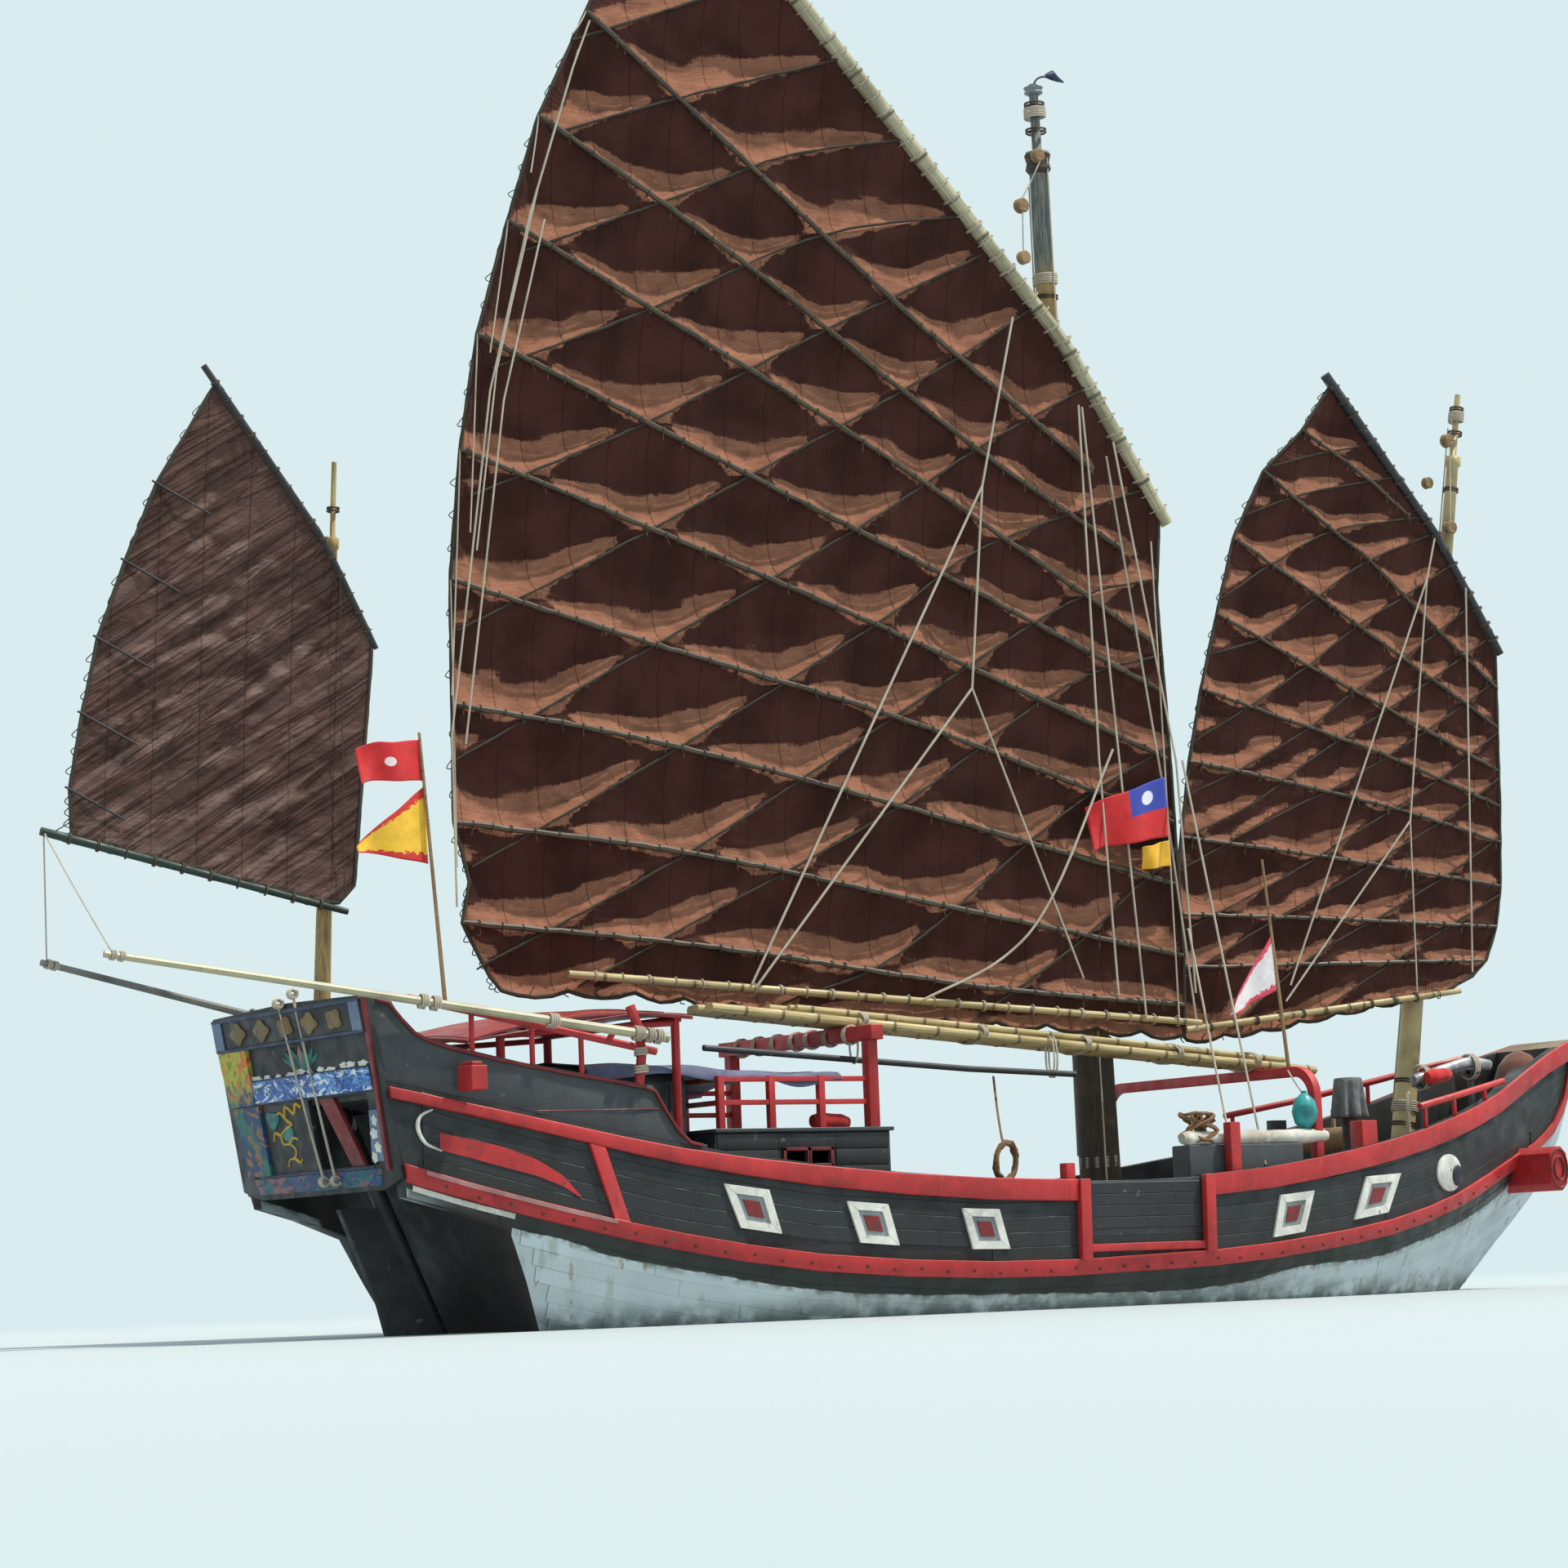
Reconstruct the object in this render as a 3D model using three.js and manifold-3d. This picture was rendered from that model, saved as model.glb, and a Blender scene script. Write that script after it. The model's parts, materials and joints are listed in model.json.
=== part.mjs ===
// A three-masted junk of wood, afloat: hull, decks, houses, rails, gallows, masts, sails, rudder and windlass.
// Millimetres. +X to the bow, +Y to port, +Z up. The origin is amidships on the centre line, at the waterline.
import * as THREE from 'three';
import { mergeVertices } from 'three/addons/utils/BufferGeometryUtils.js';
import Module from 'manifold-3d';

const wasm = await Module();
wasm.setup();

// Driving dimensions
const SEAT = 0.4; // gap between two pieces that touch
const WALL = 80; // hull planking above a deck
const BULWARK = 60; // poop bulwark planking
const DECK = { poop: 1300, waist: 720, fore: 1300, bow: 2300 };
const DECK_EDGE = { poopAft: -6880, poopFore: -4300, waistFore: 4000, foreFore: 7350, bowFore: 8000 };
const UPPER_WALE_PROUD = 55;
const LOWER_WALE = { height: 165, proud: 60 };
const GANGWAY = { aft: -280, fore: 1250, boardThick: 50, boardSet: 12, boardDrop: 20 };
const RAKE = 0.467; // run aft for each unit of height of the lower transom and the rudder stock
const LOWER_TRANSOM = { x: -6800, z: 1100 };
const RUDDER = { x: -7080, z: 1100, stock: 90 };
const TRANSOM = { x: -7790, z: 1550, rake: 0.184, thick: 60, top: 3180, bottom: 1370 };
const SWING = THREE.MathUtils.degToRad(-8); // the sails are sheeted a little to port

const MASTS = {
  main: { x: 1660, y: 0, z: DECK.waist, rake: -1.1, length: 12850, foot: 210, head: 100, off: -380 },
  fore: { x: 5960, y: 0, z: DECK.fore, rake: 9.8, length: 9400, foot: 140, head: 70, off: -300 },
  mizzen: { x: -7560, y: 480, z: 0, rake: 3, length: 6400, foot: 90, head: 50, off: -220 },
};

const COLOUR = {
  red: 0xb5292c, slate: 0x3b4044, deck: 0x8a6f50, bamboo: 0xc9b27c, trunk: 0x8c7a5c, sail: 0x5f3526,
  yard: 0x9a8b74, canopy: 0x8c2f2a, dark: 0x2b2e31, tarp: 0x8b93a8, blue: 0x3f6cae, green: 0x35604f,
};

// Solids
function solid(positions, triangles) {
  const p = Float32Array.from(positions);
  const t = Uint32Array.from(triangles);
  let volume = 0;
  const a = new THREE.Vector3();
  const b = new THREE.Vector3();
  const c = new THREE.Vector3();
  for (let i = 0; i < t.length; i += 3) {
    a.fromArray(p, t[i] * 3);
    b.fromArray(p, t[i + 1] * 3);
    c.fromArray(p, t[i + 2] * 3);
    volume += a.dot(b.cross(c));
  }
  if (volume < 0) {
    for (let i = 0; i < t.length; i += 3) [t[i + 1], t[i + 2]] = [t[i + 2], t[i + 1]];
  }
  return new wasm.Manifold(new wasm.Mesh({ numProp: 3, vertProperties: p, triVerts: t }));
}

function solidOf(geometry) {
  const bare = geometry.clone();
  bare.deleteAttribute('normal');
  bare.deleteAttribute('uv');
  const merged = mergeVertices(bare, 1e-3);
  return solid(merged.attributes.position.array, merged.index.array);
}

function join(...solids) {
  return solids.reduce((all, one) => all.add(one));
}

// The main body of a cut, without the slivers that the cut leaves.
function main(cut) {
  return cut.decompose().sort((a, b) => b.volume() - a.volume())[0];
}

// A closed body through rings of points; every ring has the same count and lies near a plane across X.
// A full ring, such as a hull section, is capped from its centre, and a thin or bent one is triangulated.
function loft(rings, full = false) {
  const n = rings[0].length;
  const points = rings.flat();
  const triangles = [];
  for (let i = 0; i < rings.length - 1; i += 1) {
    for (let j = 0; j < n; j += 1) {
      const a = i * n + j;
      const b = i * n + ((j + 1) % n);
      triangles.push(a, b, b + n, a, b + n, a + n);
    }
  }
  [0, rings.length - 1].forEach((i) => {
    const atEnd = i > 0;
    if (full) {
      const centre = rings[i].reduce((sum, p) => sum.add(p), new THREE.Vector3()).divideScalar(n);
      points.push(centre);
      const k = points.length - 1;
      rings[i].forEach((p, j) => {
        const [a, b] = [i * n + j, i * n + ((j + 1) % n)];
        triangles.push(...(atEnd ? [a, b, k] : [b, a, k]));
      });
      return;
    }
    const flat = rings[i].map((p) => new THREE.Vector2(p.y, p.z));
    const turn = Math.sign(THREE.ShapeUtils.area(flat));
    THREE.ShapeUtils.triangulateShape(flat, []).forEach((face) => {
      const same = Math.sign(THREE.ShapeUtils.area(face.map((k) => flat[k]))) === turn;
      const [a, b, c] = same === atEnd ? face : [face[0], face[2], face[1]];
      triangles.push(i * n + a, i * n + b, i * n + c);
    });
  });
  return solid(points.flatMap((p) => [p.x, p.y, p.z]), triangles);
}

function box([x0, x1], [y0, y1], [z0, z1]) {
  const geometry = new THREE.BoxGeometry(x1 - x0, y1 - y0, z1 - z0);
  geometry.translate((x0 + x1) / 2, (y0 + y1) / 2, (z0 + z1) / 2);
  return solidOf(geometry);
}

function shapeOf(points) {
  return points instanceof THREE.Shape ? points : new THREE.Shape(points.map(([u, v]) => new THREE.Vector2(u, v)));
}

function prism(points, depth, xAxis, yAxis, zAxis, origin, curveSegments = 6) {
  const geometry = new THREE.ExtrudeGeometry(shapeOf(points), { depth, bevelEnabled: false, curveSegments });
  geometry.applyMatrix4(new THREE.Matrix4().makeBasis(xAxis, yAxis, zAxis).setPosition(origin));
  return solidOf(geometry);
}

const X = new THREE.Vector3(1, 0, 0);
const Y = new THREE.Vector3(0, 1, 0);
const Z = new THREE.Vector3(0, 0, 1);
const V = (x, y, z) => new THREE.Vector3(x, y, z);

const prismXZ = (points, y0, y1, segments) => prism(points, y1 - y0, X, Z, Y.clone().negate(), V(0, y1, 0), segments);
const prismYZ = (points, x0, x1, segments) => prism(points, x1 - x0, Y, Z, X, V(x0, 0, 0), segments);
const prismXY = (points, z0, z1, segments) => prism(points, z1 - z0, X, Y, Z, V(0, 0, z0), segments);

// A round spar between two points.
function spar(from, to, r0, r1, sides = 10) {
  const run = to.clone().sub(from);
  const geometry = new THREE.CylinderGeometry(r1, r0, run.length(), sides);
  geometry.translate(0, run.length() / 2, 0);
  geometry.applyQuaternion(new THREE.Quaternion().setFromUnitVectors(Y, run.clone().normalize()));
  geometry.translate(from.x, from.y, from.z);
  return solidOf(geometry);
}

// A round bar of one radius through several points that lie near an upright plane.
function bar(points, radius, sides = 8) {
  const rings = points.map((p, i) => {
    const before = points[Math.max(i - 1, 0)];
    const after = points[Math.min(i + 1, points.length - 1)];
    const way = after.clone().sub(before).normalize();
    const across = V(way.z, 0, -way.x).normalize();
    const out = way.clone().cross(across);
    return Array.from({ length: sides }, (_, k) => {
      const angle = (2 * Math.PI * (k + 0.5)) / sides;
      return p.clone().addScaledVector(across, radius * Math.cos(angle)).addScaledVector(out, radius * Math.sin(angle));
    });
  });
  return loft(rings, true);
}

// A round body turned about a vertical axis from [radius, height] pairs.
function turned(pairs, x, y, z, sides = 12) {
  const points = [[0, pairs[0][1]], ...pairs, [0, pairs[pairs.length - 1][1]]].map(([r, h]) => new THREE.Vector2(r, h));
  const geometry = new THREE.LatheGeometry(points, sides);
  geometry.rotateX(Math.PI / 2);
  geometry.translate(x, y, z);
  return solidOf(geometry);
}

function fresh(s) {
  const mesh = s.getMesh();
  const geometry = new THREE.BufferGeometry();
  const positions = new Float32Array(mesh.numVert * 3);
  for (let i = 0; i < mesh.numVert; i += 1) {
    for (let k = 0; k < 3; k += 1) positions[i * 3 + k] = mesh.vertProperties[i * mesh.numProp + k];
  }
  geometry.setAttribute('position', new THREE.BufferAttribute(positions, 3));
  geometry.setIndex(new THREE.BufferAttribute(new Uint32Array(mesh.triVerts), 1));
  geometry.computeVertexNormals();
  return geometry;
}

const ship = new THREE.Group();

function piece(name, body, colour, roughness = 0.7, parent = ship) {
  const material = new THREE.MeshStandardMaterial({ color: colour, roughness, metalness: 0 });
  const mesh = new THREE.Mesh(fresh(main(body)), material);
  mesh.name = name;
  parent.add(mesh);
}

// Hull form. Columns: x, keel z, keel half-breadth, fullness, lower wale half-breadth and z, sheer half-breadth and z.
const STATIONS = [
  [-8200, -700, 100, 0.3, 1580, 1640, 1570, 2430],
  [-7200, -740, 100, 0.3, 1735, 1335, 1745, 2215],
  [-6200, -800, 100, 0.3, 1880, 1065, 1890, 1985],
  [-5000, -1050, 110, 0.32, 2020, 790, 2030, 1735],
  [-3500, -1280, 120, 0.33, 2140, 550, 2150, 1512],
  [-1500, -1400, 120, 0.33, 2220, 420, 2240, 1335],
  [500, -1420, 120, 0.34, 2210, 430, 2230, 1300],
  [2200, -1400, 120, 0.37, 2120, 510, 2150, 1385],
  [4200, -1280, 120, 0.48, 1800, 725, 1830, 1655],
  [5500, -880, 120, 0.62, 1440, 995, 1480, 1920],
  [6500, -120, 140, 0.8, 1040, 1285, 1120, 2195],
  [7200, 540, 200, 1, 740, 1500, 850, 2465],
  [7700, 1050, 300, 1, 560, 1700, 680, 2660],
  [8050, 1600, 380, 1, 490, 1990, 560, 2770],
  [8300, 2250, 430, 1, 450, 2560, 470, 2850],
];
const COLUMN = { keelZ: 1, keelHalf: 2, fullness: 3, lowHalf: 4, lowZ: 5, topHalf: 6, topZ: 7 };
const RING_X = [
  -8200, -7700, -7200, -6700, -6200, -5600, -5000, -4300, -3500, -2500, -1500, -500, 500, 1400, 2200, 3000, 3600,
  4200, 4900, 5500, 6000, 6500, 6900, 7200, 7450, 7700, 7900, 8100, 8300,
];
const LEVELS = [0, 0.03, 0.1, 0.22, 0.4, 0.65, 1]; // heights of a section's points, keel to lower wale

function slope(column, i) {
  const a = STATIONS[Math.max(i - 1, 0)];
  const b = STATIONS[Math.min(i + 1, STATIONS.length - 1)];
  return (b[column] - a[column]) / (b[0] - a[0]);
}

function fair(column, x) {
  const i = Math.min(Math.max(STATIONS.findIndex((s) => s[0] >= x), 1), STATIONS.length - 1);
  const [a, b] = [STATIONS[i - 1], STATIONS[i]];
  const run = b[0] - a[0];
  const t = (x - a[0]) / run;
  const t2 = t * t;
  const t3 = t2 * t;
  return (2 * t3 - 3 * t2 + 1) * a[column] + (t3 - 2 * t2 + t) * run * slope(column, i - 1)
    + (3 * t2 - 2 * t3) * b[column] + (t3 - t2) * run * slope(column, i);
}

// Half section at a ring, keel to sheer.
const RINGS = RING_X.map((x) => {
  const at = (name) => fair(COLUMN[name], x);
  const profile = LEVELS.map((t) => ({
    y: at('keelHalf') + (at('lowHalf') - at('keelHalf')) * t ** at('fullness'),
    z: at('keelZ') + (at('lowZ') - at('keelZ')) * t,
  }));
  profile.push({ y: at('topHalf'), z: at('topZ') });
  return { x, profile, low: at('lowZ'), top: at('topZ') };
});

function between(x) {
  const i = Math.min(Math.max(RING_X.findIndex((r) => r >= x), 1), RING_X.length - 1);
  const t = (x - RING_X[i - 1]) / (RING_X[i] - RING_X[i - 1]);
  return [RINGS[i - 1], RINGS[i], t];
}

const mix = (a, b, t) => a + (b - a) * t;

function line(key) {
  return (x) => {
    const [a, b, t] = between(x);
    return mix(a[key], b[key], t);
  };
}
const lowAt = line('low');
const topAt = line('top');

function halfOn(ring, z) {
  const p = ring.profile;
  const above = p.findIndex((q) => q.z >= z);
  const i = above < 0 ? p.length - 1 : Math.max(above, 1);
  const t = (z - p[i - 1].z) / (p[i].z - p[i - 1].z);
  return mix(p[i - 1].y, p[i].y, Math.min(t, 1));
}

function halfAt(x, z) {
  const [a, b, t] = between(x);
  return mix(halfOn(a, z), halfOn(b, z), t);
}

function hullForm(grow) {
  return loft(RINGS.map(({ x, profile }) => {
    const last = profile.length - 1;
    const rise = (k) => (k === last ? grow : 0) - (k === 0 ? grow : 0);
    const half = profile.map(({ y, z }, k) => ({ y: y + grow, z: z + rise(k) }));
    const starboard = half.map(({ y, z }) => V(x, -y, z)).reverse();
    return [...starboard, ...half.map(({ y, z }) => V(x, y, z))];
  }), true);
}

// Stations between two ends, with the hull's own rings in between.
function stationsFrom(x0, x1, extra = []) {
  const inner = [...RING_X, ...extra].filter((x) => x > x0 + 1 && x < x1 - 1);
  return [x0, ...new Set(inner), x1].sort((a, b) => a - b);
}

// A strake along one side, from bottom to top heights, standing proud of the planking and let into it.
function strake(side, x0, x1, bottom, top, proud, inward, extra) {
  return loft(stationsFrom(x0, x1, extra).map((x) => {
    const [z0, z1] = [bottom(x), top(x)];
    const [y0, y1] = [halfAt(x, z0), halfAt(x, z1)];
    return [
      V(x, side * (y0 + proud), z0), V(x, side * (y1 + proud), z1),
      V(x, side * (y1 - inward), z1), V(x, side * (y0 - inward), z0),
    ];
  }));
}

const SIDES = [['starboard', -1], ['port', 1]];
const FAR = 9000;
const aftAt = (z) => TRANSOM.x - (z - TRANSOM.z) * TRANSOM.rake;
const underAt = (z) => LOWER_TRANSOM.x - (z - LOWER_TRANSOM.z) * RAKE;
const stockAt = (z) => RUDDER.x - (z - RUDDER.z) * RAKE;
const behindTransom = prismXZ(
  [[-2 * FAR, -FAR], [aftAt(-FAR), -FAR], [aftAt(FAR), FAR], [-2 * FAR, FAR]], -FAR, FAR,
);
const grown = hullForm(SEAT);

// Hull: solid below the decks, walls above them, an open rudder well under the aft deck
const AFT_DECK_THICK = 110;

function well(x0, x1, deck, wall = WALL) {
  return loft(stationsFrom(x0, x1).map((x) => {
    const low = halfAt(x, deck) - wall;
    const high = halfAt(x, topAt(x)) - wall;
    return [V(x, -low, deck), V(x, low, deck), V(x, high, topAt(x) + FAR), V(x, -high, topAt(x) + FAR)];
  }));
}

function rudderWell() {
  const roof = (x) => topAt(x) - AFT_DECK_THICK;
  const side = 1430;
  const outline = [
    [-FAR, -FAR], [underAt(-FAR), -FAR], [underAt(roof(-7300)), roof(-7300)], [-7700, roof(-7700)],
    [-FAR, roof(-8190)],
  ];
  const open = prismXZ(outline, -side, side);
  const below = [
    [-FAR, -FAR], [underAt(-FAR), -FAR], [underAt(970), 970], [-7290, 1170], [-7740, 1290], [-FAR, 1560],
  ];
  return open.add(prismXZ(below, -FAR, FAR));
}

const anchorBeam = { x: 7125, z: 1325, wide: 250, high: 500, half: 1380, chamfer: 80 };

function octagon(cx, cy, w, h, c, grow = 0) {
  const [a, b] = [w / 2 + grow, h / 2 + grow];
  return [[-a + c, -b], [a - c, -b], [a, -b + c], [a, b - c], [a - c, b], [-a + c, b], [-a, b - c], [-a, -b + c]]
    .map(([u, v]) => [cx + u, cy + v]);
}

function crossBeam(grow) {
  const { x, z, wide, high, half, chamfer } = anchorBeam;
  return prismXZ(octagon(x, z, wide, high, chamfer, grow), -half - grow, half + grow);
}

// The space above the decks; grow moves its ends and floor.
function aboveDecks(grow) {
  const { poopAft, poopFore, waistFore, foreFore, bowFore } = DECK_EDGE;
  const zones = [[poopAft, foreFore, DECK.poop], [poopFore, waistFore, DECK.waist], [foreFore - 100, bowFore, DECK.bow]];
  return join(...zones.map(([x0, x1, deck]) => box([x0 + grow, x1 - grow], [-FAR, FAR], [deck + grow, FAR])));
}

const stockSlot = box([-7900, -7350], [-170, 170], [2000, 2600]);

function hull() {
  return hullForm(0)
    .subtract(behindTransom)
    .subtract(rudderWell())
    .subtract(stockSlot)
    .subtract(aboveDecks(0))
    .subtract(crossBeam(SEAT));
}

// Hull planking above the decks, cut through at the gangways
function sidePlanking(side, x0, x1) {
  return hullForm(0)
    .intersect(aboveDecks(SEAT))
    .subtract(well(DECK_EDGE.poopAft, DECK_EDGE.poopFore + 1, DECK.poop))
    .subtract(well(DECK_EDGE.poopFore, DECK_EDGE.waistFore, DECK.waist))
    .subtract(well(DECK_EDGE.waistFore - 1, DECK_EDGE.foreFore, DECK.fore))
    .subtract(well(DECK_EDGE.foreFore - 1, DECK_EDGE.bowFore, DECK.bow))
    .subtract(crossBeam(SEAT))
    .intersect(box([x0, x1], [Math.min(0, side * FAR), Math.max(0, side * FAR)], [0, FAR]));
}

const hullSolid = hull();
const raised = hullSolid.translate([0, 0, SEAT]);
piece('hull', hullSolid, COLOUR.slate, 0.75);
SIDES.forEach(([name, side]) => {
  piece(`side_planking_aft_${name}`, sidePlanking(side, -FAR, GANGWAY.aft), COLOUR.slate, 0.75);
  piece(`side_planking_fore_${name}`, sidePlanking(side, GANGWAY.fore, FAR), COLOUR.slate, 0.75);
});
piece('bow_crossbeam', crossBeam(0), COLOUR.red, 0.5);

// Wales, gangway boards and their posts
const POST = { wide: 130, thick: 85 };
const UPPER_ENDS = { aft: GANGWAY.aft - POST.wide, fore: GANGWAY.fore + POST.wide };
const STERN_END = -8200;
const BOW_END = 8300;
const STEM_RIM = { from: 7280, thick: 60, proud: 45 };
const QUARTER_POST = { top: -5960, bottom: -5690, wide: 160, thick: 50 };
const SILL = { low: 560, high: 640, proud: 40, lap: 20 };
const LET_IN = 20; // how deep wales and posts are let into the planking

// Upper wale. Columns: x, how far its top lies below the sheer, its height
const UPPER_WALE = [
  [STERN_END, 50, 105], [-7000, 50, 110], [-5000, 45, 155], [-3500, 18, 200], [-1500, 0, 220], [BOW_END, 0, 220],
];

function upperWale(x, column) {
  const i = Math.min(Math.max(UPPER_WALE.findIndex((row) => row[0] >= x), 1), UPPER_WALE.length - 1);
  const [a, b] = [UPPER_WALE[i - 1], UPPER_WALE[i]];
  return mix(a[column], b[column], (x - a[0]) / (b[0] - a[0]));
}
const waleTop = (x) => topAt(x) - upperWale(x, 1);
const waleBottom = (x) => waleTop(x) - upperWale(x, 2);

// A post between the wales that leans: its top lies further aft than its foot.
function leaningPost(side, { top, bottom, wide, thick }) {
  return loft([0, wide].map((run) => {
    const [foot, head] = [bottom + run, top + run];
    const corners = [[foot, lowAt(foot)], [head, waleBottom(head) - SEAT - 1]].map(([x, z]) => [x, z, halfAt(x, z)]);
    return [
      ...corners.map(([x, z, half]) => V(x, side * (half + thick), z)),
      ...corners.reverse().map(([x, z, half]) => V(x, side * (half - LET_IN), z)),
    ];
  }));
}

SIDES.forEach(([name, side]) => {
  const kinks = UPPER_WALE.map((row) => row[0]);
  const upper = (x0, x1) => strake(side, x0, x1, waleBottom, waleTop, UPPER_WALE_PROUD, LET_IN, kinks);
  const half = LOWER_WALE.height / 2;
  const rimHalf = (x) => STEM_RIM.thick * Math.hypot(1, (lowAt(x) - lowAt(x - 100)) / 100);
  const rim = strake(
    side, STEM_RIM.from, BOW_END, (x) => lowAt(x) - rimHalf(x), (x) => lowAt(x) + rimHalf(x), STEM_RIM.proud, LET_IN,
  );
  const aft = upper(STERN_END, UPPER_ENDS.aft).subtract(grown).subtract(behindTransom);
  const fore = join(upper(UPPER_ENDS.fore, BOW_END), rim).subtract(grown).subtract(crossBeam(SEAT));
  const lower = strake(
    side, STERN_END, anchorBeam.x, (x) => lowAt(x) - half, (x) => lowAt(x) + half, LOWER_WALE.proud, LET_IN,
  );
  const post = (x0) => strake(side, x0, x0 + POST.wide, (x) => lowAt(x) + half - LET_IN, topAt, POST.thick, LET_IN);
  const posts = [UPPER_ENDS.aft + SEAT, GANGWAY.fore - SEAT].map(post);
  const sill = strake(
    side, UPPER_ENDS.aft + SILL.lap, UPPER_ENDS.fore - SILL.lap, () => SILL.low, () => SILL.high, SILL.proud, LET_IN,
  );
  const frame = join(lower, ...posts, leaningPost(side, QUARTER_POST), sill)
    .subtract(grown).subtract(behindTransom).subtract(crossBeam(SEAT));
  const boards = strake(
    side, GANGWAY.aft + SEAT, GANGWAY.fore - SEAT, () => DECK.waist + SEAT, (x) => topAt(x) - GANGWAY.boardDrop,
    -GANGWAY.boardSet, GANGWAY.boardSet + GANGWAY.boardThick,
  );
  piece(`upper_wale_aft_${name}`, aft, COLOUR.red, 0.5);
  piece(`upper_wale_fore_${name}`, fore, COLOUR.red, 0.5);
  piece(`lower_wale_${name}`, frame, COLOUR.red, 0.5);
  piece(`gangway_boards_${name}`, boards, COLOUR.dark, 0.8);
});

// Poop bulwark. Columns: x, z of its top edge
const BULWARK_TOP = [
  [-8150, 3180], [-7870, 3120], [-7800, 3000], [-7700, 2870], [-7580, 2790], [-7240, 2680], [-6600, 2530],
  [-5940, 2410], [-5260, 2290], [-5180, 2160], [-5090, 1990], [-4980, 1850], [-4880, 1760], [-4700, 1700],
];

function bulwarkTop(x) {
  const i = Math.min(Math.max(BULWARK_TOP.findIndex((p) => p[0] >= x), 1), BULWARK_TOP.length - 1);
  const [a, b] = [BULWARK_TOP[i - 1], BULWARK_TOP[i]];
  return mix(a[1], b[1], (x - a[0]) / (b[0] - a[0]));
}

function bulwark(side, grow) {
  const kinks = BULWARK_TOP.map((p) => p[0]);
  const top = (x) => Math.max(bulwarkTop(x), topAt(x) + 30) + grow;
  return strake(side, -8200, -4700, (x) => topAt(x) - 20, top, grow, BULWARK + grow, kinks);
}

SIDES.forEach(([name, side]) => {
  piece(`poop_bulwark_${name}`, bulwark(side, 0).subtract(grown).subtract(behindTransom), COLOUR.slate, 0.8);
});

// Transom frame with the rudder opening, name board and ornament board, all raked
const rakedSlab = (front, back, z0, z1) => prismXZ(
  [[aftAt(z0) - front, z0], [aftAt(z0) - back, z0], [aftAt(z1) - back, z1], [aftAt(z1) - front, z1]], -FAR, FAR,
);

function transom() {
  const outline = [
    [-1640, TRANSOM.bottom + 90], [-1300, TRANSOM.bottom], [1300, TRANSOM.bottom], [1640, TRANSOM.bottom + 90],
    [1610, TRANSOM.top], [0, TRANSOM.top + 40], [-1610, TRANSOM.top],
  ];
  const opening = [[-1290, 1610], [1290, 1610], [1290, 2280], [-1290, 2280]];
  return rakedSlab(SEAT, TRANSOM.thick, 1000, 3600)
    .intersect(prismYZ(outline, -FAR, 0))
    .subtract(prismYZ(opening, -FAR, 0));
}

piece('transom', transom(), COLOUR.dark, 0.7);
const boardAt = (z0, z1, half, proud) => rakedSlab(TRANSOM.thick + SEAT, TRANSOM.thick + proud, z0, z1)
  .intersect(box([-FAR, 0], [-half, half], [z0 - 10, z1 + 10]));
piece('name_board', boardAt(2840, 3160, 1560, 40), COLOUR.slate, 0.6);
piece('wave_board', boardAt(2290, 2530, 1500, 30), COLOUR.blue, 0.6);

// Poop rails with a bent knee at the fore end, and the bumpkins lashed along their outer side on chocks
const RAIL = { x: [-7700, -7080, -6480, -5980, -5390, -5200], z: [3150, 2620], radius: 38, post: 27, knee: 48 };
const KNEE = [[-5390, 2270], [-5350, 2620], [-5380, 2860], [-5460, 3060]]; // x, z
const BUMPKIN = {
  starboardTip: [-10650, 1370, 3550], portTip: [-10070, 1370, 3710], heel: [-5150, 2130, 2740], thin: 34, thick: 50,
};
const CHOCK_X = [-7080, -5700];

const railLine = (side, x, z) => V(x, side * (halfAt(x, topAt(x)) - BULWARK / 2), z);
const railTop = (x) => mix(RAIL.z[0], RAIL.z[1], (x - RAIL.x[0]) / (RAIL.x[5] - RAIL.x[0]));

function poopRail(side, grow) {
  const at = (x) => railLine(side, x, railTop(x));
  const rail = bar(RAIL.x.map(at), RAIL.radius + grow);
  const posts = RAIL.x.slice(1, 4).map((x) => spar(
    railLine(side, x, bulwarkTop(x) - 30), at(x), RAIL.post + grow, RAIL.post + grow, 8,
  ));
  const knee = bar(KNEE.map(([x, z]) => railLine(side, x, z)), RAIL.knee + grow);
  return join(rail, ...posts, knee);
}

function bumpkinEnds(side) {
  const tip = side < 0 ? BUMPKIN.starboardTip : BUMPKIN.portTip;
  return [tip, BUMPKIN.heel].map(([x, y, z]) => V(x, side * y, z));
}

function bumpkin(side, grow) {
  const [tip, heel] = bumpkinEnds(side);
  return spar(tip, heel, BUMPKIN.thin + grow, BUMPKIN.thick + grow, 8);
}

function chock(side, x) {
  const [tip, heel] = bumpkinEnds(side);
  const pole = tip.clone().lerp(heel, (x - tip.x) / (heel.x - tip.x));
  return spar(railLine(side, x, railTop(x)), pole, 30, 30, 8);
}

SIDES.forEach(([name, side]) => {
  const rail = join(poopRail(side, 0), ...CHOCK_X.map((x) => chock(side, x)));
  piece(`poop_rail_${name}`, rail.subtract(bulwark(side, SEAT)).subtract(bumpkin(side, SEAT)), COLOUR.red, 0.5);
  piece(`bumpkin_${name}`, bumpkin(side, 0), COLOUR.bamboo, 0.6);
});

// Poop canopy: an arched roof on four posts. Columns: x, z at the middle of the roof
const CANOPY_LINE = [[-6950, 2860], [-6600, 2960], [-6150, 3050], [-5600, 3120], [-5000, 3140], [-4400, 3100]];
const CANOPY = { half: 1400, rise: 90, thick: 36, post: 45 };

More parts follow.
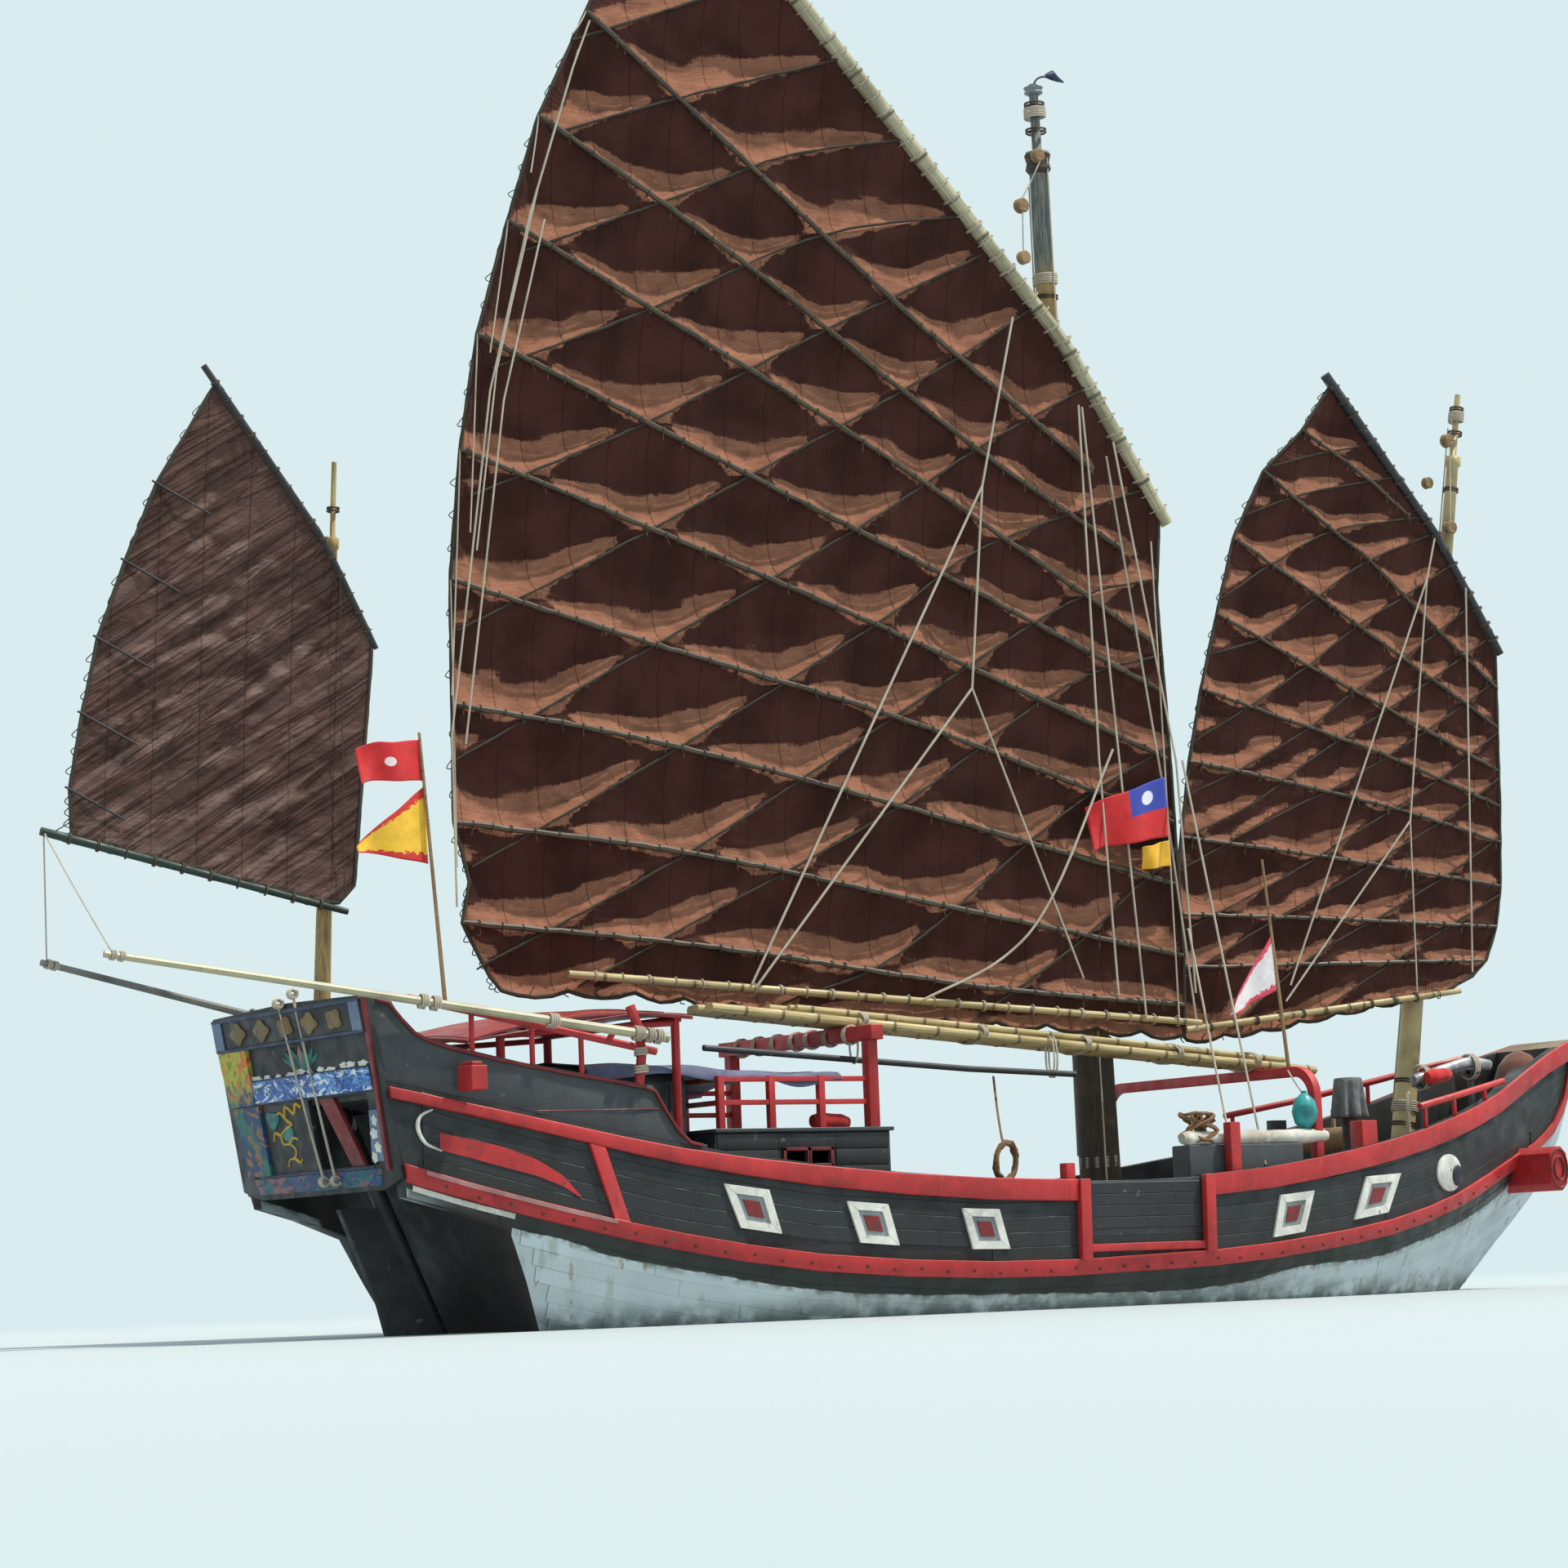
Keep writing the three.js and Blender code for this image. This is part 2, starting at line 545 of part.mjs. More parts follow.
function canopyZ(x, y) {
  const i = Math.min(Math.max(CANOPY_LINE.findIndex((p) => p[0] >= x), 1), CANOPY_LINE.length - 1);
  const [a, b] = [CANOPY_LINE[i - 1], CANOPY_LINE[i]];
  return mix(a[1], b[1], (x - a[0]) / (b[0] - a[0])) - CANOPY.rise * (y / CANOPY.half) ** 2;
}

function canopyRoof() {
  const across = [-1, -0.75, -0.5, -0.25, 0, 0.25, 0.5, 0.75, 1].map((t) => t * CANOPY.half);
  return loft(CANOPY_LINE.map(([x]) => [
    ...across.map((y) => V(x, y, canopyZ(x, y))),
    ...across.map((y) => V(x, y, canopyZ(x, y) - CANOPY.thick)).reverse(),
  ]));
}

const CANOPY_POST_Y = 1250;
const CANOPY_POSTS = [-6500, -4520];

function canopyFrame() {
  const beams = [];
  CANOPY_POSTS.forEach((x) => {
    const top = canopyZ(x, CANOPY_POST_Y) - CANOPY.thick / 2;
    [-1, 1].forEach((side) => {
      const foot = V(x, side * CANOPY_POST_Y, DECK.poop + SEAT);
      beams.push(spar(foot, V(x, side * CANOPY_POST_Y, top), CANOPY.post, CANOPY.post, 8));
    });
    beams.push(box([x - 40, x + 40], [-CANOPY_POST_Y - 60, CANOPY_POST_Y + 60], [top - 60, top]));
  });
  const [aft, fore] = CANOPY_POSTS;
  [-1, 1].forEach((side) => {
    const y = side * CANOPY_POST_Y;
    const low = (x) => canopyZ(x, CANOPY_POST_Y) - CANOPY.thick - 50;
    beams.push(spar(V(aft, y, low(aft)), V(fore, y, low(fore)), 30, 30, 8));
  });
  return join(...beams);
}

piece('canopy_roof', canopyRoof(), COLOUR.canopy, 0.8);
piece('canopy_frame', canopyFrame().subtract(canopyRoof().translate([0, 0, -SEAT])), COLOUR.red, 0.5);

// Aft cabin with a rounded roof and a doorway aft
const CABIN = { x: [-5420, -4340], half: 1120, wallTop: 2380, crown: 2600, wall: 40 };

function cabin() {
  const { x, half, wallTop, crown, wall } = CABIN;
  const roofLine = (w, z0, z1) => {
    const shape = new THREE.Shape();
    shape.moveTo(-w, DECK.poop + SEAT);
    shape.lineTo(w, DECK.poop + SEAT);
    shape.lineTo(w, z0);
    shape.quadraticCurveTo(w * 0.9, z1, 0, z1);
    shape.quadraticCurveTo(-w * 0.9, z1, -w, z0);
    return shape;
  };
  const inner = prismYZ(roofLine(half - wall, wallTop - wall, crown - wall), x[0] + wall, x[1] - wall, 5)
    .add(box([x[0] + wall, x[1] - wall], [wall - half, half - wall], [DECK.poop - 100, DECK.poop + 100]));
  const door = box([x[0] - 10, x[0] + wall + 10], [-320, 320], [DECK.poop - 10, 2300]);
  return prismYZ(roofLine(half, wallTop, crown), x[0], x[1], 5).subtract(inner).subtract(door);
}

piece('aft_cabin', cabin(), COLOUR.dark, 0.8);

// Deckhouse, its roof, and the rail on it
const HOUSE = { x: [-4150, -2050], half: 1330, wall: 45, roof: 1860, lid: 40, eave: 35 };

function house() {
  const { x, half, wall, roof } = HOUSE;
  const shell = box(x, [-half, half], [DECK.waist + SEAT, roof]);
  const room = box([x[0] + wall, x[1] - wall], [wall - half, half - wall], [DECK.waist - 10, roof - wall]);
  const door = box([x[1] - wall - 10, x[1] + 10], [-380, 380], [DECK.waist - 10, 1740]);
  const panes = [[-3320, -3080], [-3040, -2800]].map((pane) => box(pane, [-half - 10, half + 10], [1545, 1665]));
  return shell.subtract(room).subtract(door).subtract(join(...panes));
}

piece('deckhouse', house(), COLOUR.slate, 0.8);
const LID = { x: [HOUSE.x[0] - 10, HOUSE.x[1] + HOUSE.eave], half: HOUSE.half + HOUSE.eave, z: HOUSE.roof + HOUSE.lid };
piece('deckhouse_roof', box(LID.x, [-LID.half, LID.half], [HOUSE.roof + SEAT, LID.z]), COLOUR.slate, 0.8);

const GALLOWS = { x: -2230, half: 1290, post: 120, top: 2930, beam: 150 };

function houseRail() {
  const y = GALLOWS.half;
  const end = GALLOWS.x - GALLOWS.post / 2 - SEAT;
  const [aft, levels] = [-4050, [2160, 2390]];
  const parts = [];
  [-1, 1].forEach((side) => {
    [aft, -3450, -2850].forEach((x) => {
      parts.push(box([x - 35, x + 35], [side * y - 35, side * y + 35], [LID.z + SEAT, 2425]));
    });
    levels.forEach((z) => parts.push(box([aft, end], [side * y - 28, side * y + 28], [z - 25, z + 25])));
  });
  levels.forEach((z) => parts.push(box([aft - 28, aft + 28], [-y, y], [z - 25, z + 25])));
  return join(...parts);
}

piece('deckhouse_rail', houseRail(), COLOUR.red, 0.5);

function aftGallows() {
  const { x, half, post, top, beam } = GALLOWS;
  const legs = [-1, 1].map((side) => box(
    [x - post / 2, x + post / 2], [side * half - post / 2, side * half + post / 2], [LID.z + SEAT, top - beam / 2],
  ));
  return join(...legs, box([x - beam / 2, x + beam / 2], [-half - 150, half + 150], [top - beam, top]));
}

piece('aft_gallows', aftGallows(), COLOUR.red, 0.5);

// Fore gallows: one bent beam from deck to deck
const BOW_GALLOWS = { x: 3200, half: 1860, top: 2480, thick: 110, deep: 100, corner: 340 };

function arch(half, top, corner, foot) {
  const shape = new THREE.Shape();
  shape.moveTo(-half, foot);
  shape.lineTo(-half, top - corner);
  shape.absarc(-half + corner, top - corner, corner, Math.PI, Math.PI / 2, true);
  shape.lineTo(half - corner, top);
  shape.absarc(half - corner, top - corner, corner, Math.PI / 2, 0, true);
  shape.lineTo(half, foot);
  return shape;
}

function foreGallows() {
  const { x, half, top, thick, deep, corner } = BOW_GALLOWS;
  const outer = prismYZ(arch(half, top, corner, DECK.waist + SEAT), x - deep / 2, x + deep / 2, 5);
  const inner = prismYZ(arch(half - thick, top - thick, corner - thick, DECK.waist - 100), x - deep, x + deep, 5);
  return outer.subtract(inner);
}

piece('fore_gallows', foreGallows(), COLOUR.red, 0.5);

// Spare bamboo poles on the two gallows
function sparBundle() {
  const aft = { x: GALLOWS.x + GALLOWS.beam / 2, z: GALLOWS.top };
  const fore = { x: BOW_GALLOWS.x + BOW_GALLOWS.deep / 2, z: BOW_GALLOWS.top };
  const drop = (fore.z - aft.z) / (fore.x - aft.x);
  const radius = 58;
  const lift = radius * Math.hypot(1, drop) + SEAT;
  const z = (x) => aft.z + drop * (x - aft.x) + lift;
  const rows = [[-930, -3950, 4100], [-822, -3600, 4150], [-714, -3800, 3800], [-606, -3300, 4120], [-498, -3900, 4000]];
  return join(...rows.map(([y, x0, x1]) => spar(V(x0, y, z(x0)), V(x1, y, z(x1)), radius, radius, 8)));
}

piece('spar_bundle', sparBundle(), COLOUR.bamboo, 0.6);

// Awning laid over the cabin roof and the deckhouse rail. Columns: x, z of its flat middle, half-breadth
const AWNING_LINE = [
  [-5500, 2617.4, 1180], [-4900, 2617.4, 1180], [-4430, 2617.4, 1180], [-4200, 2612.6, 1330], [-3400, 2560, 1330],
  [-2815, 2501, 1330], [-2600, 2491, 1330],
];
const AWNING = { flat: 0.53, sag: 60, thick: 15 };

function awning() {
  const { flat, sag, thick } = AWNING;
  return loft(AWNING_LINE.map(([x, z, half]) => {
    const upper = [[-half, z - sag], [-half * flat, z], [half * flat, z], [half, z - sag]];
    return [...upper.map(([y, up]) => V(x, y, up)), ...upper.map(([y, up]) => V(x, y, up - thick)).reverse()];
  }));
}

piece('awning', awning(), COLOUR.tarp, 0.9);

// Hatch coaming on the waist deck, mooring bitts and the windlass
const HATCH = { x: [-1300, 700], half: 750, high: 260 };
piece('hatch', box(HATCH.x, [-HATCH.half, HATCH.half], [DECK.waist + SEAT, DECK.waist + HATCH.high]), COLOUR.deck, 0.8);

const WINDLASS = { x: 4750, z: 1740, drum: 130, half: 620, cheek: 90, journal: 50 };

function windlassBitts() {
  const { x, z, half, cheek, journal } = WINDLASS;
  const foot = DECK.fore + SEAT;
  const cheeks = [-1, 1].map((side) => {
    const [a, b] = [side * (half + 20), side * (half + 20 + cheek)].sort((p, q) => p - q);
    const bore = spar(V(x, a - 5, z), V(x, b + 5, z), journal + 6, journal + 6, 16);
    return box([x - 110, x + 110], [a, b], [foot, z + 260]).subtract(bore);
  });
  return join(...cheeks, box([x + 40, x + 110], [-half - 30, half + 30], [foot, foot + 120]));
}

function windlassDrum() {
  const { x, z, drum, half, cheek, journal } = WINDLASS;
  const barrel = spar(V(x, -half, z), V(x, half, z), drum, drum, 12);
  const shaft = spar(V(x, -half - cheek - 60, z), V(x, half + cheek + 60, z), journal, journal, 16);
  const bars = [[-300, V(0, 0, 1)], [300, V(1, 0, 0)]].map(([y, way]) => spar(
    V(x, y, z).addScaledVector(way, -330), V(x, y, z).addScaledVector(way, 330), 28, 28, 8,
  ));
  return join(barrel, shaft, ...bars);
}

piece('windlass_bitts', windlassBitts(), COLOUR.red, 0.6);
piece('windlass_drum', windlassDrum(), COLOUR.trunk, 0.7);

// Bow rails on posts, the port one higher and longer. Columns: x, z of the rail, whether a post stands there
const BOW_RAILS = [
  ['starboard', -1, [[4850, 2030, 0], [4950, 2046, 1], [5550, 2147, 1], [6250, 2262, 1], [6700, 2336, 0]]],
  ['port', 1, [[4780, 2100, 0], [4880, 2118, 1], [5700, 2266, 1], [6500, 2440, 1], [7200, 2610, 1], [7700, 2715, 0]]],
];
BOW_RAILS.forEach(([name, side, rows]) => {
  const at = (x, z) => V(x, side * (halfAt(x, topAt(x)) - 40), z);
  const rail = bar(rows.map(([x, z]) => at(x, z)), 38);
  const posts = rows.filter((row) => row[2]).map(([x, z]) => spar(at(x, topAt(x) - 60), at(x, z), 26, 26, 8));
  piece(`bow_rail_${name}`, join(rail, ...posts).subtract(grown), COLOUR.red, 0.5);
});

// Masts, standing on the decks
const mizzenDeck = topAt(MASTS.mizzen.x);
MASTS.mizzen.z = mizzenDeck;

Object.entries(MASTS).forEach(([name, mast]) => {
  const group = new THREE.Group();
  group.position.set(mast.x, mast.y, mast.z);
  group.rotation.set(0, THREE.MathUtils.degToRad(mast.rake), 0);
  const { length, foot, head } = mast;
  const heel = foot * 2 * Math.abs(Math.sin(THREE.MathUtils.degToRad(mast.rake))) + 12;
  const pole = turned([
    [foot, heel], [mix(foot, head, 0.3), length * 0.35], [head, length - 900], [head * 1.35, length - 880],
    [head * 1.35, length - 780], [head * 0.55, length - 760], [head * 0.5, length],
  ], 0, 0, 0, 12);
  piece(`${name}_mast`, pole, name === 'fore' ? COLOUR.bamboo : COLOUR.trunk, 0.7, group);
  ship.add(group);
  const wide = foot + 90;
  const square = box(
    [mast.x - wide, mast.x + wide], [mast.y - wide, mast.y + wide], [mast.z - 60, mast.z + heel + 120],
  ).subtract(raised);
  const hole = spar(V(0, 0, heel - 6), V(0, 0, heel + 400), foot + SEAT, foot + SEAT, 12);
  group.updateMatrixWorld(true);
  const bore = solidOf(fresh(hole).applyMatrix4(group.matrixWorld));
  piece(`${name}_mast_step`, square.subtract(bore), COLOUR.deck, 0.8);
});

// Rudder: stock, blade and tiller turn on the raked stock
const stockPost = (grow) => spar(
  V(stockAt(-1500), 0, -1500), V(stockAt(2700), 0, 2700), RUDDER.stock * 0.8 + grow, RUDDER.stock + grow, 20,
);

function rudder() {
  const blade = [
    [stockAt(1230) + 60, 1230], [stockAt(1230) - 500, 1230], [stockAt(300) - 530, 300], [stockAt(-1250) - 820, -1250],
    [stockAt(-1560) - 640, -1560], [stockAt(-1560) + 60, -1560],
  ];
  return join(prismXZ(blade, -45, 45), stockPost(0));
}

piece('rudder', rudder(), COLOUR.dark, 0.8);
const BEARING = { x: [-7900, -7420], half: 240, high: 60, gap: 5 };
const bearing = box(BEARING.x, [-BEARING.half, BEARING.half], [topAt(BEARING.x[1]) - 20, topAt(BEARING.x[0]) + BEARING.high]);
piece('rudder_bearing', bearing.subtract(raised).subtract(stockPost(BEARING.gap)), COLOUR.dark, 0.8);
const tiller = spar(V(stockAt(2600), 0, 2600), V(-5900, 0, 2480), 55, 35, 8).subtract(stockPost(SEAT));
piece('tiller', tiller, COLOUR.trunk, 0.6);

// Flagstaffs on the starboard poop rail and on the fore gallows
const STERN_STAFF = { x: -7330, tip: [-7480, 1600, 5670] };
const sternFoot = railLine(-1, STERN_STAFF.x, railTop(STERN_STAFF.x));
const sternTip = V(STERN_STAFF.tip[0], -STERN_STAFF.tip[1], STERN_STAFF.tip[2]);
piece('stern_flagstaff', spar(sternFoot, sternTip, 22, 14, 8).subtract(poopRail(-1, SEAT)), COLOUR.trunk, 0.6);
const bowTip = V(2975, -1400, 4740);
const bowStaff = spar(V(BOW_GALLOWS.x, bowTip.y, BOW_GALLOWS.top - 10), bowTip, 22, 14, 8);
const gallowsTop = box([2000, 4000], [-FAR, FAR], [0, BOW_GALLOWS.top + SEAT]);
piece('bow_flagstaff', bowStaff.subtract(gallowsTop), COLOUR.bamboo, 0.6);

// Sail rigs. s runs forward from the mast's axis and h up along it, in metres, turned into millimetres below.
const RIGS = {
  main: {
    yard: { from: [-4.66, 15.36], via: [-0.04, 9.84], to: [1.14, 7.82], radius: 100 },
    boom: { from: [-6.33, 2.97], to: [1.12, 2.28], radius: 48, ahead: 75 },
    edge: [
      [-4.5, 15.14], [-5.57, 13.13], [-6.17, 11.96], [-6.57, 10.82], [-6.97, 9.6], [-7.22, 8.38], [-7.39, 7.03],
      [-7.43, 5.75], [-7.47, 4.54], [-7.33, 3.94], [-7.43, 3.52], [-7.16, 2.97], [-7.04, 2.83], [-5.57, 2.77],
      [-4.46, 2.63], [-2.61, 2.45], [-0.15, 2.26], [0.95, 2.16], [1.0, 3], [0.99, 5.2], [0.95, 7], [1.04, 7.86],
      [-0.04, 9.78],
    ],
    battens: [
      [[-5.57, 13.13], [-2.2, 10.24]], [[-6.17, 11.96], [-1, 8.25]], [[-6.57, 10.82], [0.9, 6.35]],
      [[-6.97, 9.6], [0.9, 5.5]], [[-7.22, 8.38], [0.9, 4.8]], [[-7.39, 7.03], [0.9, 4.2]], [[-7.43, 5.75], [0.95, 3.7]],
      [[-7.47, 4.54], [0.95, 3.2]], [[-7.43, 3.52], [0.95, 2.6]],
    ],
  },
  fore: {
    yard: { from: [-2.04, 9.1], via: [-0.36, 7.52], to: [0.66, 6.28], radius: 65 },
    boom: { from: [-3.18, 1.16], to: [0.39, 2.2], radius: 45, ahead: 70 },
    edge: [
      [-1.95, 9], [-2.29, 8.36], [-2.76, 7.76], [-3.08, 6.89], [-3.21, 5.96], [-3.33, 5.06], [-3.4, 4.2],
      [-3.42, 3.32], [-3.38, 2.2], [-3.26, 1.17], [-3.12, 1.06], [-2.17, 1.34], [-0.24, 2.03], [0.31, 2.22],
      [0.59, 2.42], [0.77, 2.64], [0.87, 3.05], [0.89, 3.53], [0.8, 4.51], [0.69, 5.44], [0.59, 6.3], [-0.36, 7.47],
    ],
    battens: [
      [[-2.29, 8.36], [-0.46, 7.3]], [[-2.76, 7.76], [0.44, 6.2]], [[-3.08, 6.89], [0.64, 5.3]], [[-3.21, 5.96], [0.69, 4.6]],
      [[-3.33, 5.06], [0.74, 4]], [[-3.4, 4.2], [0.79, 3.5]], [[-3.42, 3.32], [0.84, 3.1]], [[-3.38, 2.3], [0.79, 2.7]],
    ],
  },
  mizzen: {
    yard: { from: [-1.45, 7.18], via: [-0.17, 5.56], to: [0.41, 4.5], radius: 35 },
    boom: { from: [-2.93, 2.46], to: [0.17, 1.86], radius: 45, ahead: 0 },
    edge: [
      [-1.34, 6.98], [-1.89, 5.95], [-2.18, 5.15], [-2.43, 4.37], [-2.56, 3.62], [-2.66, 2.88], [-2.63, 2.46],
      [-1.35, 2.2], [0.07, 1.94], [0.23, 2.12], [0.29, 3.21], [0.35, 4.24], [0.36, 4.54], [-0.17, 5.52],
    ],
    battens: [[[-1.89, 5.95], [0.25, 4.74]], [[-2.18, 5.15], [0.3, 4.04]], [[-2.43, 4.37], [0.25, 3.44]], [[-2.56, 3.62], [0.23, 2.84]]],
  },
};
const SAIL = { thick: 24, batten: 26 };
const mm = ([s, h]) => [s * 1000, h * 1000];

// A loop round mast and spar, such as a parrel: an oval band level across the mast, tied to the spar.
function parrel(off, height, inside, band, grow = 0) {
  const oval = (r) => {
    const shape = new THREE.Shape();
    shape.moveTo(r, 0);
    shape.absarc(0, 0, r, 0, Math.PI, false);
    shape.lineTo(-r, off);
    shape.absarc(0, off, r, Math.PI, 2 * Math.PI, false);
    return shape;
  };
  const [low, high] = [height - band / 2 - grow, height + band / 2 + grow];
  const inner = prismXY(oval(inside - grow), height - band, height + band, 6);
  const tie = box([-inside - 10, inside + 10], [off - 20 - grow, off + 20 + grow], [low, high]);
  return prismXY(oval(inside + 30 + grow), low, high, 6).subtract(inner).add(tie);
}

// The two ends of a line, moved outwards by one length each.
function overrun(from, to, before, after) {
  const way = to.clone().sub(from).normalize();
  return [from.clone().addScaledVector(way, -before), to.clone().addScaledVector(way, after)];
}

function mastRadius(mast, h) {
  const third = mix(mast.foot, mast.head, 0.3);
  const knee = mast.length * 0.35;
  return h < knee ? mix(mast.foot, third, h / knee) : mix(third, mast.head, (h - knee) / (mast.length - 900 - knee));
}

Object.entries(RIGS).forEach(([name, rig]) => {
  const mast = MASTS[name];
  const group = new THREE.Group();
  group.position.set(mast.x, mast.y, mast.z);
  group.rotation.set(0, THREE.MathUtils.degToRad(mast.rake), SWING);
  const on = (point, off) => V(mm(point)[0], off, mm(point)[1]);
  const crossing = (a, b) => mix(a[1], b[1], -a[0] / (b[0] - a[0])) * 1000;

  const { yard, boom } = rig;
  const yardSpar = (grow) => {
    const [from, via, to] = [yard.from, yard.via, yard.to].map((point) => on(point, mast.off));
    const peak = overrun(from, via, grow, yard.radius * 0.3);
    const heel = overrun(to, via, grow, yard.radius * 0.3);
    return join(
      spar(...peak, yard.radius * 0.7 + grow, yard.radius + grow, 10),
      spar(...heel, yard.radius * 0.85 + grow, yard.radius + grow, 10),
    );
  };
  const boomOff = mast.off - boom.ahead;
  const boomSpar = (grow) => spar(
    ...overrun(on(boom.from, boomOff), on(boom.to, boomOff), grow, grow), boom.radius + grow, boom.radius + grow, 8,
  );
  const yardHeight = crossing(yard.via, yard.to);
  const boomHeight = crossing(boom.from, boom.to);
  const yardLoop = (grow) => parrel(mast.off, yardHeight, mastRadius(mast, yardHeight) + 14, 50, grow);
  const boomLoop = (grow) => parrel(boomOff, boomHeight, mastRadius(mast, boomHeight) + 14, 60, grow);

  const cloth = prismXZ(rig.edge.map(mm), mast.off - SAIL.thick / 2, mast.off + SAIL.thick / 2);
  const battens = rig.battens.map(([a, b]) => spar(
    ...overrun(on(a, mast.off), on(b, mast.off), SAIL.batten, 0), SAIL.batten, SAIL.batten, 6,
  ));
  const sail = join(cloth, ...battens)
    .subtract(yardSpar(SEAT)).subtract(boomSpar(SEAT)).subtract(yardLoop(SEAT)).subtract(boomLoop(SEAT));
  const boomColour = name === 'mizzen' ? COLOUR.green : COLOUR.bamboo;
  piece(`${name}_sail`, sail, COLOUR.sail, 0.95, group);
  piece(`${name}_yard`, join(yardSpar(0), yardLoop(0)), COLOUR.yard, 0.7, group);
  piece(`${name}_boom`, join(boomSpar(0), boomLoop(0)), boomColour, 0.6, group);
  ship.add(group);
});

export default ship;
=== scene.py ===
"""Looks of a three-masted junk of wood, afloat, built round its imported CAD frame."""

import json
import math
import random

import bpy
import numpy as np
from bpy.props import FloatProperty, FloatVectorProperty, IntProperty, PointerProperty
from mathutils import Matrix, Vector, noise
from mathutils.bvhtree import BVHTree
from mathutils.geometry import delaunay_2d_cdt


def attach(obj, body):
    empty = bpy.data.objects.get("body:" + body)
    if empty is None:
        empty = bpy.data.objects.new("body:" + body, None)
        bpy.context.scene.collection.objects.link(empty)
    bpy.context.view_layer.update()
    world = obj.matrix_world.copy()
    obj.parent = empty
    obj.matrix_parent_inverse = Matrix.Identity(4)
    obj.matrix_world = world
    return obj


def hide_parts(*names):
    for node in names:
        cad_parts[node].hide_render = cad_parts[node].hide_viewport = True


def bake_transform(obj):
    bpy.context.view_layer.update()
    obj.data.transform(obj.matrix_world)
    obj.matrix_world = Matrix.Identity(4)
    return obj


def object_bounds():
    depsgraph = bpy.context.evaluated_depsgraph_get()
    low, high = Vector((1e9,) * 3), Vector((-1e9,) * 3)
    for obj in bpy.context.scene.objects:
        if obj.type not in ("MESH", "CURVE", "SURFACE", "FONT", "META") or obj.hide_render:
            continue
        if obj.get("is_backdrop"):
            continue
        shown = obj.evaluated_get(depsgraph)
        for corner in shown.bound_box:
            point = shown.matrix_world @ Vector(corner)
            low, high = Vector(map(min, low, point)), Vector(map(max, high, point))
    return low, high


bl_info = {
    "name": "Junk ship looks",
    "version": (1, 0, 0),
    "blender": (4, 5, 0),
    "location": "3D View > Sidebar > Junk",
    "description": "Hull planking, sails, rigging and finishes of a sailing junk",
    "category": "Object",
}

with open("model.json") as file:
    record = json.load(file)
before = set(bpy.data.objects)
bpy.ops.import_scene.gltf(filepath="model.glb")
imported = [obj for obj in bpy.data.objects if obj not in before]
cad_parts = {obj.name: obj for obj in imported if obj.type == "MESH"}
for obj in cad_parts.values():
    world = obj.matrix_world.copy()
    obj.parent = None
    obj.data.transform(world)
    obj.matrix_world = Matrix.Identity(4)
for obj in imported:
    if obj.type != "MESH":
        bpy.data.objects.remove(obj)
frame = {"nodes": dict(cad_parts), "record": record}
CAD_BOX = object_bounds()
BODY_OF = {
    node: body
    for body, nodes in frame["record"]["behaviour"]["bodies"].items()
    for node in nodes
}

SIDES = (("starboard", -1), ("port", 1))


# Colours and materials


def linear(*rgb):
    """The scene's colour for an sRGB one with parts from 0 to 255."""
    parts = [v / 255 for v in rgb]
    return tuple(p / 12.92 if p <= 0.04045 else ((p + 0.055) / 1.055) ** 2.4 for p in parts)


def tinted(colour, share):
    return tuple(min(1.0, c * share) for c in colour[:3])


TWISTS, STRANDS = 60, 3.0  # turns of a rope's lay for each metre, and strands in it


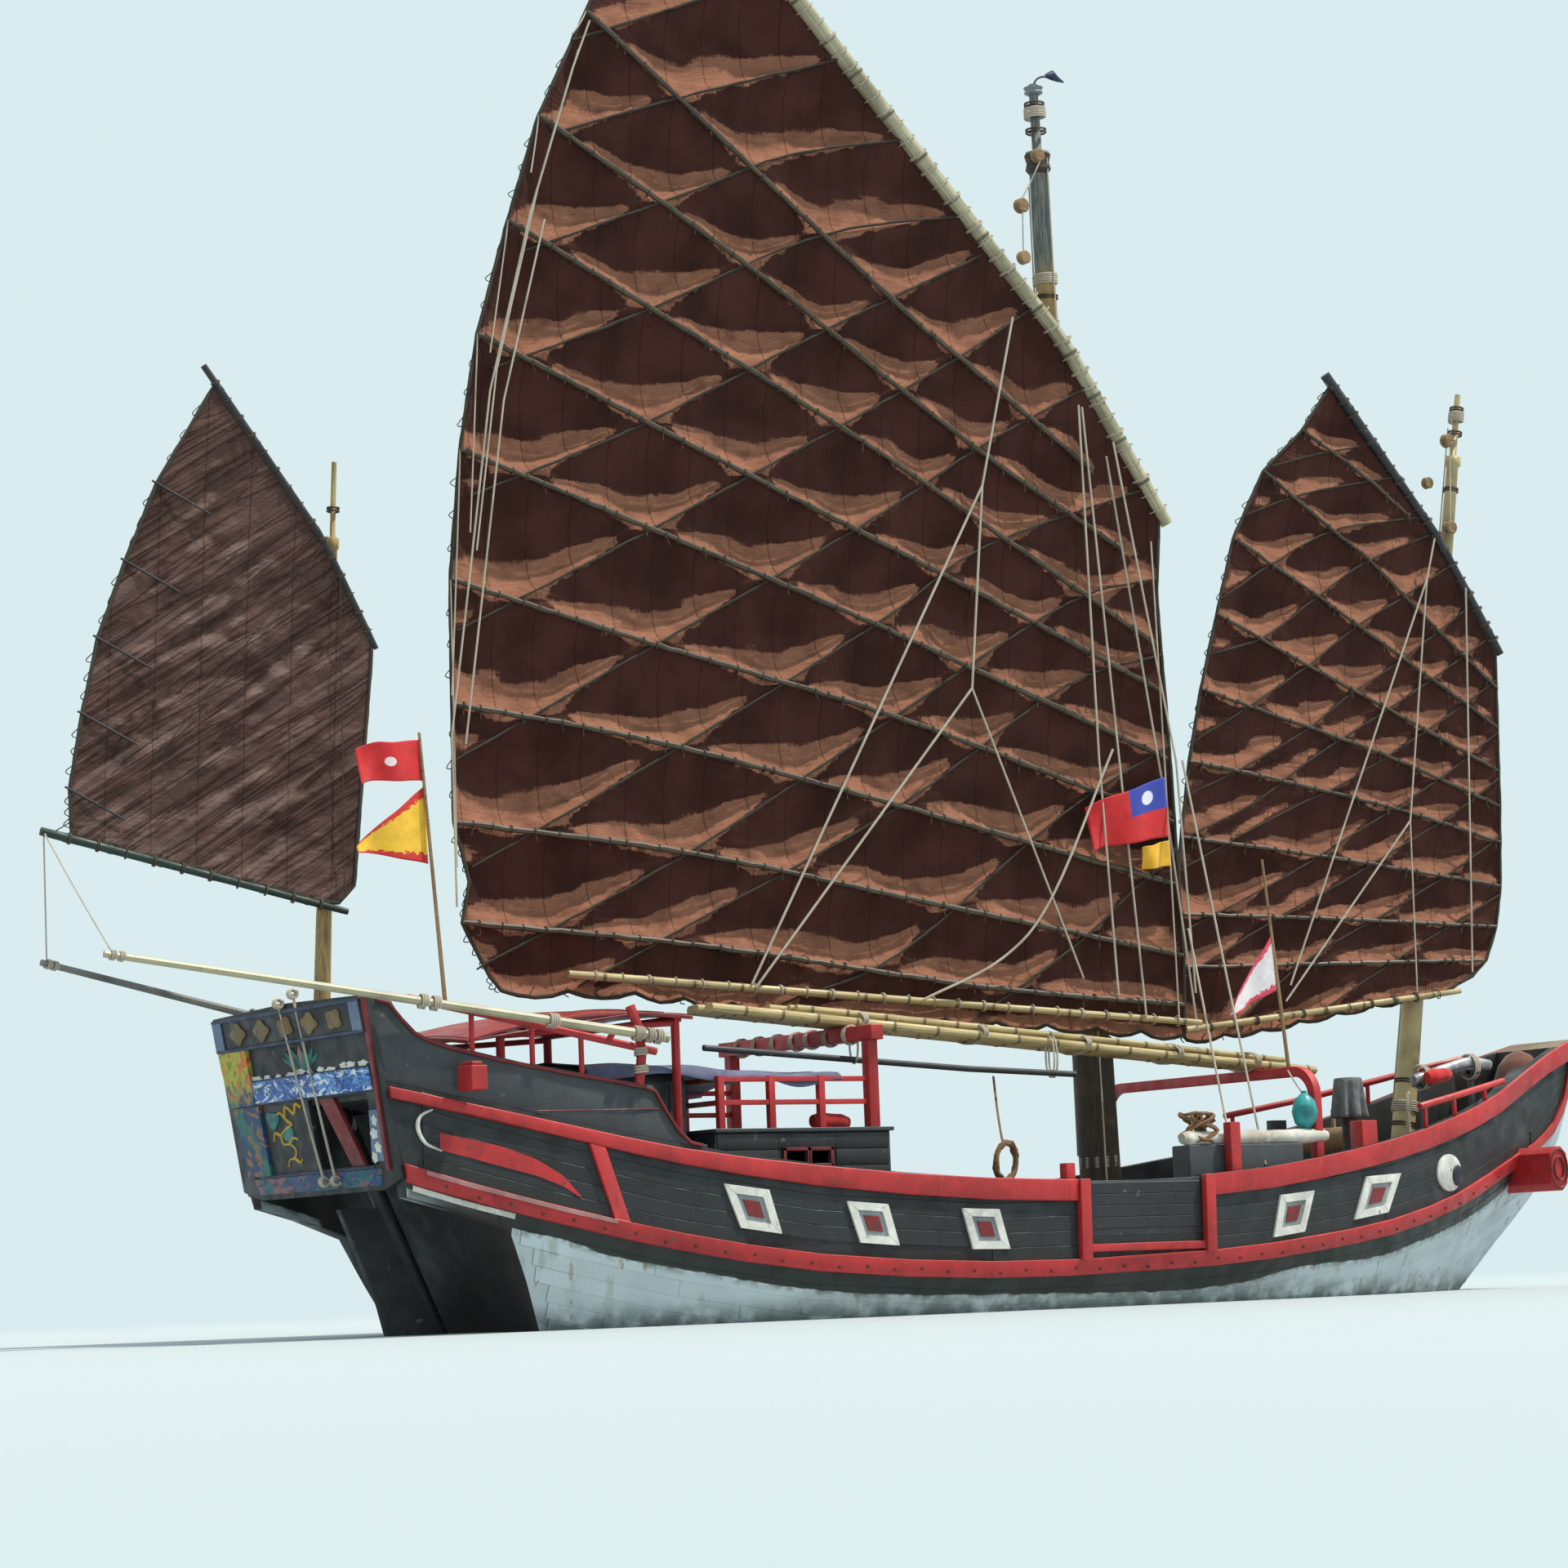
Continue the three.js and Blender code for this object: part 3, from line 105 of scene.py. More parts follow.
class Finish:
    """A node material, put together one step at a time."""

    def __init__(self, name, roughness=0.7):
        self.material = bpy.data.materials.new(name)
        self.material.use_nodes = True
        self.tree = self.material.node_tree
        self.shader = self.tree.nodes["Principled BSDF"]
        self.shader.inputs["Roughness"].default_value = roughness
        self.normal = None
        coordinates = self.node("TexCoord")
        self.place = coordinates.outputs["Object"]
        self.flat = coordinates.outputs["UV"]

    def node(self, kind, inputs=None, **settings):
        node = self.tree.nodes.new("ShaderNode" + kind)
        for key, value in settings.items():
            setattr(node, key, value)
        for key, value in (inputs or {}).items():
            self.feed(node.inputs[key], value)
        return node

    def feed(self, socket, value):
        if isinstance(value, bpy.types.NodeSocket):
            self.tree.links.new(value, socket)
        elif socket.type == "RGBA":
            socket.default_value = (*value[:3], 1.0)
        else:
            socket.default_value = value

    def noise(self, scale, detail=4.0, stretch=(1, 1, 1), where=None, **more):
        mapped = self.node("Mapping", {"Vector": where or self.place, "Scale": stretch})
        inputs = {"Vector": mapped.outputs[0], "Scale": scale, "Detail": detail, **more}
        return self.node("TexNoise", inputs).outputs["Fac"]

    def span(self, value, low, high, to_low=0.0, to_high=1.0):
        inputs = {"Value": value, "From Min": low, "From Max": high, "To Min": to_low, "To Max": to_high}
        return self.node("MapRange", inputs, interpolation_type="SMOOTHSTEP").outputs["Result"]

    def mix(self, share, a, b, blend="MIX"):
        node = self.node("Mix", data_type="RGBA", blend_type=blend)
        for socket, value in ((0, share), (6, a), (7, b)):
            self.feed(node.inputs[socket], value)
        return node.outputs[2]

    def math(self, operation, a, b=0.0):
        node = self.node("Math", operation=operation)
        self.feed(node.inputs[0], a)
        self.feed(node.inputs[1], b)
        return node.outputs[0]

    def plus(self, a, b):
        return self.math("ADD", a, b)

    def times(self, a, b):
        return self.math("MULTIPLY", a, b)

    def around(self, value, width):
        """The value's swing about a half, with that width."""
        return self.times(self.math("SUBTRACT", value, 0.5), width)

    def cloud(self, scale, detail, low, high, most=1.0, stretch=(1, 1, 1), where=None, **more):
        """Clouds of noise, from 0 to most."""
        return self.span(self.noise(scale, detail, stretch, where, **more), low, high, 0, most)

    def clouded(self, tone, over, *cloud, **more):
        """The tone with another over it in clouds."""
        return self.mix(self.cloud(*cloud, **more), tone, over)

    def parts(self, vector):
        return self.node("SeparateXYZ", {"Vector": vector}).outputs

    def facing(self, axis):
        return self.parts(self.node("NewGeometry").outputs["Normal"])[axis]

    def set(self, **values):
        """Values of the shader's own sockets, with _ for a space."""
        for key, value in values.items():
            self.shader.inputs[key.replace("_", " ")].default_value = value

    def attribute(self, name):
        return self.node("Attribute", attribute_name=name).outputs["Fac"]

    def colour(self, value):
        self.feed(self.shader.inputs["Base Color"], value)

    def roughness(self, value):
        self.feed(self.shader.inputs["Roughness"], value)

    def bump(self, height, distance, strength=1.0):
        inputs = {"Height": height, "Distance": distance, "Strength": strength}
        if self.normal:
            inputs["Normal"] = self.normal
        self.normal = self.node("Bump", inputs).outputs[0]
        self.feed(self.shader.inputs["Normal"], self.normal)


def painted(name, colour, under, wear=0.3, faded=None):
    """Paint on wood: uneven tone, grime that runs down, chips to what is under it, brush grain and, if asked,
    a painted highlight on faces that point up.
    """
    f = Finish(name, 0.5)
    tone = f.clouded(colour, tinted(colour, 0.68), 0.9, 6, 0.35, 0.68)
    tone = f.clouded(tone, tinted(colour, 1.35), 7, 6, 0.42, 0.75, 0.5)
    if faded:
        # painted highlight: faces that point up take the lighter tone
        share = f.times(f.span(f.facing("Z"), 0.25, 0.9), f.span(f.noise(2.5, 6), 0.25, 0.6, 0.45, 0.95))
        tone = f.mix(share, tone, faded)
    tone = f.clouded(tone, tinted(colour, 0.4), 4, 6, 0.56, 0.8, 0.55, (5, 5, 0.5))
    edge = 0.72 - 0.12 * wear
    chips = f.times(f.cloud(11, 10, edge, edge + 0.03), f.cloud(1.4, 4, 0.4, 0.6))
    f.colour(f.mix(chips, tone, under))
    f.roughness(f.span(f.noise(5, 5), 0.3, 0.75, 0.4, 0.7))
    f.bump(f.noise(9, 8, (1.5, 14, 14)), 0.004, 0.5)
    f.bump(chips, 0.0015, 0.6)
    return f.material


def strokes(name, *tones, scale, stretch, above=None):
    """Painted ornament: each tone brushed over the last in soft patches; above adds one from a height up."""
    f = Finish(name, 0.55)
    tone = tones[0]
    for k, over in enumerate(tones[1:]):
        drawn = (stretch[0], stretch[1], stretch[2] * (1 + 0.3 * k))
        patch = (scale * (1 + 0.35 * k), 5, 0.5 + 0.015 * k, 0.57 + 0.015 * k)
        tone = f.clouded(tone, over, *patch, stretch=drawn, Distortion=1.6 + 0.7 * k)
    if above:
        low, high, over = above
        height = f.plus(f.parts(f.place)["Z"], f.times(f.noise(6, 5, Distortion=1.5), 0.5))
        share = f.span(height, low, high)
        tone = f.mix(share, tone, over)
        tone = f.mix(f.times(share, f.cloud(4, 5, 0.52, 0.58, Distortion=2)), tone, linear(206, 96, 40))
    f.colour(f.clouded(tone, linear(24, 36, 44), 14, 7, 0.5, 0.7, 0.6))
    f.bump(f.noise(20, 6), 0.002, 0.5)
    return f.material


def timber(name, colour, dark, grain=(1.2, 20, 20), seams=None, grey_above=None):
    """Bare wood with grain and grey weathering, and, if asked, plank seams across Y or a grey top."""
    f = Finish(name, 0.75)
    lines = f.noise(5, 9, grain, Distortion=0.6)
    streaks = f.span(lines, 0.35, 0.65)
    tone = f.mix(streaks, colour, dark)
    tone = f.clouded(tone, tinted(colour, 1.25), 1.1, 5, 0.4, 0.7, 0.6)
    tone = f.clouded(tone, tinted(dark, 0.6), 16, 6, 0.6, 0.78, 0.6)
    f.bump(lines, 0.004, 0.6)
    if grey_above:
        height = f.plus(f.parts(f.place)["Z"], f.times(f.noise(3, 4), 0.4))
        grey = f.mix(streaks, linear(132, 134, 128), linear(72, 76, 76))
        tone = f.mix(f.span(height, grey_above, grey_above + 0.5), tone, grey)
    if seams:
        gap = f.span(f.math("PINGPONG", f.parts(f.place)["Y"], seams / 2), 0.0, 0.012, 1.0, 0.0)
        tone = f.mix(gap, tone, tinted(dark, 0.25))
        f.bump(f.math("SUBTRACT", 1.0, gap), 0.008)
    f.colour(tone)
    return f.material


def bamboo(name, colour, dark):
    """Bamboo: pale skin with long streaks, dark at the joints and blotched by weather."""
    f = Finish(name, 0.45)
    streaks = f.noise(3, 7, (14, 0.35, 1), f.flat)
    tone = f.mix(f.span(streaks, 0.35, 0.7), colour, dark)
    tone = f.clouded(tone, tinted(dark, 0.7), 1.6, 6, 0.45, 0.72, 0.7)
    tone = f.clouded(tone, tinted(dark, 0.35), 24, 5, 0.62, 0.75, 0.7)
    f.colour(f.mix(f.attribute("joint"), tone, tinted(dark, 0.45)))
    f.roughness(f.span(streaks, 0.3, 0.8, 0.35, 0.65))
    f.bump(streaks, 0.002, 0.5)
    return f.material


def cordage(name, colour, dark):
    """Laid rope: strands that run round it, with grey dirt."""
    f = Finish(name, 0.85)
    parts = f.parts(f.flat)
    turn = f.plus(parts["X"], f.times(parts["Y"], TWISTS))
    strand = f.math("PINGPONG", f.times(turn, STRANDS), 0.5)
    f.colour(f.clouded(f.mix(f.times(strand, 2.0), dark, colour), dark, 3, 6, 0.4, 0.75, 0.6))
    f.bump(strand, 0.003, 0.8)
    return f.material


def bottom_edge(f, x):
    """The height of the pale bottom's upper edge at x."""
    (start, _), (end, _) = BOTTOM_EDGE[0], BOTTOM_EDGE[-1]
    share = f.node("MapRange", {"Value": x, "From Min": start, "From Max": end}).outputs[0]
    curve = f.node("FloatCurve", {"Value": share})
    points = curve.mapping.curves[0].points
    spots = [((at - start) / (end - start), height / EDGE_SCALE) for at, height in BOTTOM_EDGE]
    points[0].location, points[-1].location = spots[0], spots[-1]
    for spot in spots[1:-1]:
        points.new(*spot)
    curve.mapping.update()
    return f.times(curve.outputs[0], EDGE_SCALE)


def hull_paint(name):
    """The side from above down: slate planking, a green-black stripe, and the pale bottom with stains; faces
    that look aft get painted shade.
    """
    colours = bpy.context.scene.junk_colours
    side, bottom = colours.planking, colours.bottom
    f = Finish(name, 0.6)
    place = f.parts(f.place)
    ragged = f.around(f.noise(6, 6), 0.05)
    above = f.plus(f.math("SUBTRACT", place["Z"], bottom_edge(f, place["X"])), ragged)
    board = f.attribute("board")
    slate = f.clouded(side, tinted(side, 0.6), 0.8, 7, 0.3, 0.7)
    slate = f.mix(f.times(board, 0.5), slate, tinted(side, 1.6))
    slate = f.clouded(slate, tinted(side, 1.8), 3.5, 7, 0.55, 0.8, 0.4, (3.5, 3.5, 0.35))
    slate = f.clouded(slate, linear(78, 72, 66), 14, 8, 0.62, 0.75, 0.35, (0.5, 3, 3))
    stripe = f.clouded(linear(20, 30, 26), linear(36, 40, 36), 2, 6, 0.35, 0.7)
    dark = f.mix(f.span(above, 0.3, 0.42), stripe, slate)
    pale = f.clouded(bottom, tinted(bottom, 0.72), 1.2, 6, 0.3, 0.7)
    pale = f.mix(f.times(board, 0.35), pale, tinted(bottom, 1.2))
    stains = f.times(f.cloud(2.2, 6, 0.56, 0.68, stretch=(2.6, 2.6, 0.25)), f.span(above, -0.75, -0.05))
    pale = f.mix(f.times(stains, 0.45), pale, linear(128, 126, 92))
    pale = f.clouded(pale, linear(136, 96, 58), 3.1, 6, 0.63, 0.7, 0.55, (3.4, 3.4, 0.2))
    weed = f.times(f.span(above, -0.07, 0.0), f.cloud(9, 6, 0.35, 0.65, 0.7))
    pale = f.mix(weed, pale, linear(62, 76, 52))
    low = f.times(f.span(place["Z"], 0.02, 0.3, 0.75, 0.0), f.cloud(5, 6, 0.25, 0.6))
    pale = f.mix(low, pale, linear(56, 70, 58))
    tone = f.mix(f.span(above, -0.008, 0.008), pale, dark)
    # painted shade: faces that look aft, under the stern, are painted near black
    aft_shade = f.mix(f.noise(3, 6), linear(22, 24, 24), linear(48, 44, 38))
    f.colour(f.mix(f.span(f.facing("X"), -0.22, -0.34), tone, aft_shade))
    f.roughness(f.span(f.noise(4, 5), 0.3, 0.7, 0.42, 0.75))
    f.bump(f.noise(6, 8, (1.0, 12, 12)), 0.005, 0.6)
    f.bump(f.noise(40, 6), 0.0015, 0.4)
    return f.material


def sailcloth(name, creases, crisp=True):
    """Tanned cotton: deep brown, with painted light in terracotta where it faces up, painted shade in
    creases, narrow cloths and patches.
    """
    colours = bpy.context.scene.junk_colours
    deepest = colours.sail_deep
    f = Finish(name, 0.92)
    flat = {"where": f.flat}

    def line_in(value, width):
        """A thin line where the noise passes a half."""
        return f.math("SUBTRACT", 1.0, f.span(f.math("ABSOLUTE", f.math("SUBTRACT", value, 0.5)), 0.0, width))

    threads = f.noise(9, 8, (0.35, 3.2, 1), f.flat)
    fringe = f.noise(26, 6, (1.6, 0.5, 1), f.flat)
    # painted light: the lit tone's share comes from how far the cloth faces up, with ragged edges from thread
    # and fringe noise
    share = f.plus(f.attribute("bleach"), f.around(threads, 0.5 if crisp else 1.6))
    share = f.plus(share, f.around(fringe, 0.55))
    # the cloth's shaded tone and the lit tone of its painted light
    shaded, faded = (deepest, colours.sail_bleached) if crisp else (linear(74, 54, 49), linear(124, 100, 93))
    deep = f.clouded(shaded, tinted(shaded, 1.9), 1.7, 7, 0.3, 0.7, **flat)
    lit = f.clouded(faded, tinted(faded, 0.7), 4, 7, 0.35, 0.7, **flat)
    tone = f.mix(f.span(share, 0.34, 0.64) if crisp else f.span(share, 0.1, 1.0), deep, lit)
    # painted shade: thin dark lines where the cloth creases
    crease_shade = line_in(f.noise(7, 5, (0.7, 5.5, 1), f.flat, Distortion=1.4), 0.022)
    tone = f.mix(f.times(crease_shade, 0.6), tone, tinted(deepest, 0.9))
    tone = f.clouded(tone, tinted(deepest, 1.2), 3.2, 8, 0.56, 0.75, 0.5, **flat)
    seam = f.span(f.math("PINGPONG", f.parts(f.flat)["X"], CLOTH_WIDTH / 2), 0.0, 0.012, 1.0, 0.0)
    tone = f.mix(f.times(seam, 0.55), tone, tinted(deepest, 0.45))
    if not crisp:
        slanted = f.node("Mapping", {"Vector": f.flat, "Rotation": (0, 0, -math.radians(36))}).outputs[0]
        fold = f.noise(1.5, 5, (0.34, 5.5, 1), slanted, Distortion=0.9)
        # painted shade along the slanting folds, and painted highlight on their ridges in the lit tone
        tone = f.mix(f.times(line_in(fold, 0.05), 0.7), tone, tinted(deepest, 0.6))
        tone = f.mix(f.span(fold, 0.56, 0.68, 0, 0.6), tone, faded)
        f.bump(fold, 0.12, 0.9)
    f.colour(tone)
    f.set(Sheen_Weight=0.03, Specular_IOR_Level=0.12)
    f.bump(f.noise(2.6, 6, creases, f.flat, Distortion=1.2), 0.05, 0.65)
    f.bump(threads, 0.012, 0.55)
    f.bump(seam, 0.004, 0.6)
    f.bump(f.noise(220, 3, **flat), 0.001, 0.4)
    return f.material


def canvas(name, colour, dark):
    """Plain cloth: a soft weave, folds of dirt and faded patches."""
    f = Finish(name, 0.9)
    tone = f.clouded(colour, dark, 1.5, 6, 0.3, 0.7)
    f.colour(f.clouded(tone, tinted(colour, 1.3), 8, 7, 0.5, 0.78, 0.6))
    f.set(Sheen_Weight=0.2)
    f.bump(f.noise(4, 7), 0.012, 0.6)
    f.bump(f.noise(160, 3), 0.001, 0.5)
    return f.material


def flag_cloth(name, ground, border=None, canton=None, spot=None):
    """Flag cloth by its flat place: u runs out from the hoist and v down from the head, each from 0 to 1."""
    f = Finish(name, 0.85)
    parts = f.parts(f.flat)
    u, v = parts["X"], parts["Y"]
    tone = f.clouded(ground, tinted(ground, 0.62), 9, 6, 0.35, 0.75, 0.5)
    if border:
        rim = f.math("MINIMUM", v, f.math("SUBTRACT", 1.0, v))
        rim = f.plus(rim, f.around(f.noise(16, 2, where=f.flat), 0.22))
        tone = f.mix(f.span(rim, 0.15, 0.12), tone, border)
    if canton:
        tone = f.mix(f.times(f.span(u, 0.5, 0.48), f.span(v, 0.52, 0.5)), tone, canton)
    if spot:
        middle = (0.25, 0.26) if canton else (0.5, 0.5)
        du, dv = f.times(f.math("SUBTRACT", u, middle[0]), 1.5), f.math("SUBTRACT", v, middle[1])
        away = f.math("SQRT", f.plus(f.times(du, du), f.math("POWER", dv, 2.0)))
        tone = f.mix(f.span(away, 0.13, 0.11), tone, spot)
    f.colour(tone)
    f.set(Sheen_Weight=0.2)
    f.bump(f.noise(7, 6), 0.012, 0.5)
    f.bump(f.noise(180, 3), 0.001, 0.4)
    return f.material


def gloss(name, colour, dark, roughness=0.35, metallic=0.0):
    """Metal, varnish or enamel with uneven gloss."""
    f = Finish(name, roughness)
    f.set(Metallic=metallic)
    f.colour(f.clouded(colour, dark, 6, 6, 0.35, 0.7))
    f.roughness(f.span(f.noise(12, 6), 0.3, 0.7, roughness, roughness + 0.25))
    f.bump(f.noise(30, 5), 0.001, 0.5)
    return f.material


GREY_WOOD = (92, 84, 74)
UP = (18, 18, 0.8)  # the grain of a mast

# Each finish: what makes it, its colours, and what else that maker takes
FINISHES = {
    "hull_paint": (hull_paint,),
    "sail_lattice": (sailcloth, {"creases": (0.35, 1.6, 1)}),
    "sail_creased": (sailcloth, {"creases": (1.2, 0.8, 1), "crisp": False}),
    # a painted finish's last colour, where there is one, is its painted highlight on faces that point up
    "red_paint": (painted, "red", (98, 60, 48), 0.5, (204, 76, 74)),
    "dull_red": (painted, (118, 30, 32), (70, 52, 44), 0.6),
    "slate_paint": (painted, (56, 60, 64), GREY_WOOD, 0.6, (104, 106, 108)),
    "dark_paint": (painted, (34, 36, 40), GREY_WOOD, 0.5, (74, 74, 78)),
    "white_paint": (painted, (214, 212, 204), (120, 116, 104), 0.35),
    "grey_paint": (painted, (136, 144, 146), (70, 70, 66), 0.3),
    "blue_paint": (painted, (40, 72, 124), (50, 56, 66), 0.5),
    "navy_paint": (painted, (34, 52, 84), (50, 54, 60), 0.5),
    "pale_blue_paint": (painted, (96, 116, 142), (70, 76, 84), 0.5),
    "teal_paint": (painted, (34, 112, 104), (40, 50, 48), 0.5),
    "green_paint": (painted, (46, 92, 66), (60, 58, 46), 0.6),
    "dark_green_paint": (painted, (26, 48, 38), (50, 46, 38), 0.5),
    "yellow_paint": (painted, (196, 160, 48), (96, 80, 40), 0.5),
    "pink_paint": (painted, (178, 126, 122), (80, 60, 60), 0.5),
    "gold_paint": (painted, (112, 88, 46), (50, 44, 34), 0.7),
    "canopy": (painted, (128, 34, 34), (96, 70, 60), 0.4, (150, 60, 56)),
    "wave_strokes": (
        strokes, (48, 92, 166), (86, 138, 196), (204, 214, 224), (30, 60, 120),
        {"scale": 2.1, "stretch": (0.6, 1, 1.7)},
    ),
    "evening_strokes": (
        strokes, (30, 66, 104), (32, 104, 96), (36, 52, 112), (150, 98, 60),
        {"scale": 1.2, "stretch": (1, 1.2, 1), "above": (2.55, 2.8, linear(168, 164, 50))},
    ),
    "frieze_strokes": (
        strokes, (36, 66, 112), (40, 98, 104), (138, 86, 92), (32, 44, 76),
        {"scale": 1.5, "stretch": (1, 0.8, 1.8)},
    ),
    "deck_wood": (timber, (142, 122, 98), (92, 76, 60), {"seams": 0.16}),
    "bare_wood": (timber, (150, 120, 84), (96, 72, 50)),
    "mast_wood": (timber, (176, 146, 90), (110, 92, 64), {"grain": UP}),
    "weathered_mast": (timber, (172, 144, 92), (104, 90, 66), {"grain": UP, "grey_above": 11.35}),
    "tarred_wood": (timber, (66, 54, 42), (34, 28, 24), {"grain": UP}),
    "bamboo": (bamboo, "bamboo", (138, 116, 72)),
    "grey_bamboo": (bamboo, (192, 184, 152), (128, 120, 92)),
    # darker bamboo of the port bumpkin: weathering and painted shade
    "weathered_bamboo": (bamboo, (142, 140, 134), (78, 78, 76)),
    "batten_bamboo": (bamboo, (92, 78, 60), (46, 37, 28)),
    "dark_cord": (cordage, (74, 66, 50), (30, 27, 22)),
    "pale_cord": (cordage, (214, 202, 184), (150, 136, 118)),
    "worn_cord": (cordage, (110, 96, 78), (52, 42, 34)),
    "brown_cord": (cordage, (150, 112, 74), (84, 58, 38)),
    "white_cloth": (canvas, (224, 222, 214), (168, 160, 146)),
    "tarpaulin": (canvas, (104, 108, 140), (66, 70, 92)),
    "grey_cloth": (canvas, (120, 122, 122), (62, 64, 66)),
    "brown_cloth": (canvas, (128, 76, 62), (80, 44, 36)),
    "red_cloth": (canvas, (206, 30, 34), (140, 16, 22)),
    "yellow_cloth": (canvas, (232, 176, 44), (196, 132, 26)),
    "signal_flag": (flag_cloth, (206, 30, 34), None, (48, 62, 160), (220, 220, 226)),
    "stern_flag": (flag_cloth, (206, 34, 38), None, None, (226, 214, 210)),
    "fringed_flag": (flag_cloth, (236, 184, 48), (196, 40, 34)),
    "bow_flag": (flag_cloth, (220, 212, 214), (204, 58, 84)),
    "teal_float": (gloss, (52, 156, 158), (24, 100, 104)),
    "brass": (gloss, (196, 170, 110), (110, 88, 50), 0.3, 0.9),
    "iron": (gloss, (70, 68, 66), (92, 62, 44), 0.5, 0.7),
    "eye_black": (gloss, (26, 26, 44), (14, 14, 22), 0.4),
    "silver_wrap": (gloss, (190, 190, 192), (120, 120, 122), 0.35, 0.5),
}
MADE = {}
MERGE = 0.0001  # points nearer than this are one, in metres


def coloured(value):
    """A colour from its sRGB parts or from the setting of that name; any other value stays."""
    if isinstance(value, str):
        return getattr(bpy.context.scene.junk_colours, value)
    return linear(*value) if isinstance(value, tuple) else value


def finish(name):
    """The material of that name, made when it is first asked for."""
    if name not in MADE:
        maker, *values = FINISHES[name]
        more = values.pop() if values and isinstance(values[-1], dict) else {}
        MADE[name] = maker(name, *map(coloured, values), **more)
    return MADE[name]


# Making pieces


def focus(piece):
    bpy.ops.object.select_all(action="DESELECT")
    piece.select_set(True)
    bpy.context.view_layer.objects.active = piece


def linked(name, points, edges, faces):
    """A new mesh object that is in the scene and in focus."""
    mesh = bpy.data.meshes.new(name)
    mesh.from_pydata(points, edges, faces)
    piece = bpy.data.objects.new(name, mesh)
    bpy.context.scene.collection.objects.link(piece)
    focus(piece)
    return piece


def write_flat(mesh, flats):
    """The flat place of each face corner, as the mesh's own map."""
    mesh.uv_layers.new(name="flat").data.foreach_set("uv", np.array(flats, np.float32).ravel())


def write_values(mesh, name, values):
    mesh.attributes.new(name, "FLOAT", "POINT").data.foreach_set("value", np.array(values, np.float32))


def finished(piece, modifier, kind, **settings):
    """Adds a modifier with those settings and applies it."""
    made = piece.modifiers.new(modifier, kind)
    for key, value in settings.items():
        setattr(made, key, value)
    bpy.ops.object.modifier_apply(modifier=modifier)


def cloth(name, points, faces, thickness, flats=None, bleach=None):
    """A smooth sheet, with its thickness set half to each side."""
    piece = linked(name, points, [], faces)
    if flats is not None:
        write_flat(piece.data, flats)
    # each point's share of painted light, for the sail finish
    if bleach is not None:
        write_values(piece.data, "bleach", bleach)
    bpy.ops.object.shade_smooth()
    finished(piece, "thick", "SOLIDIFY", thickness=thickness, offset=0.0)
    return piece


def edited(piece, *steps):
    """Runs edit mode operators, each given as a name and its values, on the whole piece."""
    focus(piece)
    bpy.ops.object.mode_set(mode="EDIT")
    for step, values in steps:
        bpy.ops.mesh.select_all(action="SELECT")
        getattr(bpy.ops.mesh, step)(**values)
    bpy.ops.object.mode_set(mode="OBJECT")
    return piece


def recalculated(piece):
    return edited(piece, ("normals_make_consistent", {"inside": False}))


def settle(piece, body, material=None, replaces=()):
    """Gives a finished piece its body and finish, and hides the CAD nodes that it replaces."""
    if material:
        piece.data.materials.clear()
        piece.data.materials.append(finish(material))
    if replaces:
        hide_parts(*replaces)
    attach(piece, body)
    return piece


def lofted(sides, rows):
    """The faces of a closed skin over rows of points, with a cap at each end."""
    count = sides * rows
    faces = [tuple(range(sides))[::-1], tuple(range(count - sides, count))]
    for i in range(0, count - sides, sides):
        for k in range(sides):
            a, b = i + k, i + (k + 1) % sides
            faces.append((a, b, b + sides, a + sides))
    return faces


def grid_faces(rows, columns):
    """The faces of a sheet of rows by columns, over points that run along the columns first."""
    step = columns + 1
    corners = [i * step + j for i in range(rows) for j in range(columns)]
    return [(a, a + step, a + step + 1, a + 1) for a in corners]


def ellipse(centre, across, up, count=17):
    """A closed loop of points round a centre, from its two half axes."""
    centre, across, up = Vector(centre), Vector(across), Vector(up)
    return [centre + across * math.cos(t) + up * math.sin(t) for t in np.linspace(0, 2 * math.pi, count)]


def square_to(way):
    """Two directions square to that way and to each other."""
    side = way.orthogonal().normalized()
    return side, way.cross(side)


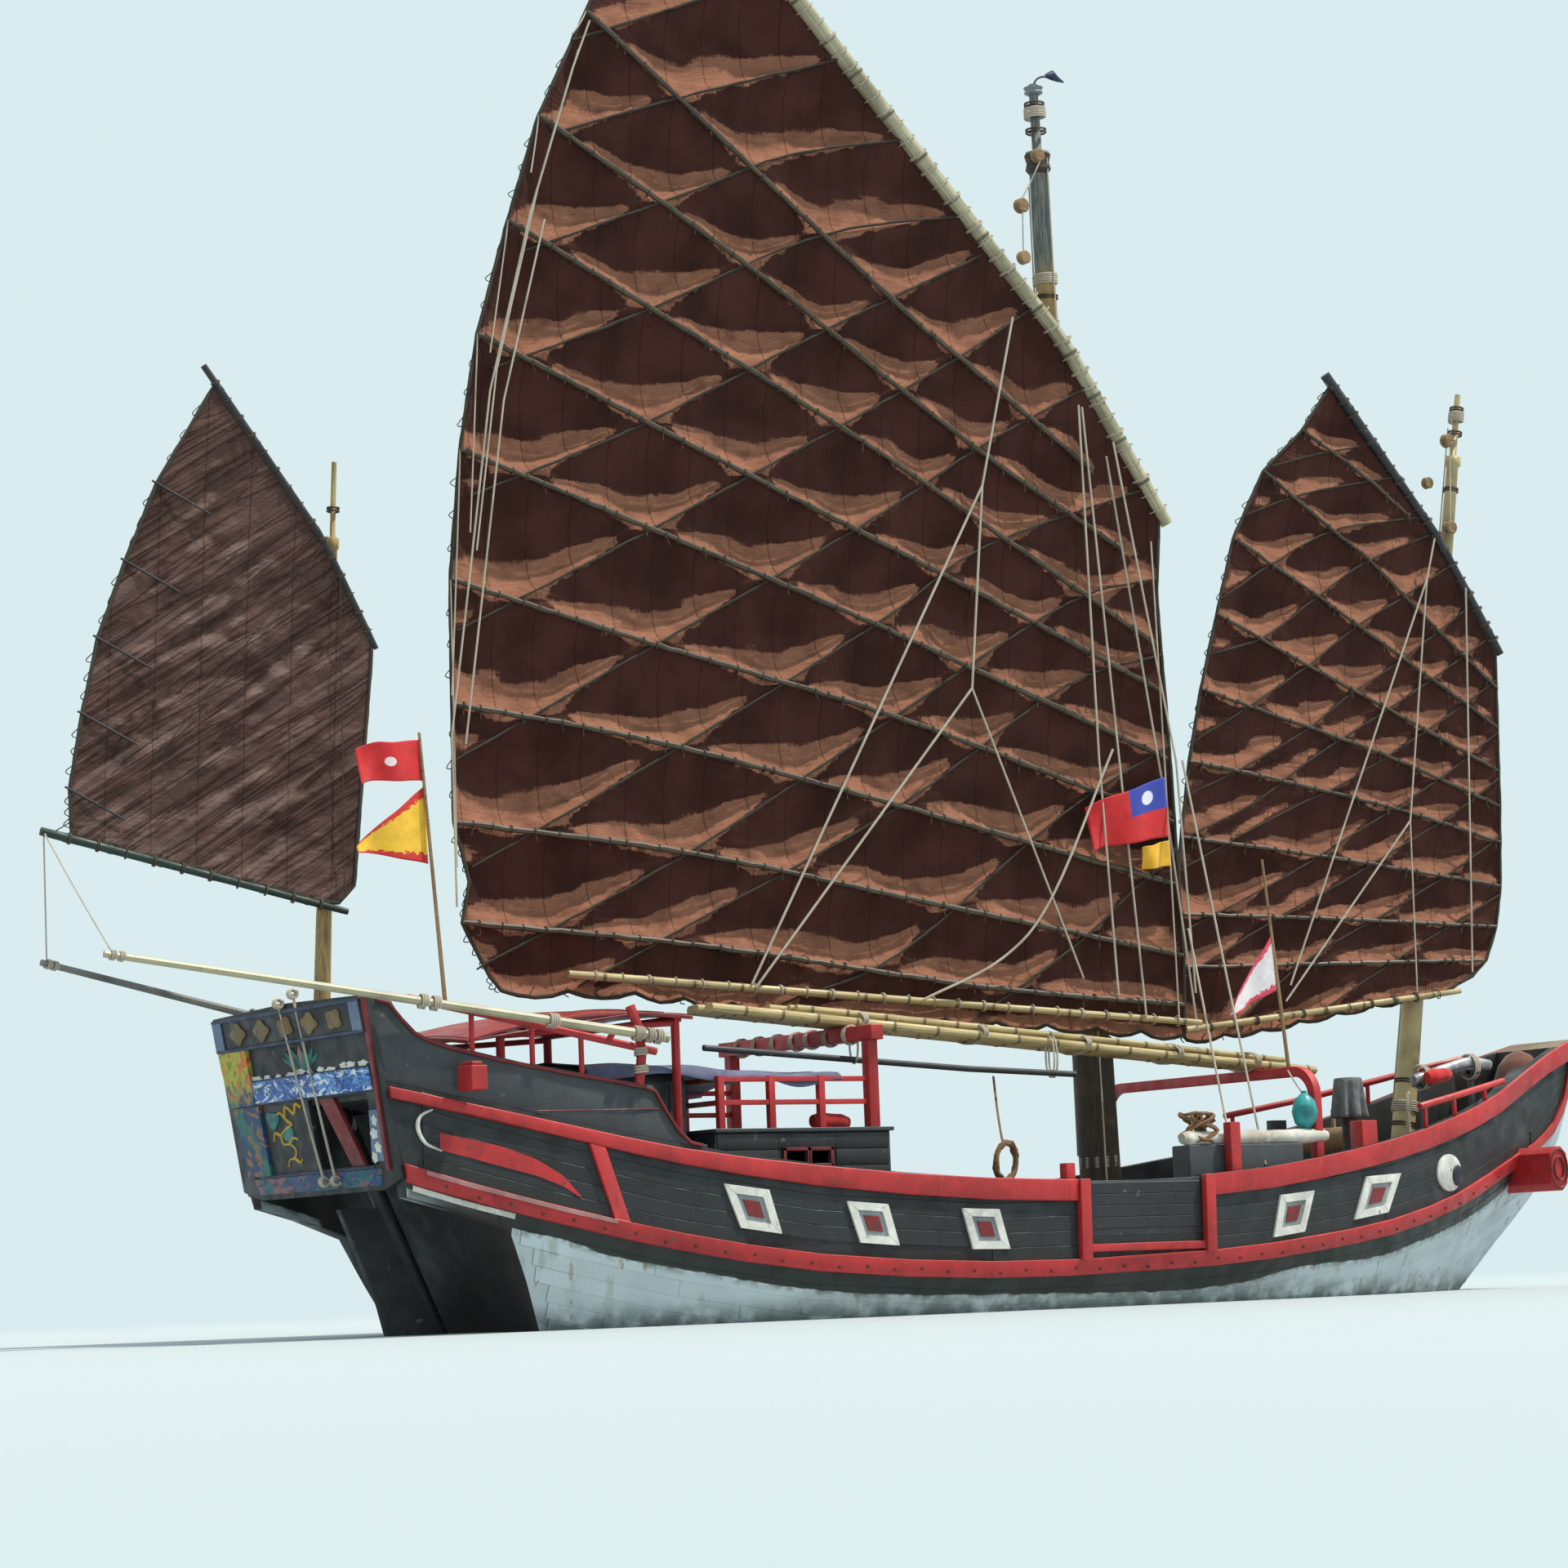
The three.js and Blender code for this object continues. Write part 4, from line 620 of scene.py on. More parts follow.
class Work:
    """Points and faces of many like parts that end as one mesh."""

    def __init__(self):
        self.points, self.faces, self.flats, self.values = [], [], [], []

    def add(self, points, faces, flats=None, value=0.0):
        base = len(self.points)
        self.points += [tuple(p) for p in points]
        self.faces += [tuple(base + i for i in face) for face in faces]
        self.flats += flats or [[(0.0, 0.0)] * len(face) for face in faces]
        self.values += list(value) if hasattr(value, "__len__") else [value] * len(points)

    def loft(self, rings, value=0.0, mirrored=False):
        """A closed body over rings of points; mirrored where they run the other way round."""
        faces = lofted(len(rings[0]), len(rings))
        if mirrored:
            faces = [(face[1], face[0], face[3], face[2]) if len(face) == 4 else face[::-1] for face in faces]
        self.add([p for ring in rings for p in ring], faces, None, value)

    def tube(self, path, radius, sides=6, value=0.0):
        """A closed round bar along a path. radius is one number or one for each point."""
        path = [Vector(p) for p in path]
        radii = list(radius) if hasattr(radius, "__len__") else [radius] * len(path)
        rings, flats, faces, run = [], [], [], 0.0
        across = None
        runs = []
        for i, p in enumerate(path):
            way = (path[min(i + 1, len(path) - 1)] - path[max(i - 1, 0)]).normalized()
            if across is None:
                across = way.orthogonal().normalized()
            across = (across - way * across.dot(way)).normalized()
            out = way.cross(across)
            run += (p - path[i - 1]).length if i else 0.0
            runs.append(run)
            for k in range(sides):
                angle = 2 * math.pi * k / sides
                rings.append(p + (across * math.cos(angle) + out * math.sin(angle)) * radii[i])
        for i in range(len(path) - 1):
            for k in range(sides):
                a, b = i * sides + k, i * sides + (k + 1) % sides
                faces.append((a, b, b + sides, a + sides))
                u0, u1 = k / sides, (k + 1) / sides
                flats.append([(u0, runs[i]), (u1, runs[i]), (u1, runs[i + 1]), (u0, runs[i + 1])])
        faces.append(tuple(reversed(range(sides))))
        faces.append(tuple(range(len(rings) - sides, len(rings))))
        flats += [[(0.0, 0.0)] * sides, [(0.0, run)] * sides]
        if hasattr(value, "__len__"):
            value = [v for v in value for _ in range(sides)]
        self.add(rings, faces, flats, value)

    def make(self, name, smooth=True, value_name="board"):
        piece = linked(name, self.points, [], self.faces)
        write_flat(piece.data, [uv for flat in self.flats for uv in flat])
        write_values(piece.data, value_name, self.values)
        piece.data.update()
        if smooth:
            bpy.ops.object.shade_smooth_by_angle(angle=math.radians(50))
        return piece

    def plates(self, name, material, slot=None, smooth=False):
        """The finished mesh of closed plates, fixed to the ship."""
        return settle(recalculated(self.make(name, smooth)), "ship", material)


def stretch(points, step):
    """Points about one step apart along a path of straight runs."""
    path = [Vector(p) for p in points]
    made = [path[0]]
    for a, b in zip(path, path[1:]):
        n = max(1, round((b - a).length / step))
        made += [a.lerp(b, (k + 1) / n) for k in range(n)]
    return made


def hanging(a, b, sag, n=14):
    """A slack line between two points, lowest in its middle."""
    a, b = Vector(a), Vector(b)
    return [a.lerp(b, k / n) - Vector((0, 0, 4 * sag * (k / n) * (1 - k / n))) for k in range(n + 1)]


def curved(points, per_run=6):
    """A smooth path through the points."""
    p = [Vector(q) for q in points]
    p = [p[0] * 2 - p[1], *p, p[-1] * 2 - p[-2]]
    made = []
    for before, here, after, beyond in zip(p, p[1:], p[2:], p[3:]):
        square = before * 2 - here * 5 + after * 4 - beyond
        cube = here * 3 - before - after * 3 + beyond
        for k in range(per_run):
            t = k / per_run
            made.append((here * 2 + (after - before) * t + square * t**2 + cube * t**3) / 2)
    return made + [p[-2]]


def loops(work, centre, way, radius, rope, turns=3, pitch=1.1):
    """A lashing of several turns round a bar through centre along way."""
    way = Vector(way).normalized()
    side, up = square_to(way)
    path = []
    steps = 12
    for k in range(steps * turns + 1):
        angle = 2 * math.pi * k / steps
        lift = way * (rope * 2 * pitch * (k / steps - turns / 2))
        path.append(Vector(centre) + lift + (side * math.cos(angle) + up * math.sin(angle)) * (radius + rope))
    work.tube(path, rope, 5)


def dress(node, material, slot=None, edge=0.006):
    """A CAD node with softened edges and smooth rounds, in its finish."""
    piece = bpy.data.objects.new(node + "_made", frame["nodes"][node].data.copy())
    bpy.context.scene.collection.objects.link(piece)
    merged = ("remove_doubles", {"threshold": MERGE})
    edited(piece, merged, ("dissolve_limited", {"angle_limit": math.radians(1.5)}))
    if edge:
        finished(piece, "edges", "BEVEL", width=edge, segments=2, limit_method="ANGLE",
                 angle_limit=math.radians(38), use_clamp_overlap=True)
    bpy.ops.object.shade_smooth_by_angle(angle=math.radians(42))
    return settle(piece, BODY_OF[node], material, (node,))


def dress_all(*rows):
    for row in rows:
        dress(*row)


def rig_place(rig):
    """Where a rig's own s, off and h axes lie at rest."""
    foot, rake = MASTS[rig]["foot"], MASTS[rig]["rake"]
    return (
        Matrix.Translation(foot)
        @ Matrix.Rotation(math.radians(rake), 4, "Y")
        @ Matrix.Rotation(math.radians(SWING), 4, "Z")
    )


# Measures that repeat those of the CAD source, in metres

SWING = -8.0  # degrees that the sails are sheeted to port
MASTS = {
    "main": {"foot": (1.66, 0.0, 0.72), "rake": -1.1, "off": -0.38},
    "fore": {"foot": (5.96, 0.0, 1.3), "rake": 9.8, "off": -0.3},
    "mizzen": {"foot": (-7.56, 0.48, 2.293), "rake": 3.0, "off": -0.22},
}
LOWER_WALE_LINE = (
    (-8.2, 1.64), (-7.2, 1.335), (-6.2, 1.065), (-5.0, 0.79), (-3.5, 0.55), (-1.5, 0.42), (0.5, 0.43),
    (2.2, 0.51), (4.2, 0.725), (5.5, 0.995), (6.5, 1.285), (7.2, 1.5), (7.7, 1.7), (8.05, 1.99), (8.3, 2.56),
)
TRANSOM_FACE = {"x": -7.85, "z": 1.55, "rake": 0.184}
GANGWAY = (-0.41, 1.38)
HALF_WALE = 0.06

# Upper edge of the pale bottom along the side: x, z
BOTTOM_EDGE = (
    (-8.3, 1.5), (-7.21, 1.204), (-6.81, 1.004), (-6.16, 0.842), (-5.66, 0.674), (-4.98, 0.539),
    (-3.56, 0.295), (-2.63, 0.212), (-1.16, 0.169), (1.51, 0.161), (2.73, 0.327), (4.07, 0.414),
    (4.68, 0.528), (5.34, 0.663), (6.05, 0.839), (6.46, 0.948), (6.87, 1.114), (8.3, 2.4),
)
EDGE_SCALE = 2.5
CLOTH_WIDTH = 0.46  # a sail's cloths, seam to seam

# Sails: outline, the thick battens and the thin sewn ropes that cross them, as s forward and h up in metres
SAILS = {
    "main": {
        "foot": (12, 17, 0.62, 0.07),
        "edge": (
            (-4.5, 15.14), (-5.57, 13.13), (-6.17, 11.96), (-6.57, 10.82), (-6.97, 9.6), (-7.22, 8.38),
            (-7.39, 7.03), (-7.43, 5.75), (-7.47, 4.54), (-7.33, 3.94), (-7.43, 3.52), (-7.16, 2.97),
            (-7.04, 2.83), (-5.57, 2.77), (-4.46, 2.63), (-2.61, 2.45), (-0.15, 2.26), (0.95, 2.16),
            (1.0, 3.0), (0.99, 5.2), (0.95, 7.0), (1.04, 7.86), (-0.04, 9.78),
        ),
        "battens": (
            ((-5.57, 13.13), (-2.2, 10.24), (-1.44, 9.65), (0.2, 8.4)),
            ((-6.17, 11.96), (-3.85, 10.48), (-1.4, 8.71), (0.55, 7.5)),
            ((-6.57, 10.82), (-4.99, 9.95), (-2.31, 8.45), (0.9, 6.45)),
            ((-6.97, 9.6), (-3.88, 8.17), (-1.75, 7.21), (0.9, 5.95)),
            ((-7.22, 8.38), (-5.14, 7.61), (-2.53, 6.62), (0.93, 5.2)),
            ((-7.39, 7.03), (-5.21, 6.4), (-2.25, 5.6), (0.95, 4.5)),
            ((-7.43, 5.75), (-5.22, 5.37), (-2.88, 4.81), (0.96, 3.8)),
            ((-7.47, 4.54), (-4.91, 4.21), (-2.47, 3.72), (0.97, 3.02)),
            ((-7.43, 3.52), (-4.74, 3.23), (-1.55, 2.74), (0.96, 2.48)),
        ),
        "ropes": (
            ((-5.2, 13.75), (-3.9, 14.1)),
            ((-5.75, 12.8), (-3.3, 13.72)),
            ((-6.1, 11.75), (-4.6, 12.25), (-2.55, 12.85)),
            ((-6.42, 10.5), (-4.6, 11.2), (-3.3, 11.72), (-1.8, 12.0)),
            ((-6.83, 9.24), (-5.02, 9.95), (-3.0, 10.85), (-1.1, 11.2)),
            ((-7.14, 7.9), (-5.22, 8.69), (-2.96, 9.83), (-1.0, 10.75)),
            ((-7.34, 6.5), (-5.29, 7.52), (-2.93, 8.74), (-1.34, 9.61), (-0.4, 10.2)),
            ((-7.42, 5.18), (-5.21, 6.35), (-2.71, 7.68), (-1.15, 8.62), (0.25, 9.35)),
            ((-7.3, 4.08), (-4.99, 5.28), (-2.52, 6.66), (-1.23, 7.49), (0.85, 8.2)),
            ((-7.3, 3.05), (-4.96, 4.17), (-2.85, 5.38), (-0.26, 6.88), (0.94, 7.2)),
            ((-6.2, 2.85), (-4.77, 3.53), (-2.41, 4.68), (-0.32, 5.98), (0.96, 6.35)),
            ((-3.9, 2.62), (-2.51, 3.11), (-0.42, 4.59), (0.98, 5.35)),
            ((-1.6, 2.42), (-0.3, 3.2), (0.97, 4.2)),
        ),
    },
    "fore": {
        "foot": (10, 13, 0.5, 0.05),
        "edge": (
            (-1.95, 9.0), (-2.29, 8.36), (-2.76, 7.76), (-3.08, 6.89), (-3.21, 5.96), (-3.33, 5.06),
            (-3.4, 4.2), (-3.42, 3.32), (-3.38, 2.2), (-3.26, 1.17), (-3.12, 1.06), (-2.17, 1.34),
            (-0.24, 2.03), (0.31, 2.22), (0.59, 2.42), (0.77, 2.64), (0.87, 3.05), (0.89, 3.53),
            (0.8, 4.51), (0.69, 5.44), (0.59, 6.3), (-0.36, 7.47),
        ),
        "battens": (
            ((-2.29, 8.36), (-1.4, 8.0), (-0.75, 7.65)),
            ((-2.76, 7.76), (-1.78, 7.27), (-1.19, 6.98), (-0.34, 6.44), (0.64, 5.85)),
            ((-3.08, 6.89), (-1.92, 6.45), (-0.88, 6.03), (0.67, 5.4)),
            ((-3.21, 5.96), (-1.96, 5.61), (-0.82, 5.31), (0.73, 4.88)),
            ((-3.33, 5.06), (-2.23, 4.93), (-0.77, 4.76), (0.78, 4.46)),
            ((-3.4, 4.2), (-2.38, 4.21), (-0.5, 4.16), (0.84, 4.04)),
            ((-3.42, 3.32), (-1.54, 3.44), (0.88, 3.53)),
            ((-3.38, 2.45), (-1.26, 2.76), (0.86, 3.04)),
            ((-3.32, 1.85), (-1.65, 2.17), (0.72, 2.62)),
        ),
        "ropes": (
            ((-2.66, 7.85), (-2.08, 8.12), (-1.5, 8.35)),
            ((-2.95, 7.2), (-2.25, 7.59), (-1.6, 7.86), (-1.02, 8.08)),
            ((-3.17, 6.15), (-2.56, 6.69), (-1.8, 7.25), (-1.12, 7.51), (-0.6, 7.68)),
            ((-3.26, 5.48), (-2.58, 5.82), (-1.92, 6.43), (-1.28, 7.0), (-0.45, 7.5)),
            ((-3.36, 4.45), (-2.67, 5.0), (-1.96, 5.61), (-1.34, 6.21), (-0.8, 6.64), (-0.15, 7.18)),
            ((-3.41, 3.8), (-2.71, 4.26), (-1.89, 4.88), (-1.33, 5.42), (-0.73, 5.91), (0.18, 6.76)),
            ((-3.42, 3.3), (-2.56, 3.86), (-1.76, 4.58), (-0.61, 5.5), (0.45, 6.42)),
            ((-3.4, 2.95), (-2.23, 3.78), (-1.29, 4.39), (-0.13, 5.3), (0.62, 5.95)),
            ((-3.37, 2.22), (-2.16, 3.03), (-1.24, 3.72), (-0.08, 4.62), (0.69, 5.34)),
            ((-3.28, 1.72), (-2.12, 2.61), (-1.19, 3.25), (0.18, 4.28), (0.76, 4.8)),
            ((-2.6, 1.28), (-1.65, 2.22), (-0.61, 2.97), (0.24, 3.61), (0.83, 4.12)),
            ((-1.5, 1.6), (-0.5, 2.4), (0.87, 3.42)),
        ),
    },
    "mizzen": {
        "foot": (6, 8, 0.45, 0.03),
        "edge": (
            (-1.34, 6.98), (-1.89, 5.95), (-2.18, 5.15), (-2.43, 4.37), (-2.56, 3.62), (-2.66, 2.88),
            (-2.63, 2.46), (-1.35, 2.2), (0.07, 1.94), (0.23, 2.12), (0.29, 3.21), (0.35, 4.24),
            (0.36, 4.54), (-0.17, 5.52),
        ),
        "battens": (),
        "ropes": (),
    },
}


# The hull's side


class Skin:
    """The outside of some CAD nodes, found from abeam."""

    def __init__(self, *nodes):
        points, faces = [], []
        for node in nodes:
            mesh = frame["nodes"][node].data
            base = len(points)
            points += [v.co.copy() for v in mesh.vertices]
            faces += [tuple(base + i for i in p.vertices) for p in mesh.polygons]
        self.tree = BVHTree.FromPolygons(points, faces)

    def at(self, x, z, side, out=0.0):
        """The point of the side at x and z, moved out by that much, or None where there is no side."""
        hit, normal, _, _ = self.tree.ray_cast(Vector((x, side * 6, z)), Vector((0, -side, 0)))
        if hit is None or hit.y * side < 0.12:
            return None
        if normal.y * side < 0:
            normal = -normal
        return hit + normal * out


def line_at(line, x):
    xs, zs = zip(*line)
    return float(np.interp(x, xs, zs))


PLANK_SECTION = ((0.0, -0.006), (0.0, 0.45), (0.05, 1.0), (0.95, 1.0), (1.0, 0.45), (1.0, -0.006))


def plank(work, skin, side, xs, top, bottom, proud, value):
    """One plank bent along the side, with eased edges; it ends where the side ends."""
    rings = []
    for x in xs:
        high, low = top(x), bottom(x)
        ring = [skin.at(x, high + (low - high) * share, side, out * proud if out > 0 else out)
                for share, out in PLANK_SECTION]
        if all(ring):
            rings.append(ring)
        elif len(rings) > 1:
            break
        else:
            rings = []
    if len(rings) > 1:
        work.loft(rings, value, side < 0)


def strakes(work, skin, side, x0, x1, lines, proud, seed, run=3.4):
    """Rows of planks between each pair of lines, with butts that never line up."""
    draw = random.Random(seed)
    for k in range(len(lines) - 1):
        top, bottom = lines[k], lines[k + 1]
        at = x0 - draw.uniform(0, run)
        while at < x1:
            end = at + run * draw.uniform(0.8, 1.2)
            a, b = max(at + 0.0015, x0), min(end - 0.0015, x1)
            if b - a > 0.1:
                xs = np.linspace(a, b, max(3, round((b - a) / 0.18)))
                plank(work, skin, side, xs, top, bottom, proud, draw.random())
            at = end


def slab(work, skin, side, corners, low, high, eased=0.006):
    """A flat board on the side with the given corners (x, z), from low to high above the planking."""
    middle = [sum(c[i] for c in corners) / len(corners) for i in (0, 1)]
    rings = []
    for out, inset in ((low, 0), (high - eased, 0), (high, eased)):
        ring = []
        for x, z in corners:
            share = 1 - inset / math.dist((x, z), middle)
            ring.append(skin.at(*between(middle, (x, z), share), side, out))
        rings.append(ring)
    work.loft(rings)


PORTS = (
    ((-4.55, 1.34), (-4.06, 1.27), (-3.93, 0.84), (-4.38, 0.91)),
    ((-3.19, 1.14), (-2.72, 1.10), (-2.60, 0.69), (-3.05, 0.73)),
    ((-1.85, 1.04), (-1.40, 1.02), (-1.28, 0.62), (-1.73, 0.63)),
    ((2.36, 1.09), (2.89, 1.13), (2.72, 0.70), (2.24, 0.65)),
    ((3.76, 1.27), (4.36, 1.30), (4.11, 0.88), (3.53, 0.81)),
)


def between(a, b, share):
    return tuple(p + (q - p) * share for p, q in zip(a, b))


def build_side(skin, name, side):
    """A side's planks, gangway planks, ports and eye."""
    sizes = bpy.context.scene.junk_sizes
    wide, proud = sizes.plank_width, sizes.plank_proud
    row = lambda lift: lambda x: line_at(LOWER_WALE_LINE, x) + lift
    work = Work()
    below = [row(-HALF_WALE - k * wide) for k in range(11)]
    above = [row(HALF_WALE + k * wide) for k in range(5, -1, -1)]
    strakes(work, skin, side, -7.6, 8.1, below, proud, 3 + side)
    strakes(work, skin, side, -7.6, GANGWAY[0], above, proud, 9 + side)
    strakes(work, skin, side, GANGWAY[1], 8.0, above, proud, 15 + side)
    work.plates("side_planks_" + name, "hull_paint", "hull_paint")
    work = Work()
    rows = [(lambda x, k=k: 1.262 - k * 0.118) for k in range(5)]
    boards = Skin("gangway_boards_starboard", "gangway_boards_port")
    strakes(work, boards, side, -0.262, 1.232, rows, 0.014, 31 + side, 5)
    work.plates("gangway_planks_" + name, "dark_paint", "dark_paint")
    frames, shade, hearts = Work(), Work(), Work()
    for corners in PORTS:
        middle = tuple(sum(c[i] for c in corners) / 4 for i in (0, 1))
        inner = [between(c, middle, 0.4) for c in corners]
        lip = [between(c, middle, 0.62) for c in corners]
        for k in range(4):
            j = (k + 1) % 4
            slab(frames, skin, side, (corners[k], corners[j], inner[j], inner[k]), 0.0, 0.034)
        # painted shade: a grey slab inside each frame stands for the shade of a recess
        slab(shade, skin, side, inner, 0.0, 0.016)
        slab(hearts, skin, side, lip, 0.0, 0.026)
    frames.plates("port_frames_" + name, "white_paint")
    shade.plates("port_panels_" + name, "grey_paint")
    hearts.plates("port_hearts_" + name, "dull_red", "red_paint")
    white, black = Work(), Work()
    round_board(white, skin, side, (5.315, 1.30), 0.245, 0.205, 0.03)
    round_board(black, skin, side, (5.44, 1.27), 0.105, 0.115, 0.055)
    white.plates("eye_white_" + name, "white_paint", smooth=True)
    black.plates("eye_pupil_" + name, "eye_black", smooth=True)


def build_hull():
    skin = Skin("hull", *(n for n in frame["nodes"] if n.startswith("side_planking")))
    for name, side in SIDES:
        build_side(skin, name, side)
    for node in frame["nodes"]:
        if node.startswith("side_planking"):
            dress(node, "hull_paint", "hull_paint", 0.004)
        elif "wale" in node:
            dress(node, "red_paint", "red_paint", 0.012)
        elif node.startswith("gangway"):
            dress(node, "slate_paint", "slate_paint", 0.004)
    hull = dress("hull", "hull_paint", "hull_paint", 0)
    hull.data.materials.append(finish("deck_wood"))
    for polygon in hull.data.polygons:
        if polygon.normal.z > 0.8 and polygon.center.z > 0.4:
            polygon.material_index = 1
    for name, side in SIDES:
        trim_wales(name, side)
        trim_quarter(skin, name, side)


def round_board(work, skin, side, centre, across, high, lift, dome=0.02, sides=28):
    """A round domed board on the side."""
    rings = []
    for share, out in (
        (1, 0.0), (1, lift), (0.92, lift + dome * 0.4), (0.6, lift + dome * 0.85), (0.25, lift + dome),
    ):
        ring = []
        for k in range(sides):
            angle = 2 * math.pi * k / sides
            x = centre[0] + across * share * math.cos(angle)
            z = centre[1] + high * share * math.sin(angle)
            ring.append(skin.at(x, z, side, out))
        rings.append(ring)
    work.loft(rings)


def trim_wales(name, side):
    """A pale strip along the top edge of the lower wale, and iron pins through it."""
    wales = Skin("lower_wale_" + name, "upper_wale_aft_" + name, "upper_wale_fore_" + name)
    strip, pins = Work(), Work()
    top = lambda x: line_at(LOWER_WALE_LINE, x) + 0.076
    low = lambda x: line_at(LOWER_WALE_LINE, x) + 0.034
    plank(strip, wales, side, np.linspace(-7.6, 6.95, 70), top, low, 0.012, 0.5)
    for k in range(46):
        x = -7.4 + k * 0.315
        spot = wales.at(x, line_at(LOWER_WALE_LINE, x) - 0.02 - 0.02 * (k % 2), side, 0.004)
        if spot is not None:
            pins.tube([spot - Vector((0, side * 0.02, 0)), spot + Vector((0, side * 0.008, 0))], 0.014, 8)
    strip.plates("wale_strip_" + name, "pink_paint")
    settle(pins.make("wale_pins_" + name), "ship", "iron")


def swelling(count):
    """Radii of a line that is thin at its ends."""
    return [0.008 + 0.014 * math.sin(math.pi * k / (count - 1)) for k in range(count)]


def trim_quarter(skin, name, side):
    """The pale chine band aft, the beam end on the quarter and what is painted beside it."""
    band = Work()
    top = lambda x: line_at(LOWER_WALE_LINE, x) - 0.085
    plank(band, skin, side, np.linspace(-7.7, -6.7, 14), top, lambda x: top(x) - 0.055, 0.018, 0.3)
    band.plates("chine_band_" + name, "white_paint")
    pennant = Work()
    path = ((-7.44, 1.8), (-7.2, 1.74), (-6.85, 1.65), (-6.5, 1.54), (-6.22, 1.4), (-6.05, 1.25))
    high = ((-7.44, 0.16), (-7.2, 0.17), (-6.85, 0.19), (-6.5, 0.16), (-6.22, 0.1), (-6.05, 0.02))
    rings = []
    for x in np.linspace(path[0][0], path[-1][0], 24):
        z, half = line_at(path, x), line_at(high, x) / 2
        rings.append([skin.at(x, z + up, side, out)
                      for up, out in ((half, 0.004), (half, 0.016), (-half, 0.016), (-half, 0.004))])
    pennant.loft(rings)
    pennant.plates("quarter_pennant_" + name, "red_paint", "red_paint", True)
    bend = curved([(-7.5, 2.1, 0), (-7.62, 2.04, 0), (-7.65, 1.93, 0), (-7.58, 1.79, 0), (-7.42, 1.71, 0)], 5)
    zigzag = ((-7.95, 2.16), (-7.86, 2.1), (-7.78, 2.15), (-7.7, 2.07), (-7.62, 2.1), (-7.56, 2.03))
    clip = ((-6.31, 2.04), (-6.3, 2.11), (-6.22, 2.12), (-6.12, 2.05), (-6.1, 2.0))
    for part, line, out, radius, sides, material in (
        ("curl", [p.xy for p in bend], 0.01, swelling(len(bend)), 6, "white_paint"),
        ("zigzag", zigzag, 0.008, 0.012, 6, "grey_paint"),
        ("clip", clip, 0.03, 0.018, 7, "brass"),
    ):
        spots = [skin.at(x, z, side, out) for x, z in line]
        if all(spots):
            mark = Work()
            mark.tube(spots, radius, sides)
            settle(mark.make("quarter_%s_%s" % (part, name)), "ship", material)
    block = Work()
    for x0, x1, z0, z1, out in ((-7.3, -7.13, 2.26, 2.49, 0.12), (-7.27, -7.16, 2.49, 2.53, 0.08)):
        points = [(x, side * y, z) for x in (x0, x1) for y in (1.83, 1.99 + out) for z in (z0, z1)]
        faces = [(0, 1, 3, 2), (4, 6, 7, 5), (0, 4, 5, 1), (2, 3, 7, 6), (0, 2, 6, 4), (1, 5, 7, 3)]
        block.add(points, faces)
    piece = recalculated(block.make("quarter_beam_end_" + name, smooth=False))
    finished(piece, "edges", "BEVEL", width=0.012, segments=2)
    settle(piece, "ship", "red_paint")


# Sails


def with_scallops(rig):
    """The sail's outline with the cloth of its foot hanging in shallow bows between its laces."""
    edge = [Vector(p) for p in SAILS[rig]["edge"]]
    first, last, run, depth = SAILS[rig]["foot"]
    made = edge[: first + 1]
    for a, b in zip(edge[first:last], edge[first + 1 : last + 1]):
        n = max(1, round((b - a).length / run))
        for k in range(n * 4):
            share = (k + 1) / (n * 4)
            made.append(a.lerp(b, share) - Vector((0, depth * abs(math.sin(math.pi * share * n)))))
    return [tuple(p) for p in made + edge[last + 1 :]]


def inside(outline, points):
    x, y = points[:, 0], points[:, 1]
    result = np.zeros(len(points), bool)
    for (x0, y0), (x1, y1) in zip(outline, np.roll(outline, -1, axis=0)):
        crosses = (y0 > y) != (y1 > y)
        at = x0 + (y - y0) * (x1 - x0) / (y1 - y0 + 1e-12)
        result ^= crosses & (x < at)
    return result


def distance_to(lines, points):
    """The distance of each point from the nearest of the straight runs."""
    best = np.full(len(points), 1e9)
    for line in lines:
        for a, b in zip(line, line[1:]):
            a, b = np.array(a, float), np.array(b, float)
            run = b - a
            share = np.clip(((points - a) @ run) / max(run @ run, 1e-12), 0, 1)
            best = np.minimum(best, np.linalg.norm(points - a - share[:, None] * run, axis=1))
    return best


HELD = 0.004  # a sail's points nearer than this to a line are held by it
FILM_ROUNDS = 500


def flat_line(points, step):
    return [(p.x, p.y) for p in stretch([(s, h, 0) for s, h in points], step)]


def sail_mesh(rig, step):
    """The flat sail as triangles whose edges run along the outline and every batten and rope."""
    spec = SAILS[rig]
    edge = with_scallops(rig)
    outline = np.array(edge)
    lines = [flat_line(line, step) for line in (*spec["battens"], *spec["ropes"])]
    border = flat_line([*edge, edge[0]], step)[:-1]
    points = [*border]
    edges = []
    for line in lines:
        base = len(points)
        points += line
        edges += [(base + i, base + i + 1) for i in range(len(line) - 1)]
    low, high = outline.min(0), outline.max(0)
    draw = np.random.default_rng(7)
    rows = np.arange(low[1], high[1], step * 0.866)
    columns = np.arange(low[0], high[0], step)
    grid = np.array([(s + (step / 2 if k % 2 else 0), h) for k, h in enumerate(rows) for s in columns])
    grid += draw.uniform(-0.18, 0.18, grid.shape) * step
    closed = [*map(tuple, outline), tuple(outline[0])]
    grid = grid[inside(outline, grid)]
    grid = grid[distance_to([closed, *lines], grid) > step * 0.45]
    points += [tuple(p) for p in grid]
    made = delaunay_2d_cdt([Vector(p) for p in points], edges, [tuple(range(len(border)))], 1, 1e-4)
    verts = np.array([tuple(v) for v in made[0]])
    held = distance_to([closed, *lines], verts) < HELD
    return verts, made[2], held


